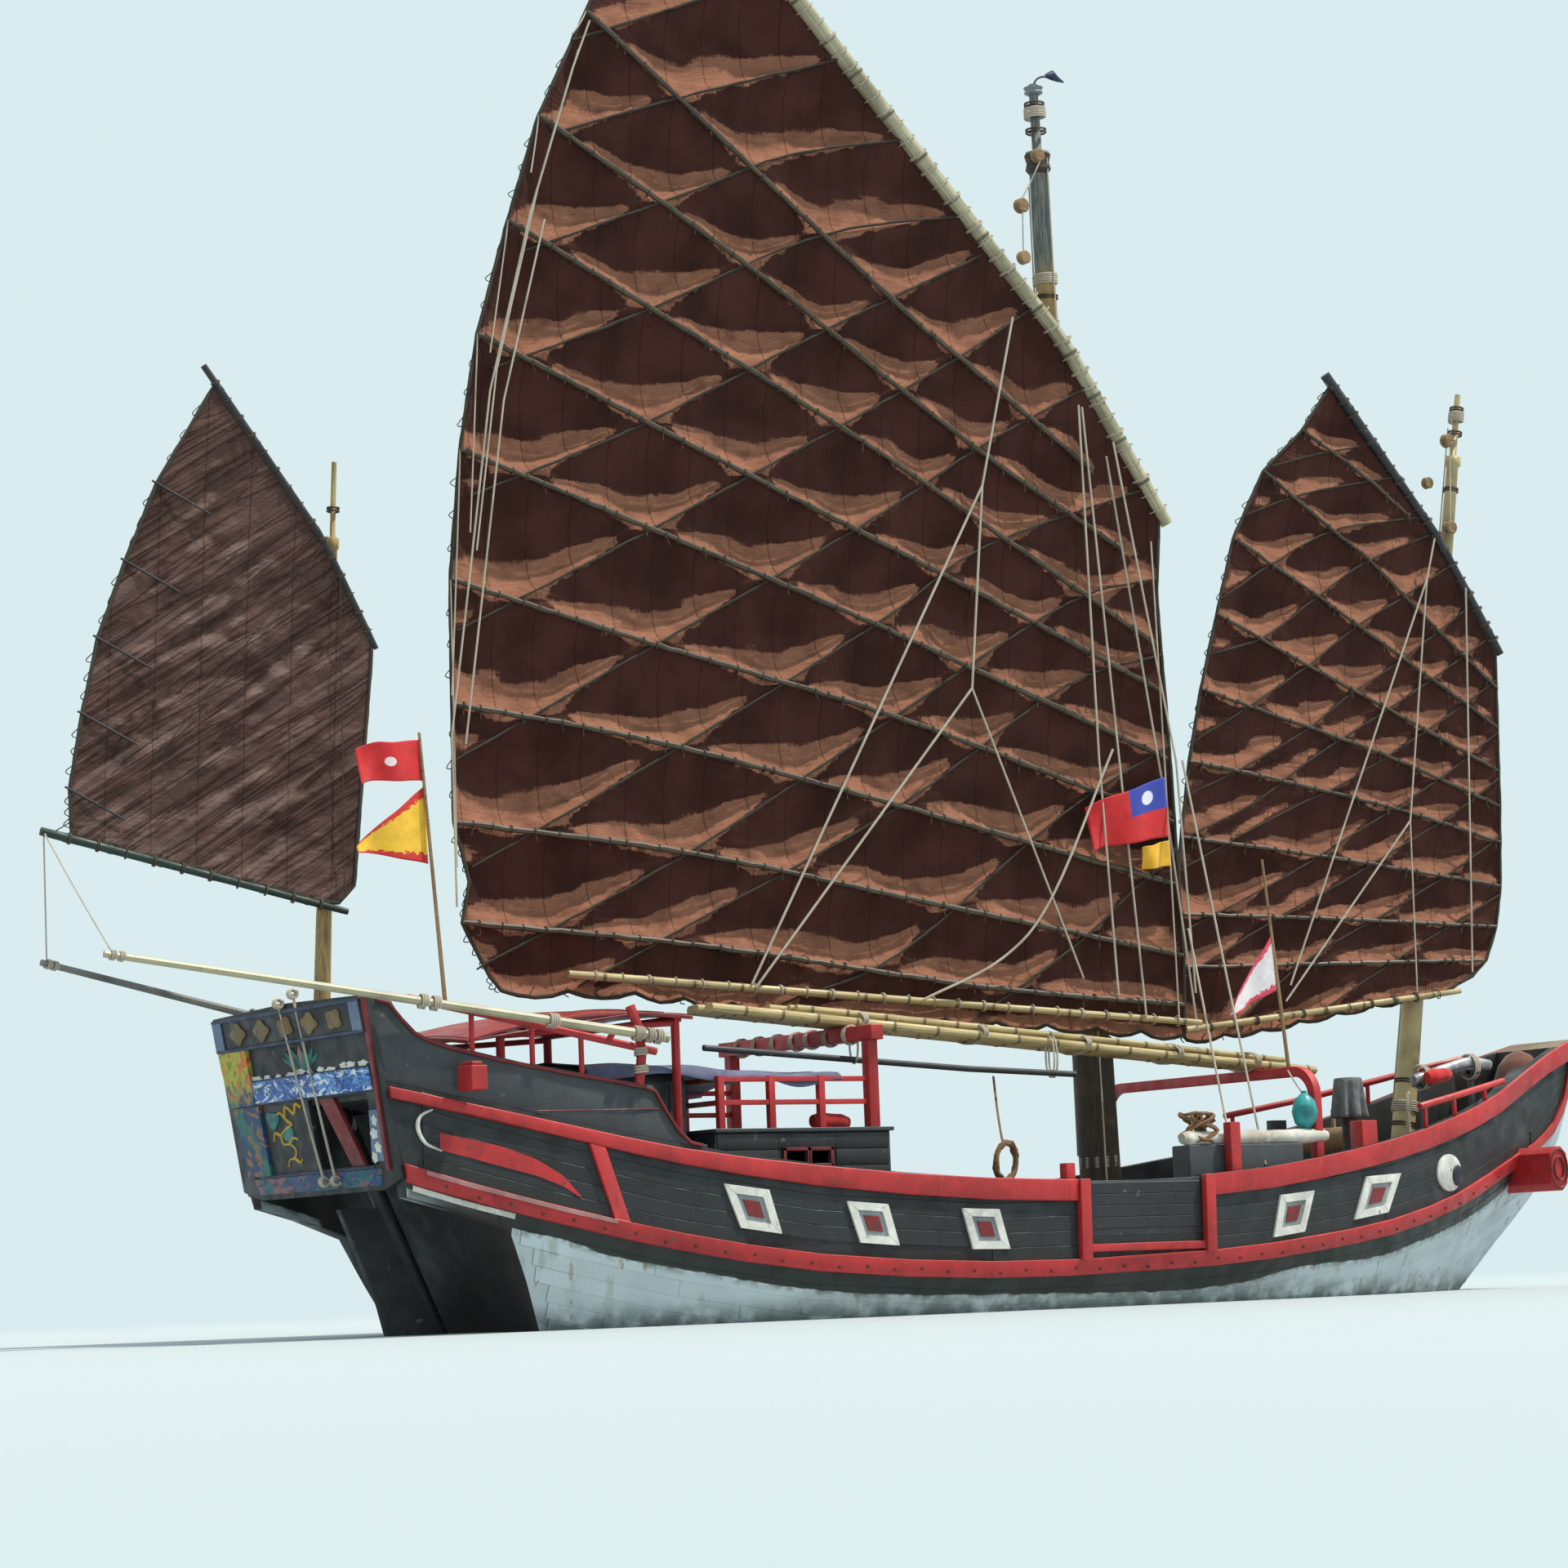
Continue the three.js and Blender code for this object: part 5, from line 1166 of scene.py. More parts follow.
def domed(verts, faces, held, load, step):
    """How far the cloth between its lines is blown out: a film under even load, held along the lines."""
    faces = np.array(faces)
    ends = np.vstack((faces[:, (0, 1)], faces[:, (1, 2)], faces[:, (2, 0)]))
    near = np.concatenate((ends[:, 0], ends[:, 1]))
    far = np.concatenate((ends[:, 1], ends[:, 0]))
    counts = np.maximum(np.bincount(near, minlength=len(verts)), 1)
    lift = np.zeros(len(verts))
    for _ in range(FILM_ROUNDS):
        lift = np.bincount(near, weights=lift[far], minlength=len(verts)) / counts + load * step * step / 4
        lift[held] = 0
    return lift


def creased(points, size, seed):
    """A rumple value at each flat point, from three scales of noise."""
    shift = Vector((seed * 3.1, seed * 1.7, 0))
    made = []
    for s, h in points:
        at = Vector((s, h, 0)) / size + shift
        waves = ((1, 1), (2.3, 0.5), (4.9, 0.25))
        made.append(sum(share * noise.noise(at * finer) for finer, share in waves))
    return np.array(made)


def facing_up(points, faces, lean):
    """How far each point's cloth faces a sky that leans to the bow, on the starboard side and smoothed."""
    faces = np.array(faces)
    a, b, c = (points[faces[:, k]] for k in range(3))
    normals = np.cross(b - a, c - a)
    normals *= np.where(normals[:, 1] > 0, -1.0, 1.0)[:, None]
    total = np.zeros_like(points)
    for k in range(3):
        np.add.at(total, faces[:, k], normals)
    total /= np.linalg.norm(total, axis=1)[:, None] + 1e-12
    value = total[:, 2] * math.cos(lean) + total[:, 0] * math.sin(lean)
    for _ in range(2):
        sums, counts = value.copy(), np.ones(len(value))
        for i, j in ((0, 1), (1, 0), (1, 2), (2, 1), (2, 0), (0, 2)):
            np.add.at(sums, faces[:, i], value[faces[:, j]])
            np.add.at(counts, faces[:, i], 1)
        value = sums / counts
    return value


def fold_slanting(points, verts, out):
    """Long slanting folds, as on a sail with no battens."""
    way = math.radians(38)
    across = -verts[:, 0] * math.sin(way) + verts[:, 1] * math.cos(way)
    along = verts[:, 0] * math.cos(way) + verts[:, 1] * math.sin(way)
    across += 0.099 * creased(verts, 1.1, 9)
    fold = creased(np.column_stack((across * 4.2, along * 0.5)), 0.6, 5)
    points[:, 1] += 0.05 * np.clip(out / 0.05, 0, 1) * fold


def build_sail(rig, step, load, depth, sag, material):
    """A sail's cloth: pockets between the lines that sag, with painted light along their lower side, where
    they face up.
    """
    off, place = MASTS[rig]["off"], rig_place(rig)
    verts, faces, held = sail_mesh(rig, step)
    lift = domed(verts, faces, held, load, step)
    near_mast = np.clip(1 - np.abs(verts[:, 0]) / 0.6, 0, 1)
    room = depth * (1 - near_mast) + min(0.09, depth) * near_mast
    lift = lift * (1 + 0.35 * creased(verts, 1.3, 4))
    out = room * np.tanh(lift / room)
    points = np.column_stack((verts[:, 0], out, verts[:, 1] - sag * out))
    if rig == "mizzen":
        fold_slanting(points, verts, out)
    points[:, 1] += 0.014 * creased(verts * (1, 1.6), 0.34, 1) * np.clip(out / 0.04, 0, 1)
    # painted light: cloth that faces up, towards a sky leaning 9 degrees to the bow, gets the lit tone
    up = facing_up(points, faces, math.radians(9))
    bleach = np.clip((up + 0.01) / 0.17, -0.6, 1.4)
    faces = [tuple(reversed(f)) for f in faces]
    flats = [(verts[i][0] * math.cos(0.05), verts[i][1]) for f in faces for i in f]
    points = [place @ Vector((p[0], p[1] + off, p[2])) for p in points]
    piece = cloth(rig + "_sail_cloth", points, faces, 0.006, flats, bleach)
    settle(piece, rig + "_rig", material, (rig + "_sail",))


def ropey(work, path, radius, wander, draw, sides=6, step=0.12):
    """A spar or rope sewn to a sail: not quite straight, never quite even."""
    path = stretch(path, step)
    radii = [radius * draw.uniform(0.82, 1.15) for _ in path]
    radii[0] = radii[-1] = radius * 0.7
    moved = [p + Vector((0, 0, draw.uniform(-wander, wander))) for p in path]
    work.tube(moved, radii, sides, [draw.random() for _ in path])


def build_lattice(rig, thick, thin, seed):
    """Battens with their lacing, thin sewn ropes and the rope round the sail's edge."""
    spec, off, place, body = SAILS[rig], MASTS[rig]["off"], rig_place(rig), rig + "_rig"
    draw = random.Random(seed)
    spars, lacing, ropes, edge = Work(), Work(), Work(), Work()
    front = off - thick - 0.006
    for line in spec["battens"]:
        path = curved([Vector((s, front, h)) for s, h in line], 5)
        ropey(spars, [place @ p for p in path], thick, 0.006, draw)
        knots = stretch(path, 0.24)
        for a, b in zip(knots, knots[1:]):
            spot = a.lerp(b, draw.uniform(0.2, 0.8))
            along = place.to_3x3() @ (b - a)
            loops(lacing, place @ spot, along, thick * 1.05, 0.0055, draw.choice((1, 2, 2)))
            if draw.random() < 0.55:
                hair = [spot, spot + Vector((draw.uniform(-0.03, 0.03), -0.02, -draw.uniform(0.04, 0.12)))]
                lacing.tube([place @ p for p in curved(hair, 3)], 0.004, 4)
    for line in spec["ropes"]:
        path = curved([Vector((s, off - thin - 0.004, h)) for s, h in line], 5)
        ropey(ropes, [place @ p for p in path], thin, 0.005, draw)
    outline = with_scallops(rig)
    border = [place @ Vector((s, off, h)) for s, h in (*outline, outline[0])]
    ropey(edge, border, 0.02, 0.004, draw, step=0.1)
    leech = [Vector((s, off, h)) for s, h in spec["edge"] if s < -0.8]
    for a, b in zip(leech, leech[1:]):
        for share in (0.25, 0.5, 0.75):
            spot = a.lerp(b, share)
            out = Vector((-draw.uniform(0.03, 0.08), 0, -draw.uniform(0, 0.05)))
            bend = [spot + Vector((0, 0, 0.05)), spot + out, spot - Vector((0, 0, 0.06))]
            edge.tube([place @ p for p in curved(bend, 4)], 0.006, 4)
    if spec["battens"]:
        settle(spars.make(rig + "_battens"), body, "batten_bamboo")
        settle(lacing.make(rig + "_batten_lacing"), body, "worn_cord")
    if spec["ropes"]:
        settle(ropes.make(rig + "_sewn_ropes"), body, "dark_cord")
    settle(edge.make(rig + "_bolt_rope"), body, "dark_cord")


# Each spar: its line as s and h, its radius, how far it stands off the sail, and its finish
SPARS = {
    "main": {
        "yard": (((-4.66, 15.36), (-0.04, 9.84), (1.14, 7.82)), 0.095, 0, "grey_bamboo"),
        "boom": (((-6.33, 2.97), (1.12, 2.28)), 0.045, -0.075, "bamboo"),
    },
    "fore": {
        "yard": (((-2.04, 9.1), (-0.36, 7.52), (0.66, 6.28)), 0.062, 0, "dark_paint"),
        "boom": (((-3.18, 1.16), (0.39, 2.2)), 0.042, -0.07, "bamboo"),
    },
    "mizzen": {
        "yard": (((-1.45, 7.18), (-0.17, 5.56), (0.41, 4.5)), 0.034, 0, "dark_paint"),
        "boom": (((-2.93, 2.46), (0.17, 1.86)), 0.043, 0, "dark_green_paint"),
    },
}


def bamboo_pole(work, path, radius, pitch, draw, sides=12):
    """A bamboo pole along a path, with its joints about one pitch apart."""
    path = stretch(path, 0.06)
    runs = [0.0]
    for a, b in zip(path, path[1:]):
        runs.append(runs[-1] + (b - a).length)
    total = runs[-1]
    marks = [(0.0, radius * 0.9, 0.0)]
    at = pitch * draw.uniform(0.4, 1)
    while at < total - 0.08:
        half = at + pitch * 0.5
        for step, wide, joint in (
            (-0.03, 0.97, 0.1), (-0.008, 1.09, 1.0), (0.008, 1.07, 1.0), (0.03, 0.96, 0.1),
        ):
            marks.append((at + step, radius * wide, joint))
        if half < total - 0.08:
            marks.append((half, radius * 0.94, 0.0))
        at += pitch * draw.uniform(0.85, 1.15)
    marks.append((total, radius * 0.86, 0.0))
    marks.sort()
    points = [[float(np.interp(run, runs, [p[i] for p in path])) for i in range(3)] for run, _, _ in marks]
    radii = [wide * (1.06 - 0.22 * run / total) for run, wide, _ in marks]
    work.tube(points, radii, sides, [joint for _, _, joint in marks])


def build_spars(rig):
    """A rig's yard and boom with the lacing that holds the sail."""
    off, place, draw, body = MASTS[rig]["off"], rig_place(rig), random.Random(rig), rig + "_rig"
    for key, pitch in (("yard", 0.55), ("boom", 0.5)):
        line, radius, shift, material = SPARS[rig][key]
        pole = Work()
        bamboo_pole(pole, [place @ Vector((s, off + shift, h)) for s, h in line], radius, pitch, draw)
        piece = pole.make(rig + "_" + key + "_pole", value_name="joint")
        settle(piece, body, material, (rig + "_" + key,))
    lacing = Work()
    for key, gap in (("yard", 0.2), ("boom", 0.3)):
        line, radius, shift, _ = SPARS[rig][key]
        path = stretch([Vector((s, off + shift, h)) for s, h in line], gap)
        for a, b in zip(path[1:], path[2:]):
            loops(lacing, place @ a, place.to_3x3() @ (b - a), radius * 1.08, 0.007, draw.choice((1, 2)))
    settle(lacing.make(rig + "_spar_lacing"), body, "pale_cord" if rig == "main" else "worn_cord")


# Rigid pieces


def shaped_box(low, high, edge):
    """A box between two corners with eased edges."""
    low, high = Vector(low), Vector(high)
    bpy.ops.mesh.primitive_cube_add(size=1)
    piece = bpy.context.object
    piece.data.transform(Matrix.Diagonal((*(high - low), 1)))
    edited(piece, ("bevel", {"offset": edge, "segments": 2, "affect": "EDGES"}))
    piece.data.transform(Matrix.Translation((low + high) / 2))
    return piece


def turned(name, profile, sides=24, place=None):
    """A body of revolution about Z from a profile of radii and heights, moved to its place."""
    runs = [(i, i + 1) for i in range(len(profile) - 1)]
    piece = linked(name, [(r, 0, z) for r, z in profile], runs, [])
    edited(piece, ("spin", {"steps": sides, "angle": 2 * math.pi, "center": (0, 0, 0), "axis": (0, 0, 1)}),
           ("remove_doubles", {"threshold": MERGE}), ("normals_make_consistent", {"inside": False}))
    bpy.ops.object.shade_smooth_by_angle(angle=math.radians(40))
    if place is not None:
        piece.data.transform(place)
    return piece


def joined(name, parts):
    focus(parts[0])
    for part in parts:
        part.select_set(True)
    if len(parts) > 1:
        bpy.ops.object.join()
    piece = bpy.context.view_layer.objects.active
    piece.name = piece.data.name = name
    focus(piece)
    bpy.ops.object.shade_smooth_by_angle(angle=math.radians(40))
    return piece


def boxes(name, spans, edge, material):
    """Boxes with eased edges that are one piece of the ship."""
    return settle(joined(name, [shaped_box(low, high, edge) for low, high in spans]), "ship", material)


def wall_board(x0, x1, y, half, z0, z1):
    """The corners of a board flat against a wall at y."""
    return (x0, y - half, z0), (x1, y + half, z1)


def turned_to(spot, way=(0, 0, 1), size=1.0):
    """The place at that spot with its Z along way."""
    turn = Vector((0, 0, 1)).rotation_difference(Vector(way)).to_matrix().to_4x4()
    return Matrix.Translation(spot) @ turn @ Matrix.Scale(size, 4)


def pulley(spot, way, size=1.0):
    """A wooden block with two cheeks and a sheave."""
    place = turned_to(spot, way, size)
    lying = Matrix.Rotation(math.pi / 2, 4, "X")
    cheek = [(0.0, -0.012), (0.055, -0.012), (0.07, 0.0), (0.055, 0.012), (0.0, 0.012)]
    sheave = [(0.0, -0.018), (0.045, -0.018), (0.034, 0.0), (0.045, 0.018), (0.0, 0.018)]
    fat = Matrix.Scale(1.5, 4, (0, 0, 1))
    parts = [turned("cheek", cheek, 16, place @ Matrix.Translation((0, lift, 0)) @ lying @ fat)
             for lift in (-0.03, 0.03)]
    return joined("block", [*parts, turned("sheave", sheave, 16, place @ lying)])


# Transom


def on_transom(y, z, out=0.0):
    lean = TRANSOM_FACE["rake"]
    x = TRANSOM_FACE["x"] - (z - TRANSOM_FACE["z"]) * lean
    return Vector((x, y, z)) + Vector((-1, 0, -lean)).normalized() * out


def relief(work, outline, low, high, eased=0.3):
    """A flat board on the transom; outline is its (y, z) corners."""
    middle = [sum(p[i] for p in outline) / len(outline) for i in (0, 1)]
    work.loft([[on_transom(*between(middle, p, share), out) for p in outline]
               for out, share in ((low, 1), (low + (high - low) * 0.6, 1), (high, 1 - eased * 0.12))])


def panel(work, y0, y1, z0, z1, low, high):
    """An upright board on the transom."""
    relief(work, [(y0, z0), (y1, z0), (y1, z1), (y0, z1)], low, high, 0.05)


def blob(y, z, wide, high, bumps, seed, sides=28):
    """A rounded outline with soft bumps."""
    phase = random.Random(seed).uniform(0, 6)
    points = []
    for k in range(sides):
        angle = 2 * math.pi * k / sides
        r = 1 + 0.16 * math.sin(bumps * angle + phase)
        points.append((y + wide * r * math.cos(angle), z + high * r * math.sin(angle)))
    return points


# Painted ribbons of the transom: y, z
RIBBONS = (
    ((0.1, 2.22), (0.2, 2.26), (0.27, 2.17), (0.36, 2.22), (0.44, 2.24), (0.47, 2.13), (0.36, 2.07),
     (0.5, 2.03),
     (0.62, 1.97), (0.6, 1.89), (0.46, 1.88), (0.37, 1.82), (0.42, 1.75), (0.54, 1.73), (0.58, 1.67)),
    ((0.47, 2.13), (0.56, 2.19), (0.66, 2.17)),
    ((0.62, 1.97), (0.74, 2.0), (0.8, 1.93)),
    ((0.46, 1.88), (0.4, 1.94), (0.28, 1.92)),
    ((0.42, 1.75), (0.33, 1.7), (0.27, 1.73)),
)
NAME_FRONT, WAVE_FRONT = 0.042, 0.032  # how far the two boards stand proud of the transom
# Ornament of the transom: its work, piece, finish and slot
ORNAMENT = (
    ("white", "foam", "white_paint", None), ("blue", "blue_boards", "pale_blue_paint", "blue_paint"),
    ("teal", "teal_leaves", "teal_paint", "green_paint"), ("yellow", "yellow_ribbons", "yellow_paint", None),
    ("pink", "pink_petal", "pink_paint", None), ("gold", "bronze_plaques", "gold_paint", None),
    ("trim", "board_trim", "navy_paint", None), ("red", "battens", "dull_red", "red_paint"),
    ("waves", "wave_field", "wave_strokes", "blue_paint"),
    ("evening", "evening_panel", "evening_strokes", None),
    ("frieze", "foot_frieze", "frieze_strokes", None), ("inner", "inner_panel", "dark_paint", "dark_paint"),
)


def build_transom():
    dress_all(
        ("transom", "dark_paint", "slate_paint"), ("name_board", "dark_paint", "blue_paint"),
        ("wave_board", "navy_paint", "blue_paint"), ("rudder", "dark_paint", "slate_paint"),
        ("tiller", "bare_wood"), ("rudder_bearing", "dark_paint"),
    )
    on = {work: Work() for work, *_ in ORNAMENT}
    for side in (-1, 1):
        corners = [(side * y, z) for y, z in ((1.36, 2.86), (1.55, 2.86), (1.55, 3.14), (1.36, 3.14))]
        relief(on["blue"], corners, NAME_FRONT, NAME_FRONT + 0.012)
    for k in range(5):
        relief(on["gold"], blob(-1.02 + k * 0.51, 3.0, 0.15, 0.095, 4, k), NAME_FRONT, NAME_FRONT + 0.014)
    for z in (2.855, 3.145):
        corners = [(-1.56, z - 0.014), (1.56, z - 0.014), (1.56, z + 0.014), (-1.56, z + 0.014)]
        relief(on["trim"], corners, NAME_FRONT, NAME_FRONT + 0.012)
    panel(on["waves"], -1.5, 0.94, 2.31, 2.52, WAVE_FRONT, WAVE_FRONT + 0.01)
    above = [(0.95, 2.295), (1.5, 2.295), (1.55, 2.84), (0.95, 2.84)]
    below = [(0.95, 1.6), (1.45, 1.6), (1.5, 2.29), (0.95, 2.29)]
    relief(on["evening"], above, 0.0, WAVE_FRONT + 0.012, 0.05)
    relief(on["evening"], below, -0.03, 0.012, 0.05)
    relief(on["frieze"], [(-1.28, 1.42), (1.28, 1.42), (1.34, 1.575), (-1.34, 1.575)], 0.0, 0.01, 0.05)
    panel(on["inner"], -0.05, 0.945, 1.6, 2.29, -0.06, -0.02)
    draw = random.Random(5)
    for k in range(11):
        y = -1.38 + k * 0.22 + draw.uniform(-0.05, 0.05)
        wide = draw.uniform(0.05, 0.11)
        relief(on["white"], blob(y, 2.535 + draw.uniform(0, 0.03), wide, 0.028, 5, k), 0.002, 0.018)
    for k, turn in enumerate((-1.15, -0.75, -0.38, 0.0, 0.38, 0.75, 1.15)):
        foot = (-0.12 + 0.09 * turn, 2.57)
        tip = (-0.12 + 0.42 * math.sin(turn), 2.58 + 0.23 * math.cos(0.8 * turn))
        middle = between(foot, tip, 0.55)
        leaf = [(foot[0] - 0.03, foot[1]), (middle[0] - 0.062, middle[1]), tip,
                (middle[0] + 0.062, middle[1]),
                (foot[0] + 0.03, foot[1])]
        relief(on["pink" if k == 3 else "teal"], leaf, 0.001, 0.007 + 0.004 * (k % 3))
    relief(on["teal"], blob(0.74, 2.13, 0.13, 0.085, 3, 2), -0.02, -0.008)
    relief(on["teal"], blob(0.46, 1.97, 0.12, 0.075, 3, 8), -0.02, -0.008)
    for line in RIBBONS:
        bend = curved([(y, z, 0) for y, z in line], 6)
        radii = [0.02 - 0.01 * k / len(bend) for k in range(len(bend))]
        on["yellow"].tube([on_transom(p.x, p.y, -0.018) for p in bend], radii, 7)
    relief(on["red"], [(-0.25, 2.29), (-0.55, 2.29), (-0.96, 1.6), (-0.7, 1.6)], -0.07, -0.03)
    relief(on["blue"], [(-1.18, 1.64), (-1.42, 1.64), (-1.47, 2.12), (-1.3, 2.12)], 0.0, 0.01, 0.05)
    foam = ((-1.38, 2.02, 0.05), (-1.33, 1.9, 0.07), (-1.36, 1.77, 0.06), (-1.26, 1.68, 0.05))
    for k, (y, z, wide) in enumerate(foam):
        relief(on["white"], blob(y, z, wide, 0.05, 5, k), 0.01, 0.018)
    relief(on["trim"], [(-1.2, 1.582), (1.2, 1.582), (1.2, 1.6), (-1.2, 1.6)], 0.0, 0.02)
    relief(on["red"], [(-1.57, 3.17), (-1.64, 3.18), (-1.52, 1.55), (-1.46, 1.55)], 0.0, 0.03)
    for work, name, material, slot in ORNAMENT:
        on[work].plates("transom_" + name, material, slot, True)
    ropes = Work()
    for head, foot in (((-8.2, 0.06, 3.22), -0.2), ((-8.2, -0.25, 3.29), -0.44)):
        foot = on_transom(foot, 1.5, 0.04)
        ropes.tube(hanging(head, foot, 0.03), 0.014, 7)
        loops(ropes, foot, (0, 1, 0), 0.03, 0.012)
        loops(ropes, head, (0, 1, 0), 0.03, 0.012)
    settle(ropes.make("transom_falls"), "ship", "pale_cord")


# Houses, rails and gallows


CANOPY_EDGE = ((-6.95, 2.86), (-5.0, 3.14), (-4.4, 3.1))
BUMPKINS = {  # the tip and heel of each
    -1: ((-10.65, -1.37, 3.55), (-5.15, -2.13, 2.74)),
    1: ((-10.07, 1.37, 3.71), (-5.15, 2.13, 2.74)),
}


def trim_bulwark(trim, name, side):
    """The red edge and the plank seams of a poop bulwark."""
    skin = Skin("poop_bulwark_" + name)
    tops = []
    for x in np.linspace(-8.02, -4.76, 28):
        spots = (skin.at(x, z, side, 0.004) for z in np.linspace(3.2, 1.7, 151))
        top = next((spot for spot in spots if spot is not None), None)
        if top is not None:
            tops.append(top + Vector((0, side * 0.004, -0.02)))
    trim.tube(tops, 0.017, 6)
    foot = min(p.z for p in tops)
    for z in (0.08, 0.36):
        seam = [skin.at(x, foot + z, side, 0.002) for x in np.linspace(-7.9, -4.9, 24)]
        seam = [p for p in seam if p is not None]
        if len(seam) > 4:
            trim.tube(seam, 0.005, 5)


def build_poop():
    dress_all(
        ("canopy_roof", "canopy", "canopy", 0.004), ("canopy_frame", "red_paint", "red_paint", 0.005),
        ("aft_cabin", "dark_paint", "dark_paint", 0.008), ("mizzen_mast_step", "dark_paint"),
    )
    trim, lashings, ribs = Work(), Work(), Work()
    draw = random.Random(3)
    for name, side in SIDES:
        dress_all(
            ("poop_bulwark_" + name, "slate_paint", "slate_paint"),
            ("poop_rail_" + name, "red_paint", "red_paint", 0.005),
            # the port bumpkin is darker than the starboard one, for weathering and painted shade
            ("bumpkin_" + name, "grey_bamboo" if side < 0 else "weathered_bamboo", "bamboo", 0),
        )
        trim_bulwark(trim, name, side)
        b, a = map(Vector, BUMPKINS[side])
        for x in (-5.25, -5.34, -5.46, -6.33, -7.5, -7.62):
            loops(lashings, a.lerp(b, (x - a.x) / (b.x - a.x)), b - a, 0.055, 0.011, draw.choice((3, 4)))
        for t in (0.985, 0.97):
            loops(lashings, a.lerp(b, t), b - a, 0.036, 0.008, 3)
        for z in (2.45, 2.62, 2.8):
            loops(lashings, (-5.37, side * 1.98, z), (0, 0, 1), 0.05, 0.012, 3)
        run = [(x, side * 1.39, line_at(CANOPY_EDGE, x) - 0.1) for x in np.linspace(-6.93, -4.42, 12)]
        ribs.tube(run, 0.014, 6)
    settle(trim.make("bulwark_red_trim"), "ship", "dull_red")
    settle(lashings.make("poop_lashings"), "ship", "pale_cord")
    for k in range(9):
        x = -6.9 + k * 0.31
        rise = line_at(CANOPY_EDGE, x)
        arch = [(x, y, rise - 0.09 * (y / 1.4) ** 2 + 0.004) for y in np.linspace(-1.38, 1.38, 18)]
        ribs.tube(arch, 0.011, 6)
    settle(ribs.make("canopy_ribs"), "ship", "dull_red")
    frames = [((-4.352, -0.86 + k * 0.62, 1.75), (-4.32, -0.44 + k * 0.62, 2.2)) for k in range(3)]
    boxes("cabin_shutters", frames, 0.008, "slate_paint")
    boards = [wall_board(-5.36 + k * 0.205, -5.175 + k * 0.205, side * 1.118, 0.01, 1.32, 2.36)
              for k in range(5) for side in (-1, 1)]
    boxes("cabin_boards", boards, 0.005, "dark_paint")


def build_houses():
    dress_all(
        ("deckhouse", "dark_paint", "dark_paint"), ("deckhouse_roof", "slate_paint", "slate_paint"),
        ("deckhouse_rail", "red_paint", "red_paint", 0.004),
        *((node, material, material, 0.008) for node, material in (
            ("aft_gallows", "red_paint"), ("fore_gallows", "red_paint"), ("hatch", "slate_paint"),
            ("windlass_bitts", "dark_paint"), ("windlass_drum", "bare_wood"), ("bow_crossbeam", "red_paint"),
            ("main_mast_step", "dark_paint"), ("fore_mast_step", "dark_paint"),
            ("bow_rail_starboard", "red_paint"), ("bow_rail_port", "red_paint"),
        )),
    )
    boards, frames, ends = [], [], Work()
    for side in (-1, 1):
        wall, front = side * 1.335, side * 1.345
        for z in (1.36, 1.525, 1.69):
            for x0, x1 in ((-4.13, -3.42), (-2.72, -2.08)):
                boards.append(wall_board(x0, x1, wall, 0.008, z, z + 0.155))
        boards.append(wall_board(-3.42, -2.72, wall, 0.008, 1.7, 1.84))
        for x0, x1 in ((-3.36, -3.04), (-3.06, -2.76)):
            for a, b, low, high in (
                (x0, x1, 1.50, 1.54), (x0, x1, 1.67, 1.705),
                (x0, x0 + 0.035, 1.50, 1.705), (x1 - 0.035, x1, 1.50, 1.705),
            ):
                frames.append(wall_board(a, b, front, 0.012, low, high))
        for radius, out in ((0.17, 0.006), (0.1, 0.014)):
            ring = ellipse((7.125, side * (1.38 + out), 1.325), (radius * 0.75, 0, 0), (0, 0, radius * 1.3))
            ends.tube(ring, 0.012, 6)
    boxes("deckhouse_boards", boards, 0.005, "dark_paint")
    boxes("deckhouse_partition", [((-3.95, -0.64, 0.8), (-2.25, -0.6, 1.82))], 0.006, "dark_paint")
    boxes("deckhouse_windows", frames, 0.004, "dull_red")
    hatch = [((-1.26 + k * 0.276, -0.72, 0.978), (-1.0 + k * 0.276, 0.72, 1.0)) for k in range(7)]
    boxes("hatch_boards", hatch, 0.006, "bare_wood")
    settle(ends.make("crossbeam_rings"), "ship", "dull_red")


def build_awning():
    """The faded tarpaulin over its CAD shape, with folds that hang over the edge."""
    length, wide = 64, 56
    points = []
    for i in range(length + 1):
        s = i / length
        for j in range(wide + 1):
            t = 2 * j / wide - 1
            crown = 2.613 - 0.126 * s - 0.06 * t * t
            sag = 0.022 * math.sin(9 * s + 2.2 * t) + 0.014 * math.sin(23 * s - 5 * t)
            sag += 0.012 * math.sin(15 * t + 3 * s)
            edge = -0.12 * max(0, abs(t) - 0.93) / 0.07 * (0.7 + 0.3 * math.sin(17 * s))
            x = -5.5 + 2.9 * s + 0.01 * math.sin(11 * t)
            points.append((x, (1.18 + 0.15 * s) * t, crown + sag * 0.7 + edge))
    piece = cloth("tarpaulin_awning", points, grid_faces(length, wide), 0.004)
    settle(piece, "ship", "tarpaulin", ("awning",))


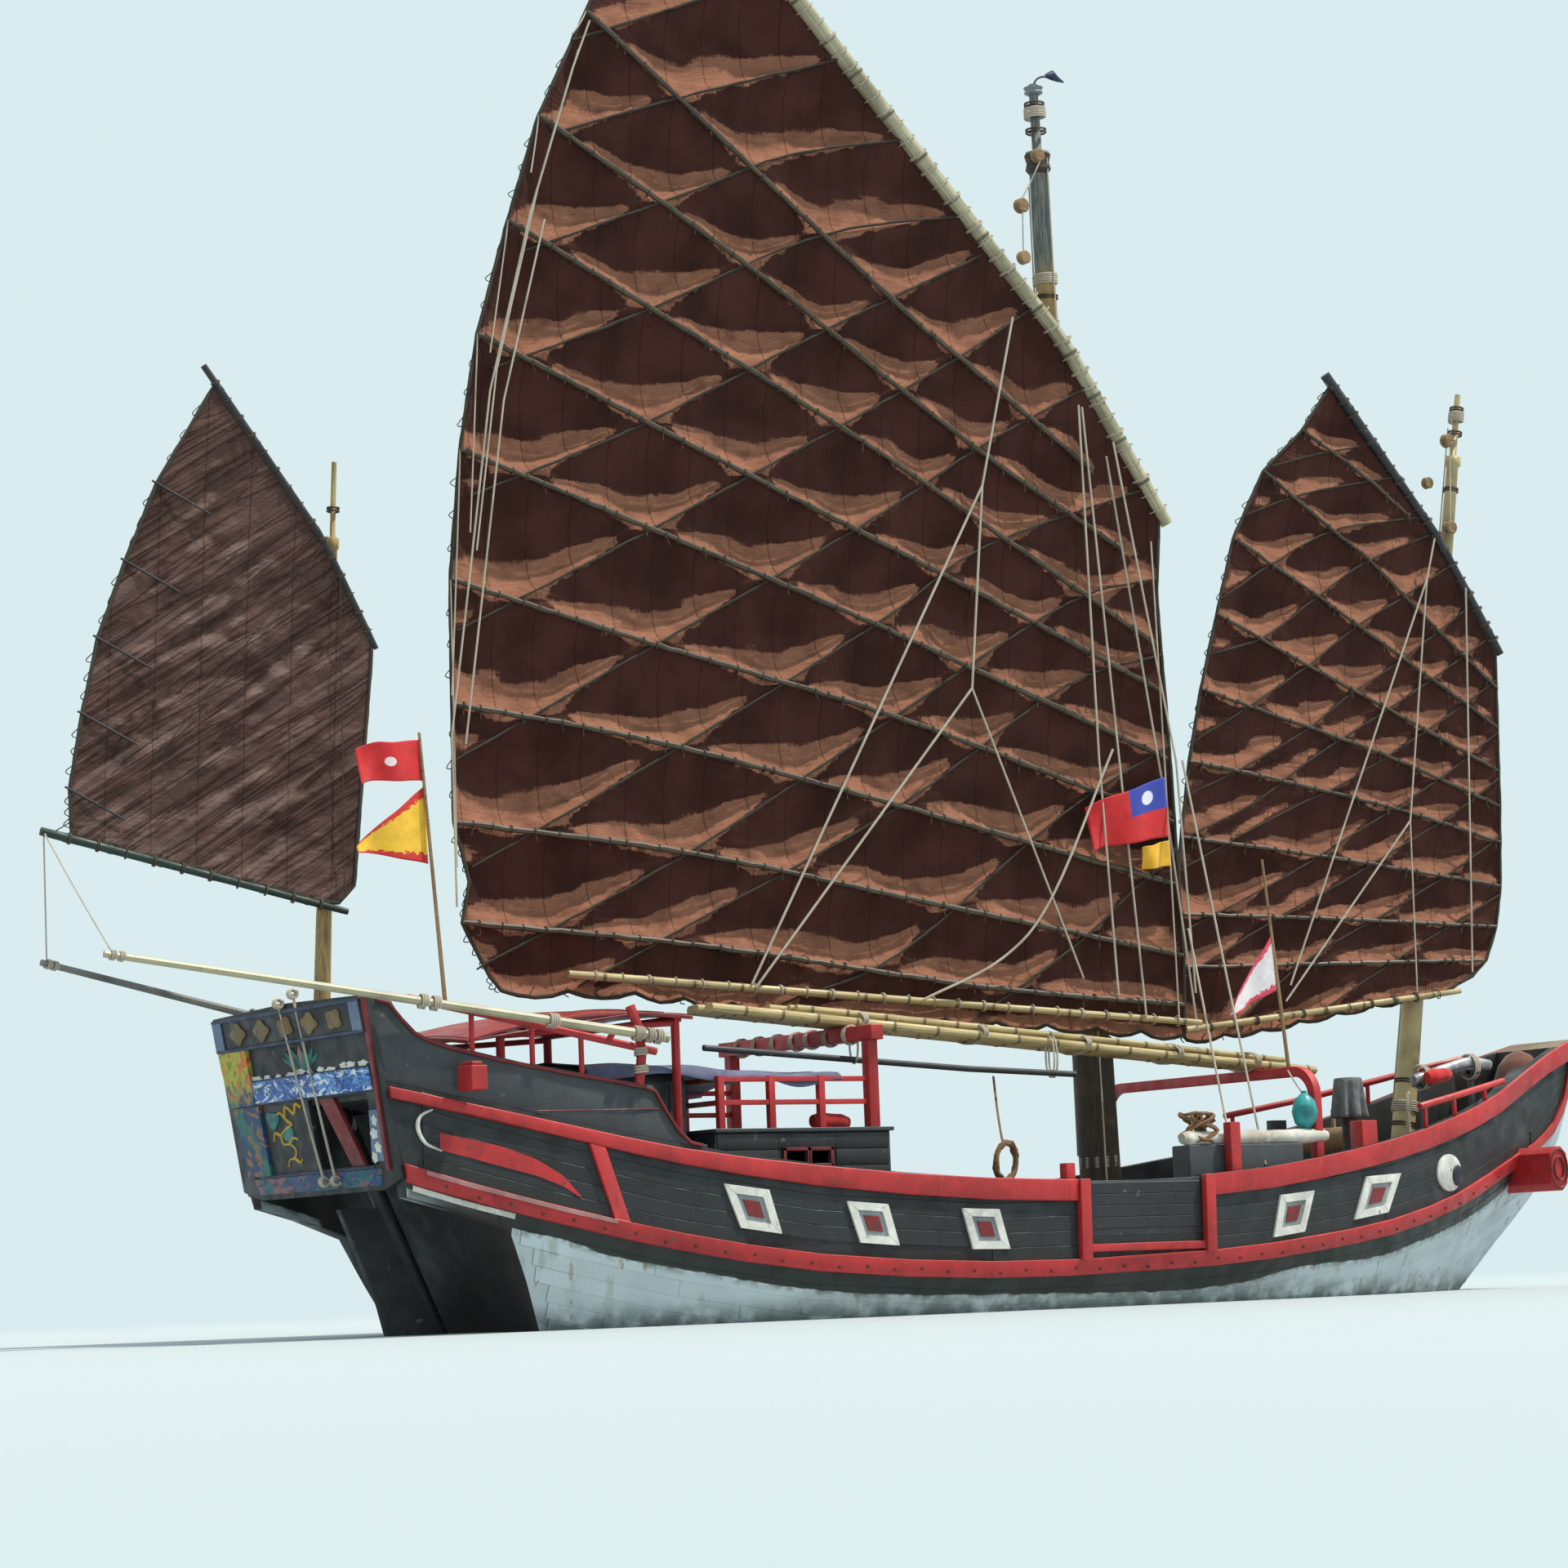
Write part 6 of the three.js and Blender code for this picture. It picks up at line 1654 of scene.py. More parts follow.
def build_spar_bundle():
    """Bamboo poles that lie on both gallows, lashed together."""
    work, lashings = Work(), Work()
    a, b = Vector((-2.155, 0, 2.93)), Vector((3.25, 0, 2.48))
    run = (b - a).normalized()
    draw = random.Random(12)
    for y in (-0.93, -0.822, -0.714, -0.606, -0.498):
        lift = Vector((0, y, 0.058))
        start = a + run * (-1.8 + draw.uniform(0, 0.12)) + lift
        end = b + run * (0.9 - draw.uniform(0, 0.25)) + lift
        bamboo_pole(work, [start, end], 0.05, 0.5, draw)
    for y, z in ((-0.86, 0.15), (-0.76, 0.155), (-0.65, 0.15)):
        start = a - run * draw.uniform(0.4, 1.5) + Vector((0, y, z))
        end = b + run * draw.uniform(-0.6, 0.5) + Vector((0, y, z))
        bamboo_pole(work, [start, end], 0.04, 0.42, draw, 10)
    settle(work.make("spare_poles", value_name="joint"), "ship", "bamboo", ("spar_bundle",))
    for t in (0.02, 0.3, 0.55, 0.78, 0.98):
        centre = a.lerp(b, t) + Vector((-0.02, -0.714, 0.09))
        for n in range(3):
            ring = ellipse(centre + Vector((n * 0.022, 0, 0)), (0, 0.28, 0), (0, 0, 0.105))
            lashings.tube(ring, 0.01, 6)
    for y in (-0.98, -0.62, -0.28, 0.0, 0.36, 0.72, 1.06):
        for n in range(3):
            ring = ellipse((-2.23, y + 0.024 * n, 2.855), (0.093, 0, 0), (0, 0, 0.096), 14)
            lashings.tube(ring, 0.011, 6)
    settle(lashings.make("gallows_lashings"), "ship", "pale_cord")


# Masts and rigging


def hoop(work, centre, axis, radius, rope):
    """A closed ring round an axis."""
    side, up = square_to(Vector(axis).normalized())
    work.tube(ellipse(centre, side * radius, up * radius, 21), rope, 6)


def mast_point(rig, h):
    return rig_place(rig) @ Vector((0, 0, h))


def beside(rig, h, turn):
    """A point on the mast's port side, just off its skin."""
    out = mast_radius(rig, h) + 0.022
    return mast_point(rig, h) + Vector((out * math.sin(turn), out * math.cos(turn), 0))


MAST_SIZES = {"main": (0.21, 0.1, 12.85), "fore": (0.14, 0.07, 9.4), "mizzen": (0.09, 0.05, 6.4)}


def mast_radius(rig, h):
    foot, head, length = MAST_SIZES[rig]
    return foot + (head - foot) * h / length


def rope_piece(name, body, material, radius, *lines, sag=0.0, steps=14):
    """One piece of ropes that each run from point to point."""
    work = Work()
    for line in lines:
        for a, b in zip(line, line[1:]):
            work.tube(hanging(a, b, sag, steps), radius, 6)
    return settle(work.make(name), body, material)


BAND_HEIGHTS = {
    "main": (0.6, 1.3, 2.1, 4.0, 6.2, 8.1, 10.4, 11.9, 12.3, 12.6),
    "fore": (0.6, 1.1, 3.0, 5.2, 6.9, 8.2, 8.9, 9.2),
    "mizzen": (0.5, 2.6, 4.4, 5.9),
}
BLOCKS = (
    ((1.3, -0.17, 12.7), 1.1), ((1.05, -0.16, 12.1), 1.2), ((1.02, -0.2, 11.5), 1.1),
    ((7.2, -0.16, 9.95), 1.2), ((7.14, -0.18, 8.9), 1.2), ((7.16, 0.18, 9.5), 1.0),
)


def build_masts():
    dress_all(("main_mast", "weathered_mast", "bare_wood", 0), ("fore_mast", "bamboo", "bamboo", 0),
              ("mizzen_mast", "mast_wood", "bare_wood", 0))
    bands, ropes = Work(), Work()
    for rig, heights in BAND_HEIGHTS.items():
        way = mast_point(rig, 1) - mast_point(rig, 0)
        for h in heights:
            for n in range(2):
                hoop(bands, mast_point(rig, h + 0.03 * n), way, mast_radius(rig, h) + 0.004, 0.012)
        for h in heights[::2]:
            loops(ropes, mast_point(rig, h + 0.22), way, mast_radius(rig, h) + 0.002, 0.011, 5)
    settle(bands.make("mast_bands"), "ship", "iron")
    settle(ropes.make("mast_seizings"), "ship", "pale_cord")
    blocks = [pulley(spot, (0.1, 0, 1), size) for spot, size in BLOCKS]
    settle(joined("mast_blocks", blocks), "ship", "bare_wood")
    made_fast = Vector((0, 0.06, 0))
    rope_piece(
        "halyard_falls", "ship", "pale_cord", 0.009,
        ((1.42, -0.12, 12.75), (1.05, -0.16, 12.16)), ((1.05, -0.18, 12.05), (1.02, -0.2, 11.55)),
        ((1.47, -0.12, 12.75), (1.5, -0.3, 1.3)), ((1.44, 0.13, 12.75), (1.95, 0.25, 1.2)),
        (beside("main", 11.7, -0.4), beside("main", 0.9, -0.4) + made_fast),
        (beside("main", 11.7, 0.9), beside("main", 0.9, 0.9) + made_fast),
        (beside("fore", 9.0, -0.4), beside("fore", 0.9, -0.4)),
        (beside("fore", 9.0, 0.9), beside("fore", 0.8, 0.9)), ((7.25, -0.15, 9.9), (7.16, -0.18, 8.98)),
        sag=0.02,
    )
    main = rig_place("main")
    sheath = [(0.222, 0.0), (0.232, 0.03), (0.226, 0.08), (0.218, 1.9), (0.224, 1.97), (0.205, 2.0)]
    piece = turned("main_mast_sheath", sheath, 28, main @ Matrix.Translation((0, 0, 0.18)))
    settle(piece, "ship", "tarred_wood")
    vane = Work()
    vane.tube(curved([(1.4, 0, 13.4), (1.44, 0, 13.6), (1.56, 0, 13.68), (1.7, 0, 13.66)], 5), 0.012, 8)
    blade = [(1.6, 0, 13.7), (1.68, 0, 13.72), (1.76, 0.01, 13.68), (1.86, 0.02, 13.66)]
    vane.tube(blade, [0.016, 0.05, 0.034, 0.01], 8)
    settle(vane.make("truck_vane"), "ship", "navy_paint")
    for name, h, wide, high, material in (
        ("masthead_collar", 11.95, 0.115, 0.26, "iron"), ("masthead_cap", 12.78, 0.085, 0.1, "grey_paint"),
    ):
        profile = [(0, -0.5), (0.9, -0.5), (1.25, -0.3), (1.1, 0), (1.3, 0.34), (0.8, 0.5), (0, 0.5)]
        profile = [(wide * r, high * z) for r, z in profile]
        settle(turned(name, profile, 20, main @ Matrix.Translation((0, 0, h))), "ship", material)


# The ropes along the main sail's after edge, as s and h
LEECH = (
    (-5.59, 12.99), (-5.82, 12.44), (-6.36, 10.91), (-6.91, 8.98), (-7.22, 7.1), (-7.5, 5.42), (-7.53, 3.67),
)
# Ropes that turn with a rig, as s, off and h: each piece's finish, and its ropes with their radii
RIG_ROPES = {
    "main": ("pale_cord", (
        (0.011, *((s, -0.52, h) for s, h in LEECH)),
        (0.011, *((s + 0.13, -0.56, h - 0.1) for s, h in LEECH[2:6])),
        (0.009, *((s + 0.05, -0.6, h + 0.2) for s, h in LEECH[1:5])),
        (0.014, (-0.72, -0.5, 10.05), (-1.28, -0.6, 8.14), (-4.3, -0.52, 2.82)),
        (0.014, (-1.28, -0.6, 8.14), (-1.55, -0.6, 5.93), (-4.26, -0.52, 2.78)),
        (0.012, (-1.55, -0.6, 5.93), (-0.37, -0.55, 2.79)),
        (0.013, (0.08, -0.5, 9.08), (0.41, -0.5, 2.33)),
        (0.013, (0.35, -0.5, 8.54), (0.81, -0.48, 4.92), (1.07, -0.46, 2.2)),
    )),
    "fore": ("pale_cord", (
        (0.012, (-0.42, -0.38, 7.45), (-0.51, -0.42, 6.93), (-1.9, -0.4, 1.88)),
        (0.012, (-0.51, -0.42, 6.93), (-0.49, -0.42, 4.04), (-1.94, -0.4, 1.69)),
        (0.01, (-0.49, -0.42, 4.04), (-0.21, -0.4, 2.08)),
        (0.012, (0.06, -0.38, 6.95), (0.52, -0.4, 2.44)),
    )),
    "mizzen": ("dark_cord", (
        (0.006, (-0.17, -0.26, 5.5), (-2.0, -0.28, 3.0), (-2.8, -0.24, 2.46)),
        (0.006, (0.0, -0.26, 5.2), (0.12, -0.26, 2.0)),
    )),
}
MAIN_BIGHT = ((0.17, -0.55, 5.28), (-0.71, -0.58, 3.68), (-1.35, -0.56, 3.03), (-2.31, -0.52, 2.61))


def rig_rope(work, rig, points, radius, sag=0.0):
    place = rig_place(rig)
    for a, b in zip(points, points[1:]):
        work.tube([place @ p for p in hanging(a, b, sag, 8)], radius, 6)


def crossing(name, rig, start, end, sag, steps, radius):
    """A rope from a turning rig to the ship."""
    start = rig_place(rig) @ Vector(start)
    work = Work()
    work.tube(hanging(start, end, sag, steps), radius, 6)
    piece = work.make(name)
    piece.data.materials.append(finish("pale_cord"))
    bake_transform(piece)


def build_running_ropes():
    """Ropes that turn with each rig, and those that cross to the ship."""
    for rig, (material, ropes) in RIG_ROPES.items():
        work = Work()
        for radius, *line in ropes:
            rig_rope(work, rig, line, radius)
        if rig == "main":
            for batten, (s1, h1) in zip(SAILS["main"]["battens"], LEECH[1:]):
                s, h = batten[0]
                end = (s1 + 0.02, -0.52, min(h - 0.3, h1 + 0.4))
                rig_rope(work, "main", [(s, -0.4, h), end], 0.008, 0.02)
            work.tube([rig_place("main") @ p for p in curved(MAIN_BIGHT, 6)], 0.014, 6)
        settle(work.make(rig + "_running_ropes"), rig + "_rig", material)
    for k, (start, end) in enumerate((
        ((0.42, -0.55, 8.69), (0.96, -0.55, 5.15)), ((0.01, -0.55, 9.09), (-0.01, -0.55, 5.19)),
    )):
        lead = Work()
        rig_rope(lead, "main", [start, end, (end[0] + 0.06, -0.55, 2.6)], 0.013)
        settle(lead.make("main_lead_" + str(k)), "main_rig", "pale_cord")
    crossing("main_fall_0", "main", (1.01, -0.6, 5.15), (2.36, -1.93, 1.42), 0.01, 30, 0.014)
    crossing("main_fall_1", "main", (0.95, -0.6, 3.3), (1.9, -1.95, 1.55), 0.01, 30, 0.014)
    tip = (-2.9, -0.22, 2.455)
    crossing("mizzen_sheet_starboard", "mizzen", tip, (-10.59, -1.37, 3.6), 0.015, 24, 0.008)
    crossing("mizzen_sheet_port", "mizzen", tip, (-10.02, 1.36, 3.75), 0.015, 24, 0.008)
    fittings, place = Work(), rig_place("mizzen")
    for s, h in SAILS["mizzen"]["edge"][1:6]:
        ends = [place @ Vector((s - 0.05, -0.235, h + 0.02)), place @ Vector((s + 0.55, -0.235, h - 0.26))]
        fittings.tube(stretch(ends, 0.1), 0.011, 6)
    settle(fittings.make("mizzen_short_battens"), "mizzen_rig", "dark_paint")


# Flags


def flag(name, corners, folds, material, seed, body, steps=26):
    """A flag between four corners, the first and last on its pole."""
    a, b, c, d = (Vector(p) for p in corners)
    phase = random.Random(seed).uniform(0, 6)
    points, flats = [], []
    for i in range(steps + 1):
        s = i / steps
        for j in range(steps + 1):
            t = j / steps
            out = folds * s * (math.sin(phase + 7 * s + 1.4 * t) + 0.5 * math.sin(13 * s - 3 * t + phase))
            droop = folds * s * (0.4 * math.sin(phase + 9 * s) - 0.9 * s * (1 - 0.3 * t))
            points.append(a.lerp(b, s).lerp(d.lerp(c, s), t) + Vector((0, out, droop)))
            flats.append((s, t))
    faces = [(p, s, r, q) for p, q, r, s in grid_faces(steps, steps)]
    piece = cloth(name, points, faces, 0.003, [flats[k] for face in faces for k in face])
    settle(piece, body, material)


def build_flags():
    dress_all(("stern_flagstaff", "bare_wood", "bamboo", 0), ("bow_flagstaff", "bare_wood", None, 0))
    place = rig_place("main")
    on_main = lambda *spots: [place @ Vector(spot) for spot in spots]
    line = Work()
    line.tube(on_main((0.85, -0.5, 7.6), (0.83, -0.52, 5.0), (0.82, -0.5, 2.3)), 0.01, 6)
    settle(line.make("signal_line"), "main_rig", "pale_cord")
    upper = on_main((0.82, -0.53, 4.98), (-0.18, -0.56, 4.7), (-0.16, -0.56, 4.2), (0.82, -0.53, 4.32))
    lower = on_main((0.82, -0.53, 4.28), (0.46, -0.55, 4.22), (0.46, -0.55, 3.97), (0.82, -0.53, 4.0))
    stern = [(-7.47, -1.6, 5.6), (-8.13, -1.6, 5.56), (-8.13, -1.6, 5.2), (-7.46, -1.6, 5.21)]
    below = [(-7.44, -1.6, 5.16), (-8.15, -1.6, 4.63), (-8.17, -1.6, 4.54), (-7.42, -1.6, 4.42)]
    bow = [(3.07, -1.4, 3.94), (2.43, -1.4, 3.14), (2.41, -1.4, 3.05), (3.08, -1.4, 3.31)]
    flag("signal_flag_upper", upper, 0.05, "signal_flag", 1, "main_rig")
    flag("signal_flag_lower", lower, 0.03, "yellow_cloth", 2, "main_rig")
    flag("stern_flag", stern, 0.05, "stern_flag", 3, "ship")
    flag("stern_pennant", below, 0.04, "fringed_flag", 4, "ship")
    flag("bow_pennant", bow, 0.04, "bow_flag", 5, "ship")


# Deck gear


def heap(work, centre, wide, high, rope, turns, seed):
    """A loose coil of rope."""
    draw = random.Random(seed)
    path = []
    for k in range(turns * 18):
        angle = 2 * math.pi * k / 18
        r = 0.55 + 0.45 * math.sin(k * 0.37 + seed)
        lift = high * (0.5 + 0.5 * math.sin(k * 0.21 + 1.3 * seed)) + draw.uniform(0, rope)
        x, y = wide * r * math.cos(angle), wide * 0.55 * r * math.sin(angle)
        path.append(Vector(centre) + Vector((x, y, lift)))
    work.tube(curved(path, 2), rope, 6)


def hank(work, centre, across, high, rope, turns, seed):
    """A coil hung up: long loops side by side that face abeam."""
    draw = random.Random(seed)
    path = []
    for k in range(turns * 20):
        angle = 2 * math.pi * k / 20
        wobble = 1 + draw.uniform(-0.08, 0.08)
        y = 0.07 * math.sin(k * 0.31) + draw.uniform(-0.01, 0.01)
        x, z = across * wobble * math.sin(angle), high * wobble * math.cos(angle)
        path.append(Vector(centre) + Vector((x, y, z)))
    work.tube(path, rope, 6)


def roll(name, a, b, radius, material, seed):
    """A rolled cloth with folds that run round it."""
    draw = random.Random(seed)
    work = Work()
    path = stretch([a, b], 0.03)
    radii = []
    for k in range(len(path)):
        shrink = min(1, 0.7 + 0.1 * min(k, len(path) - 1 - k))
        fold = 0.06 * math.sin(k * 0.23 + seed) + 0.03 * math.sin(k * 0.6) + draw.uniform(-0.01, 0.01)
        radii.append(radius * shrink * (1 + fold))
    work.tube(path, radii, 16)
    settle(work.make(name), "ship", material)


def build_covered_gear():
    """A grey cloth thrown over a winch head, with folds that open towards its hem."""
    x, y, top = 4.16, -1.25, 2.375
    rings, turns = 16, 60
    points = [(x, y, top)]
    for k in range(1, rings + 1):
        t = k / rings
        drop = 0.03 * t if t < 0.3 else 0.009 + 0.62 * (t - 0.3)
        reach = 0.15 * min(1.0, t / 0.3) ** 0.6 + 0.02 * max(0, t - 0.3)
        for j in range(turns):
            angle = 2 * math.pi * j / turns
            r = reach + max(0.0, t - 0.25) * (0.05 * math.sin(7 * angle + 1) + 0.025 * math.sin(12 * angle))
            points.append((x + r * math.cos(angle), y + r * math.sin(angle), top - drop))
    faces = [(0, 1 + j, 1 + (j + 1) % turns) for j in range(turns)]
    for k in range(rings - 1):
        a, b = 1 + k * turns, 1 + (k + 1) * turns
        faces += [(a + j, b + j, b + (j + 1) % turns, a + (j + 1) % turns) for j in range(turns)]
    piece = cloth("covered_gear", points, faces, 0.004)
    settle(piece, "ship", "grey_cloth")
    head = [(0.0, 1.3), (0.14, 1.3), (0.13, 1.4), (0.09, 1.5), (0.09, 2.1), (0.13, 2.2), (0.13, 2.34),
            (0.0, 2.35)]
    settle(turned("winch_head", head, 20, Matrix.Translation((x, y, 0))), "ship", "iron")


def build_deck_gear():
    brown, pale = Work(), Work()
    hank(brown, (-1.12, -2.03, 1.5), 0.17, 0.19, 0.022, 11, 3)
    brown.tube(hanging((-0.18, -0.6, 2.44), (-1.1, -1.98, 1.66), 0.12), 0.014, 6)
    heap(brown, (1.58, -1.8, 1.66), 0.24, 0.3, 0.02, 8, 2)
    heap(brown, (-6.0, 0.5, 1.36), 0.3, 0.1, 0.018, 5, 5)
    heap(brown, (5.3, 0.75, 1.34), 0.3, 0.1, 0.02, 6, 9)
    settle(brown.make("rope_coils_brown"), "ship", "brown_cord")
    hank(pale, (5.93, -0.24, 1.98), 0.07, 0.26, 0.014, 6, 4)
    heap(pale, (2.5, 0.9, 0.76), 0.3, 0.12, 0.018, 6, 7)
    settle(pale.make("rope_coils_pale"), "ship", "pale_cord")
    roll("white_roll", (1.3, -1.86, 1.71), (3.34, -1.8, 1.72), 0.075, "white_cloth", 1)
    roll("red_bundle", (-2.5, -0.6, 2.0), (-2.06, -0.6, 1.98), 0.085, "red_cloth", 7)
    roll("bow_red_lump", (5.55, -1.0, 2.38), (5.9, -0.98, 2.42), 0.09, "red_cloth", 3)
    buoy = [(0.0, -0.17), (0.06, -0.165), (0.13, -0.11), (0.165, 0.0), (0.13, 0.11), (0.06, 0.165),
            (0.035, 0.18), (0.035, 0.2), (0.0, 0.205)]
    basket = [(0.34, 0.0), (0.33, 0.05), (0.27, 0.13), (0.16, 0.19), (0.05, 0.215), (0.0, 0.22)]
    for name, profile, spot, size, material in (
        ("teal_buoy", buoy, (3.07, -1.78, 1.98), (0.86, 0.86, 1.1, 1), "teal_float"),
        ("brown_basket", basket, (7.72, -0.2, 2.301), (0.95, 0.85, 2.0, 1), "brown_cloth"),
    ):
        piece = turned(name, profile, 24, Matrix.Translation(spot) @ Matrix.Diagonal(size))
        settle(piece, "ship", material)
    rope_piece("buoy_lanyard", "ship", "pale_cord", 0.01, ((3.07, -1.78, 2.16), (3.1, -1.5, 2.44)), sag=0.01)
    build_covered_gear()
    pipes, pole, strops = Work(), Work(), Work()
    longer = [(5.44, -0.9, 2.36), (6.0, -0.9, 2.5), (6.31, -0.88, 2.56), (6.63, -0.86, 2.53)]
    pipes.tube(curved(longer, 5), 0.06, 12)
    pipes.tube(curved([(5.6, -0.77, 2.36), (6.1, -0.77, 2.46), (6.5, -0.75, 2.5)], 5), 0.045, 12)
    settle(pipes.make("wrapped_roll"), "ship", "silver_wrap")
    pole.tube(stretch([(-4.05, -1.02, 2.72), (-0.8, -1.02, 2.5), (0.6, -1.0, 2.44)], 0.4), 0.032, 8)
    settle(pole.make("dark_pole"), "ship", "dark_paint")
    for x, y, low, high in ((-2.23, -1.01, 2.56, 2.94), (0.3, -0.97, 2.41, 2.84), (0.34, -0.97, 2.41, 2.84)):
        ring = ellipse((x, y, (low + high) / 2), (0, 0.075, 0), (0, 0, (high - low) / 2), 20)
        strops.tube(ring, 0.011, 6)
    crutches = []
    for x, top, middle in ((5.62, 2.34, 2.39), (6.36, 2.47, 2.51)):
        loops(strops, (x, -0.84, middle), (1, 0, 0), 0.13, 0.012, 3)
        crutches += [((x - 0.03, -0.87, 1.302), (x + 0.03, -0.81, top)),
                     ((x - 0.03, -0.97, top - 0.05), (x + 0.03, -0.7, top + 0.01))]
    settle(strops.make("pole_strops"), "ship", "pale_cord")
    posts = [((1.8, -2.06, 0.722), (1.94, -1.935, 1.87)), ((-0.49, -2.2, 1.2), (-0.37, -2.08, 1.47)),
             ((3.88, -1.77, 0.722), (4.1, -1.56, 1.88))]
    boxes("side_locker", [((1.34, -1.93, 0.722), (2.9, -1.63, 1.64))], 0.02, "slate_paint")
    boxes("roll_crutches", crutches, 0.01, "slate_paint")
    boxes("bitt_posts", posts, 0.014, "red_paint")


# Stage


SKY_STRENGTH = 0.9
FLOOR_RADIUS = 900  # metres; it glows as the sky does from 60 m out, so that no edge shows
EYE = Vector((-26.278, -36.04, 0.35))
AIM = Vector((-26.278, -36.04, 0.027)) + Vector((0.54963, 0.82572, 0.12688)) * 42
UPWARD = Vector((-0.03849, -0.12669, 0.9912))  # the ship's heel in the photograph rolls the camera


def build_stage():
    scene = bpy.context.scene
    world = bpy.data.worlds.new("studio")
    scene.world = world
    world.use_nodes = True
    sky = linear(228, 247, 250)
    back = world.node_tree.nodes["Background"]
    back.inputs["Color"].default_value = (*sky, 1)
    back.inputs["Strength"].default_value = SKY_STRENGTH
    bpy.ops.mesh.primitive_circle_add(vertices=96, radius=FLOOR_RADIUS, fill_type="NGON", location=(0, 0, 0))
    floor = bpy.context.object
    floor.name = "stage_floor"
    f = Finish("stage_pale", 0.85)
    f.colour(linear(176, 184, 188))
    away = f.node("VectorMath", {0: f.place}, operation="LENGTH").outputs["Value"]
    glow = f.node("Emission", {"Color": sky, "Strength": SKY_STRENGTH})
    blend = f.node("MixShader", {0: f.span(away, 14, 60), 1: f.shader.outputs[0], 2: glow.outputs[0]})
    f.tree.links.new(blend.outputs[0], f.tree.nodes["Material Output"].inputs["Surface"])
    floor.data.materials.append(f.material)
    floor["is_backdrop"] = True
    sizes = scene.junk_sizes
    key = bpy.data.lights.new("key", "SUN")
    key.energy, key.angle, key.color = sizes.key_strength, math.radians(1.6), (1.0, 0.95, 0.86)
    lamp = bpy.data.objects.new("key", key)
    scene.collection.objects.link(lamp)
    azimuth, height = math.radians(sizes.key_azimuth), math.radians(sizes.key_height)
    level = math.cos(height)
    way = Vector((math.cos(azimuth) * level, math.sin(azimuth) * level, math.sin(height)))
    lamp.rotation_euler = way.to_track_quat("Z", "Y").to_euler()
    camera = bpy.data.cameras.new("camera")
    camera.lens, camera.sensor_width, camera.clip_end = 95.6, 36, 3000
    lens = bpy.data.objects.new("camera", camera)
    scene.collection.objects.link(lens)
    ahead = (AIM - EYE).normalized()
    right = ahead.cross(UPWARD.normalized()).normalized()
    up = right.cross(ahead)
    lens.matrix_world = Matrix.Translation(EYE) @ Matrix((right, up, -ahead)).transposed().to_4x4()
    scene.camera = lens
    scene.view_settings.view_transform = "Standard"


# Settings, operators and panel


def colour_setting(name, description, *rgb):
    colour = linear(*rgb)
    return FloatVectorProperty(name=name, description=description, subtype="COLOR", size=3, default=colour)


def length_setting(name, description, default):
    return FloatProperty(name=name, description=description, unit="LENGTH", default=default)


class JunkColours(bpy.types.PropertyGroup):
    planking: colour_setting("Planking", "Slate paint of the side", 28, 31, 34)
    bottom: colour_setting("Bottom", "Pale paint near the water", 186, 198, 202)
    red: colour_setting("Red", "Paint of the wales and rails", 178, 38, 40)
    bamboo: colour_setting("Bamboo", "Dry bamboo", 204, 184, 134)
    sail_deep: colour_setting("Sail, shaded", "Tanned cloth", 58, 33, 28)
    # the sail's lit tone: painted light where the cloth faces up
    sail_bleached: colour_setting("Sail, bleached", "Cloth that the sun has faded", 154, 104, 82)


class JunkSizes(bpy.types.PropertyGroup):
    plank_width: length_setting("Plank width", "Height of a strake", 0.15)
    plank_proud: length_setting("Plank relief", "Height of planks above the CAD side", 0.009)
    sail_step: length_setting("Sail mesh", "Spacing of the main sail's points", 0.062)
    sail_depth: length_setting("Belly", "Deepest belly of the main sail", 0.26)
    seed: IntProperty(name="Seed", description="Start of the random draws", default=11)
    key_strength: FloatProperty(name="Sun", description="Strength of the key light", default=3.8)
    key_azimuth: FloatProperty(name="Sun azimuth", description="Degrees from ahead, to port", default=-38)
    key_height: FloatProperty(name="Sun height", description="Degrees above the horizon", default=62)


class JUNK_OT_stage(bpy.types.Operator):
    """Floor, sky, light and camera"""

    bl_idname = "junk.stage"
    bl_label = "Stage"

    def execute(self, context):
        build_stage()
        return {"FINISHED"}


class JUNK_OT_hull(bpy.types.Operator):
    """Planks, wales, ports, eyes and side trim"""

    bl_idname = "junk.hull"
    bl_label = "Hull side"

    def execute(self, context):
        build_hull()
        return {"FINISHED"}


class JUNK_OT_transom(bpy.types.Operator):
    """Transom boards with their ornament, and the rudder"""

    bl_idname = "junk.transom"
    bl_label = "Transom"

    def execute(self, context):
        build_transom()
        return {"FINISHED"}


class JUNK_OT_poop(bpy.types.Operator):
    """Bulwarks, rails, bumpkins, canopy and aft cabin"""

    bl_idname = "junk.poop"
    bl_label = "Poop"

    def execute(self, context):
        build_poop()
        return {"FINISHED"}


class JUNK_OT_houses(bpy.types.Operator):
    """Deckhouse, gallows, hatch, windlass and bow"""

    bl_idname = "junk.houses"
    bl_label = "Houses and gallows"

    def execute(self, context):
        build_houses()
        build_awning()
        build_spar_bundle()
        return {"FINISHED"}


class JUNK_OT_masts(bpy.types.Operator):
    """Masts with bands, blocks and halyards"""

    bl_idname = "junk.masts"
    bl_label = "Masts"

    def execute(self, context):
        build_masts()
        return {"FINISHED"}


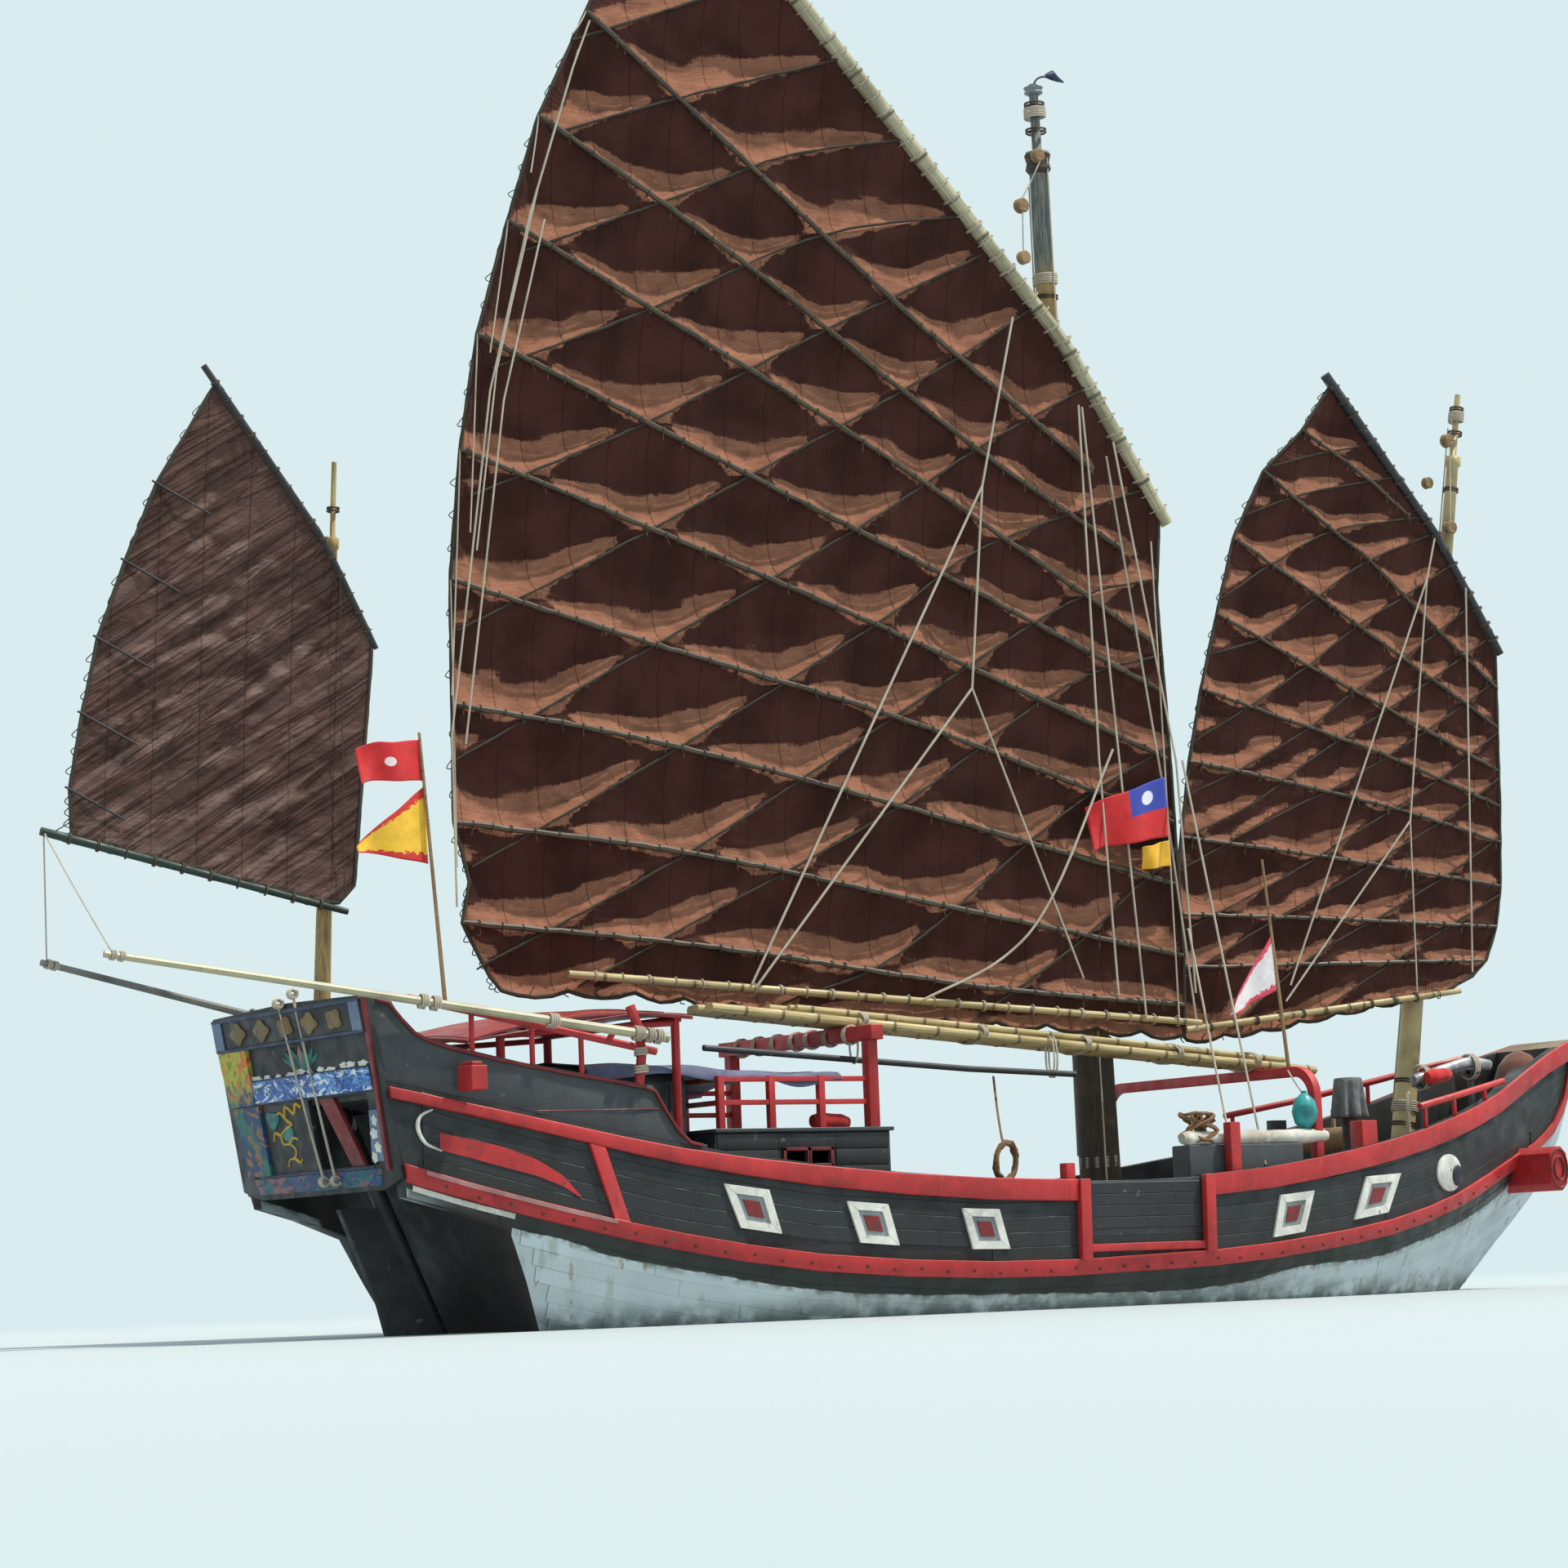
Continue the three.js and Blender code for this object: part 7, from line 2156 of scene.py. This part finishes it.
class JUNK_OT_sails(bpy.types.Operator):
    """Three sails with battens, ropes, yards and booms"""

    bl_idname = "junk.sails"
    bl_label = "Sails"

    def execute(self, context):
        sizes = context.scene.junk_sizes
        build_sail("main", sizes.sail_step, 3.4, sizes.sail_depth, 0.42, "sail_lattice")
        build_sail("fore", sizes.sail_step * 0.8, 4.4, sizes.sail_depth * 0.75, 0.42, "sail_lattice")
        build_sail("mizzen", sizes.sail_step * 0.6, 0.25, 0.11, 0.2, "sail_creased")
        build_lattice("main", 0.03, 0.015, sizes.seed)
        build_lattice("fore", 0.022, 0.012, sizes.seed + 1)
        build_lattice("mizzen", 0.012, 0.006, sizes.seed + 2)
        for rig in MASTS:
            build_spars(rig)
        return {"FINISHED"}


class JUNK_OT_ropes(bpy.types.Operator):
    """Ropes that turn with the rigs, and the mizzen's sheets"""

    bl_idname = "junk.ropes"
    bl_label = "Running ropes"

    def execute(self, context):
        build_running_ropes()
        return {"FINISHED"}


class JUNK_OT_flags(bpy.types.Operator):
    """Flagstaffs, flags and pennants"""

    bl_idname = "junk.flags"
    bl_label = "Flags"

    def execute(self, context):
        build_flags()
        return {"FINISHED"}


class JUNK_OT_gear(bpy.types.Operator):
    """Coils, rolls, buoy and other gear on deck"""

    bl_idname = "junk.gear"
    bl_label = "Deck gear"

    def execute(self, context):
        build_deck_gear()
        return {"FINISHED"}


class JUNK_PT_panel(bpy.types.Panel):
    """Settings and steps of the junk"""

    bl_idname = "JUNK_PT_panel"
    bl_label = "Junk"
    bl_space_type = "VIEW_3D"
    bl_region_type = "UI"
    bl_category = "Junk"

    def draw(self, context):
        for group in (context.scene.junk_colours, context.scene.junk_sizes):
            box = self.layout.box()
            for key in group.__annotations__:
                box.prop(group, key)
        for step in STEPS:
            self.layout.operator(step.bl_idname)


STEPS = (
    JUNK_OT_stage, JUNK_OT_hull, JUNK_OT_transom, JUNK_OT_poop, JUNK_OT_houses, JUNK_OT_masts, JUNK_OT_sails,
    JUNK_OT_ropes, JUNK_OT_flags, JUNK_OT_gear,
)


def register():
    for kind in (JunkColours, JunkSizes, *STEPS, JUNK_PT_panel):
        bpy.utils.register_class(kind)
    bpy.types.Scene.junk_colours = PointerProperty(type=JunkColours)
    bpy.types.Scene.junk_sizes = PointerProperty(type=JunkSizes)


def unregister():
    del bpy.types.Scene.junk_colours
    del bpy.types.Scene.junk_sizes
    for kind in reversed((JunkColours, JunkSizes, *STEPS, JUNK_PT_panel)):
        bpy.utils.unregister_class(kind)


def main():
    register()
    bpy.ops.junk.stage()
    bpy.ops.junk.hull()
    bpy.ops.junk.transom()
    bpy.ops.junk.poop()
    bpy.ops.junk.houses()
    bpy.ops.junk.masts()
    bpy.ops.junk.sails()
    bpy.ops.junk.ropes()
    bpy.ops.junk.flags()
    bpy.ops.junk.gear()
    low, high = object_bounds()
    {"cad": [list(c) for c in CAD_BOX], "visual": [list(low), list(high)]}


if __name__ == "__main__":
    main()
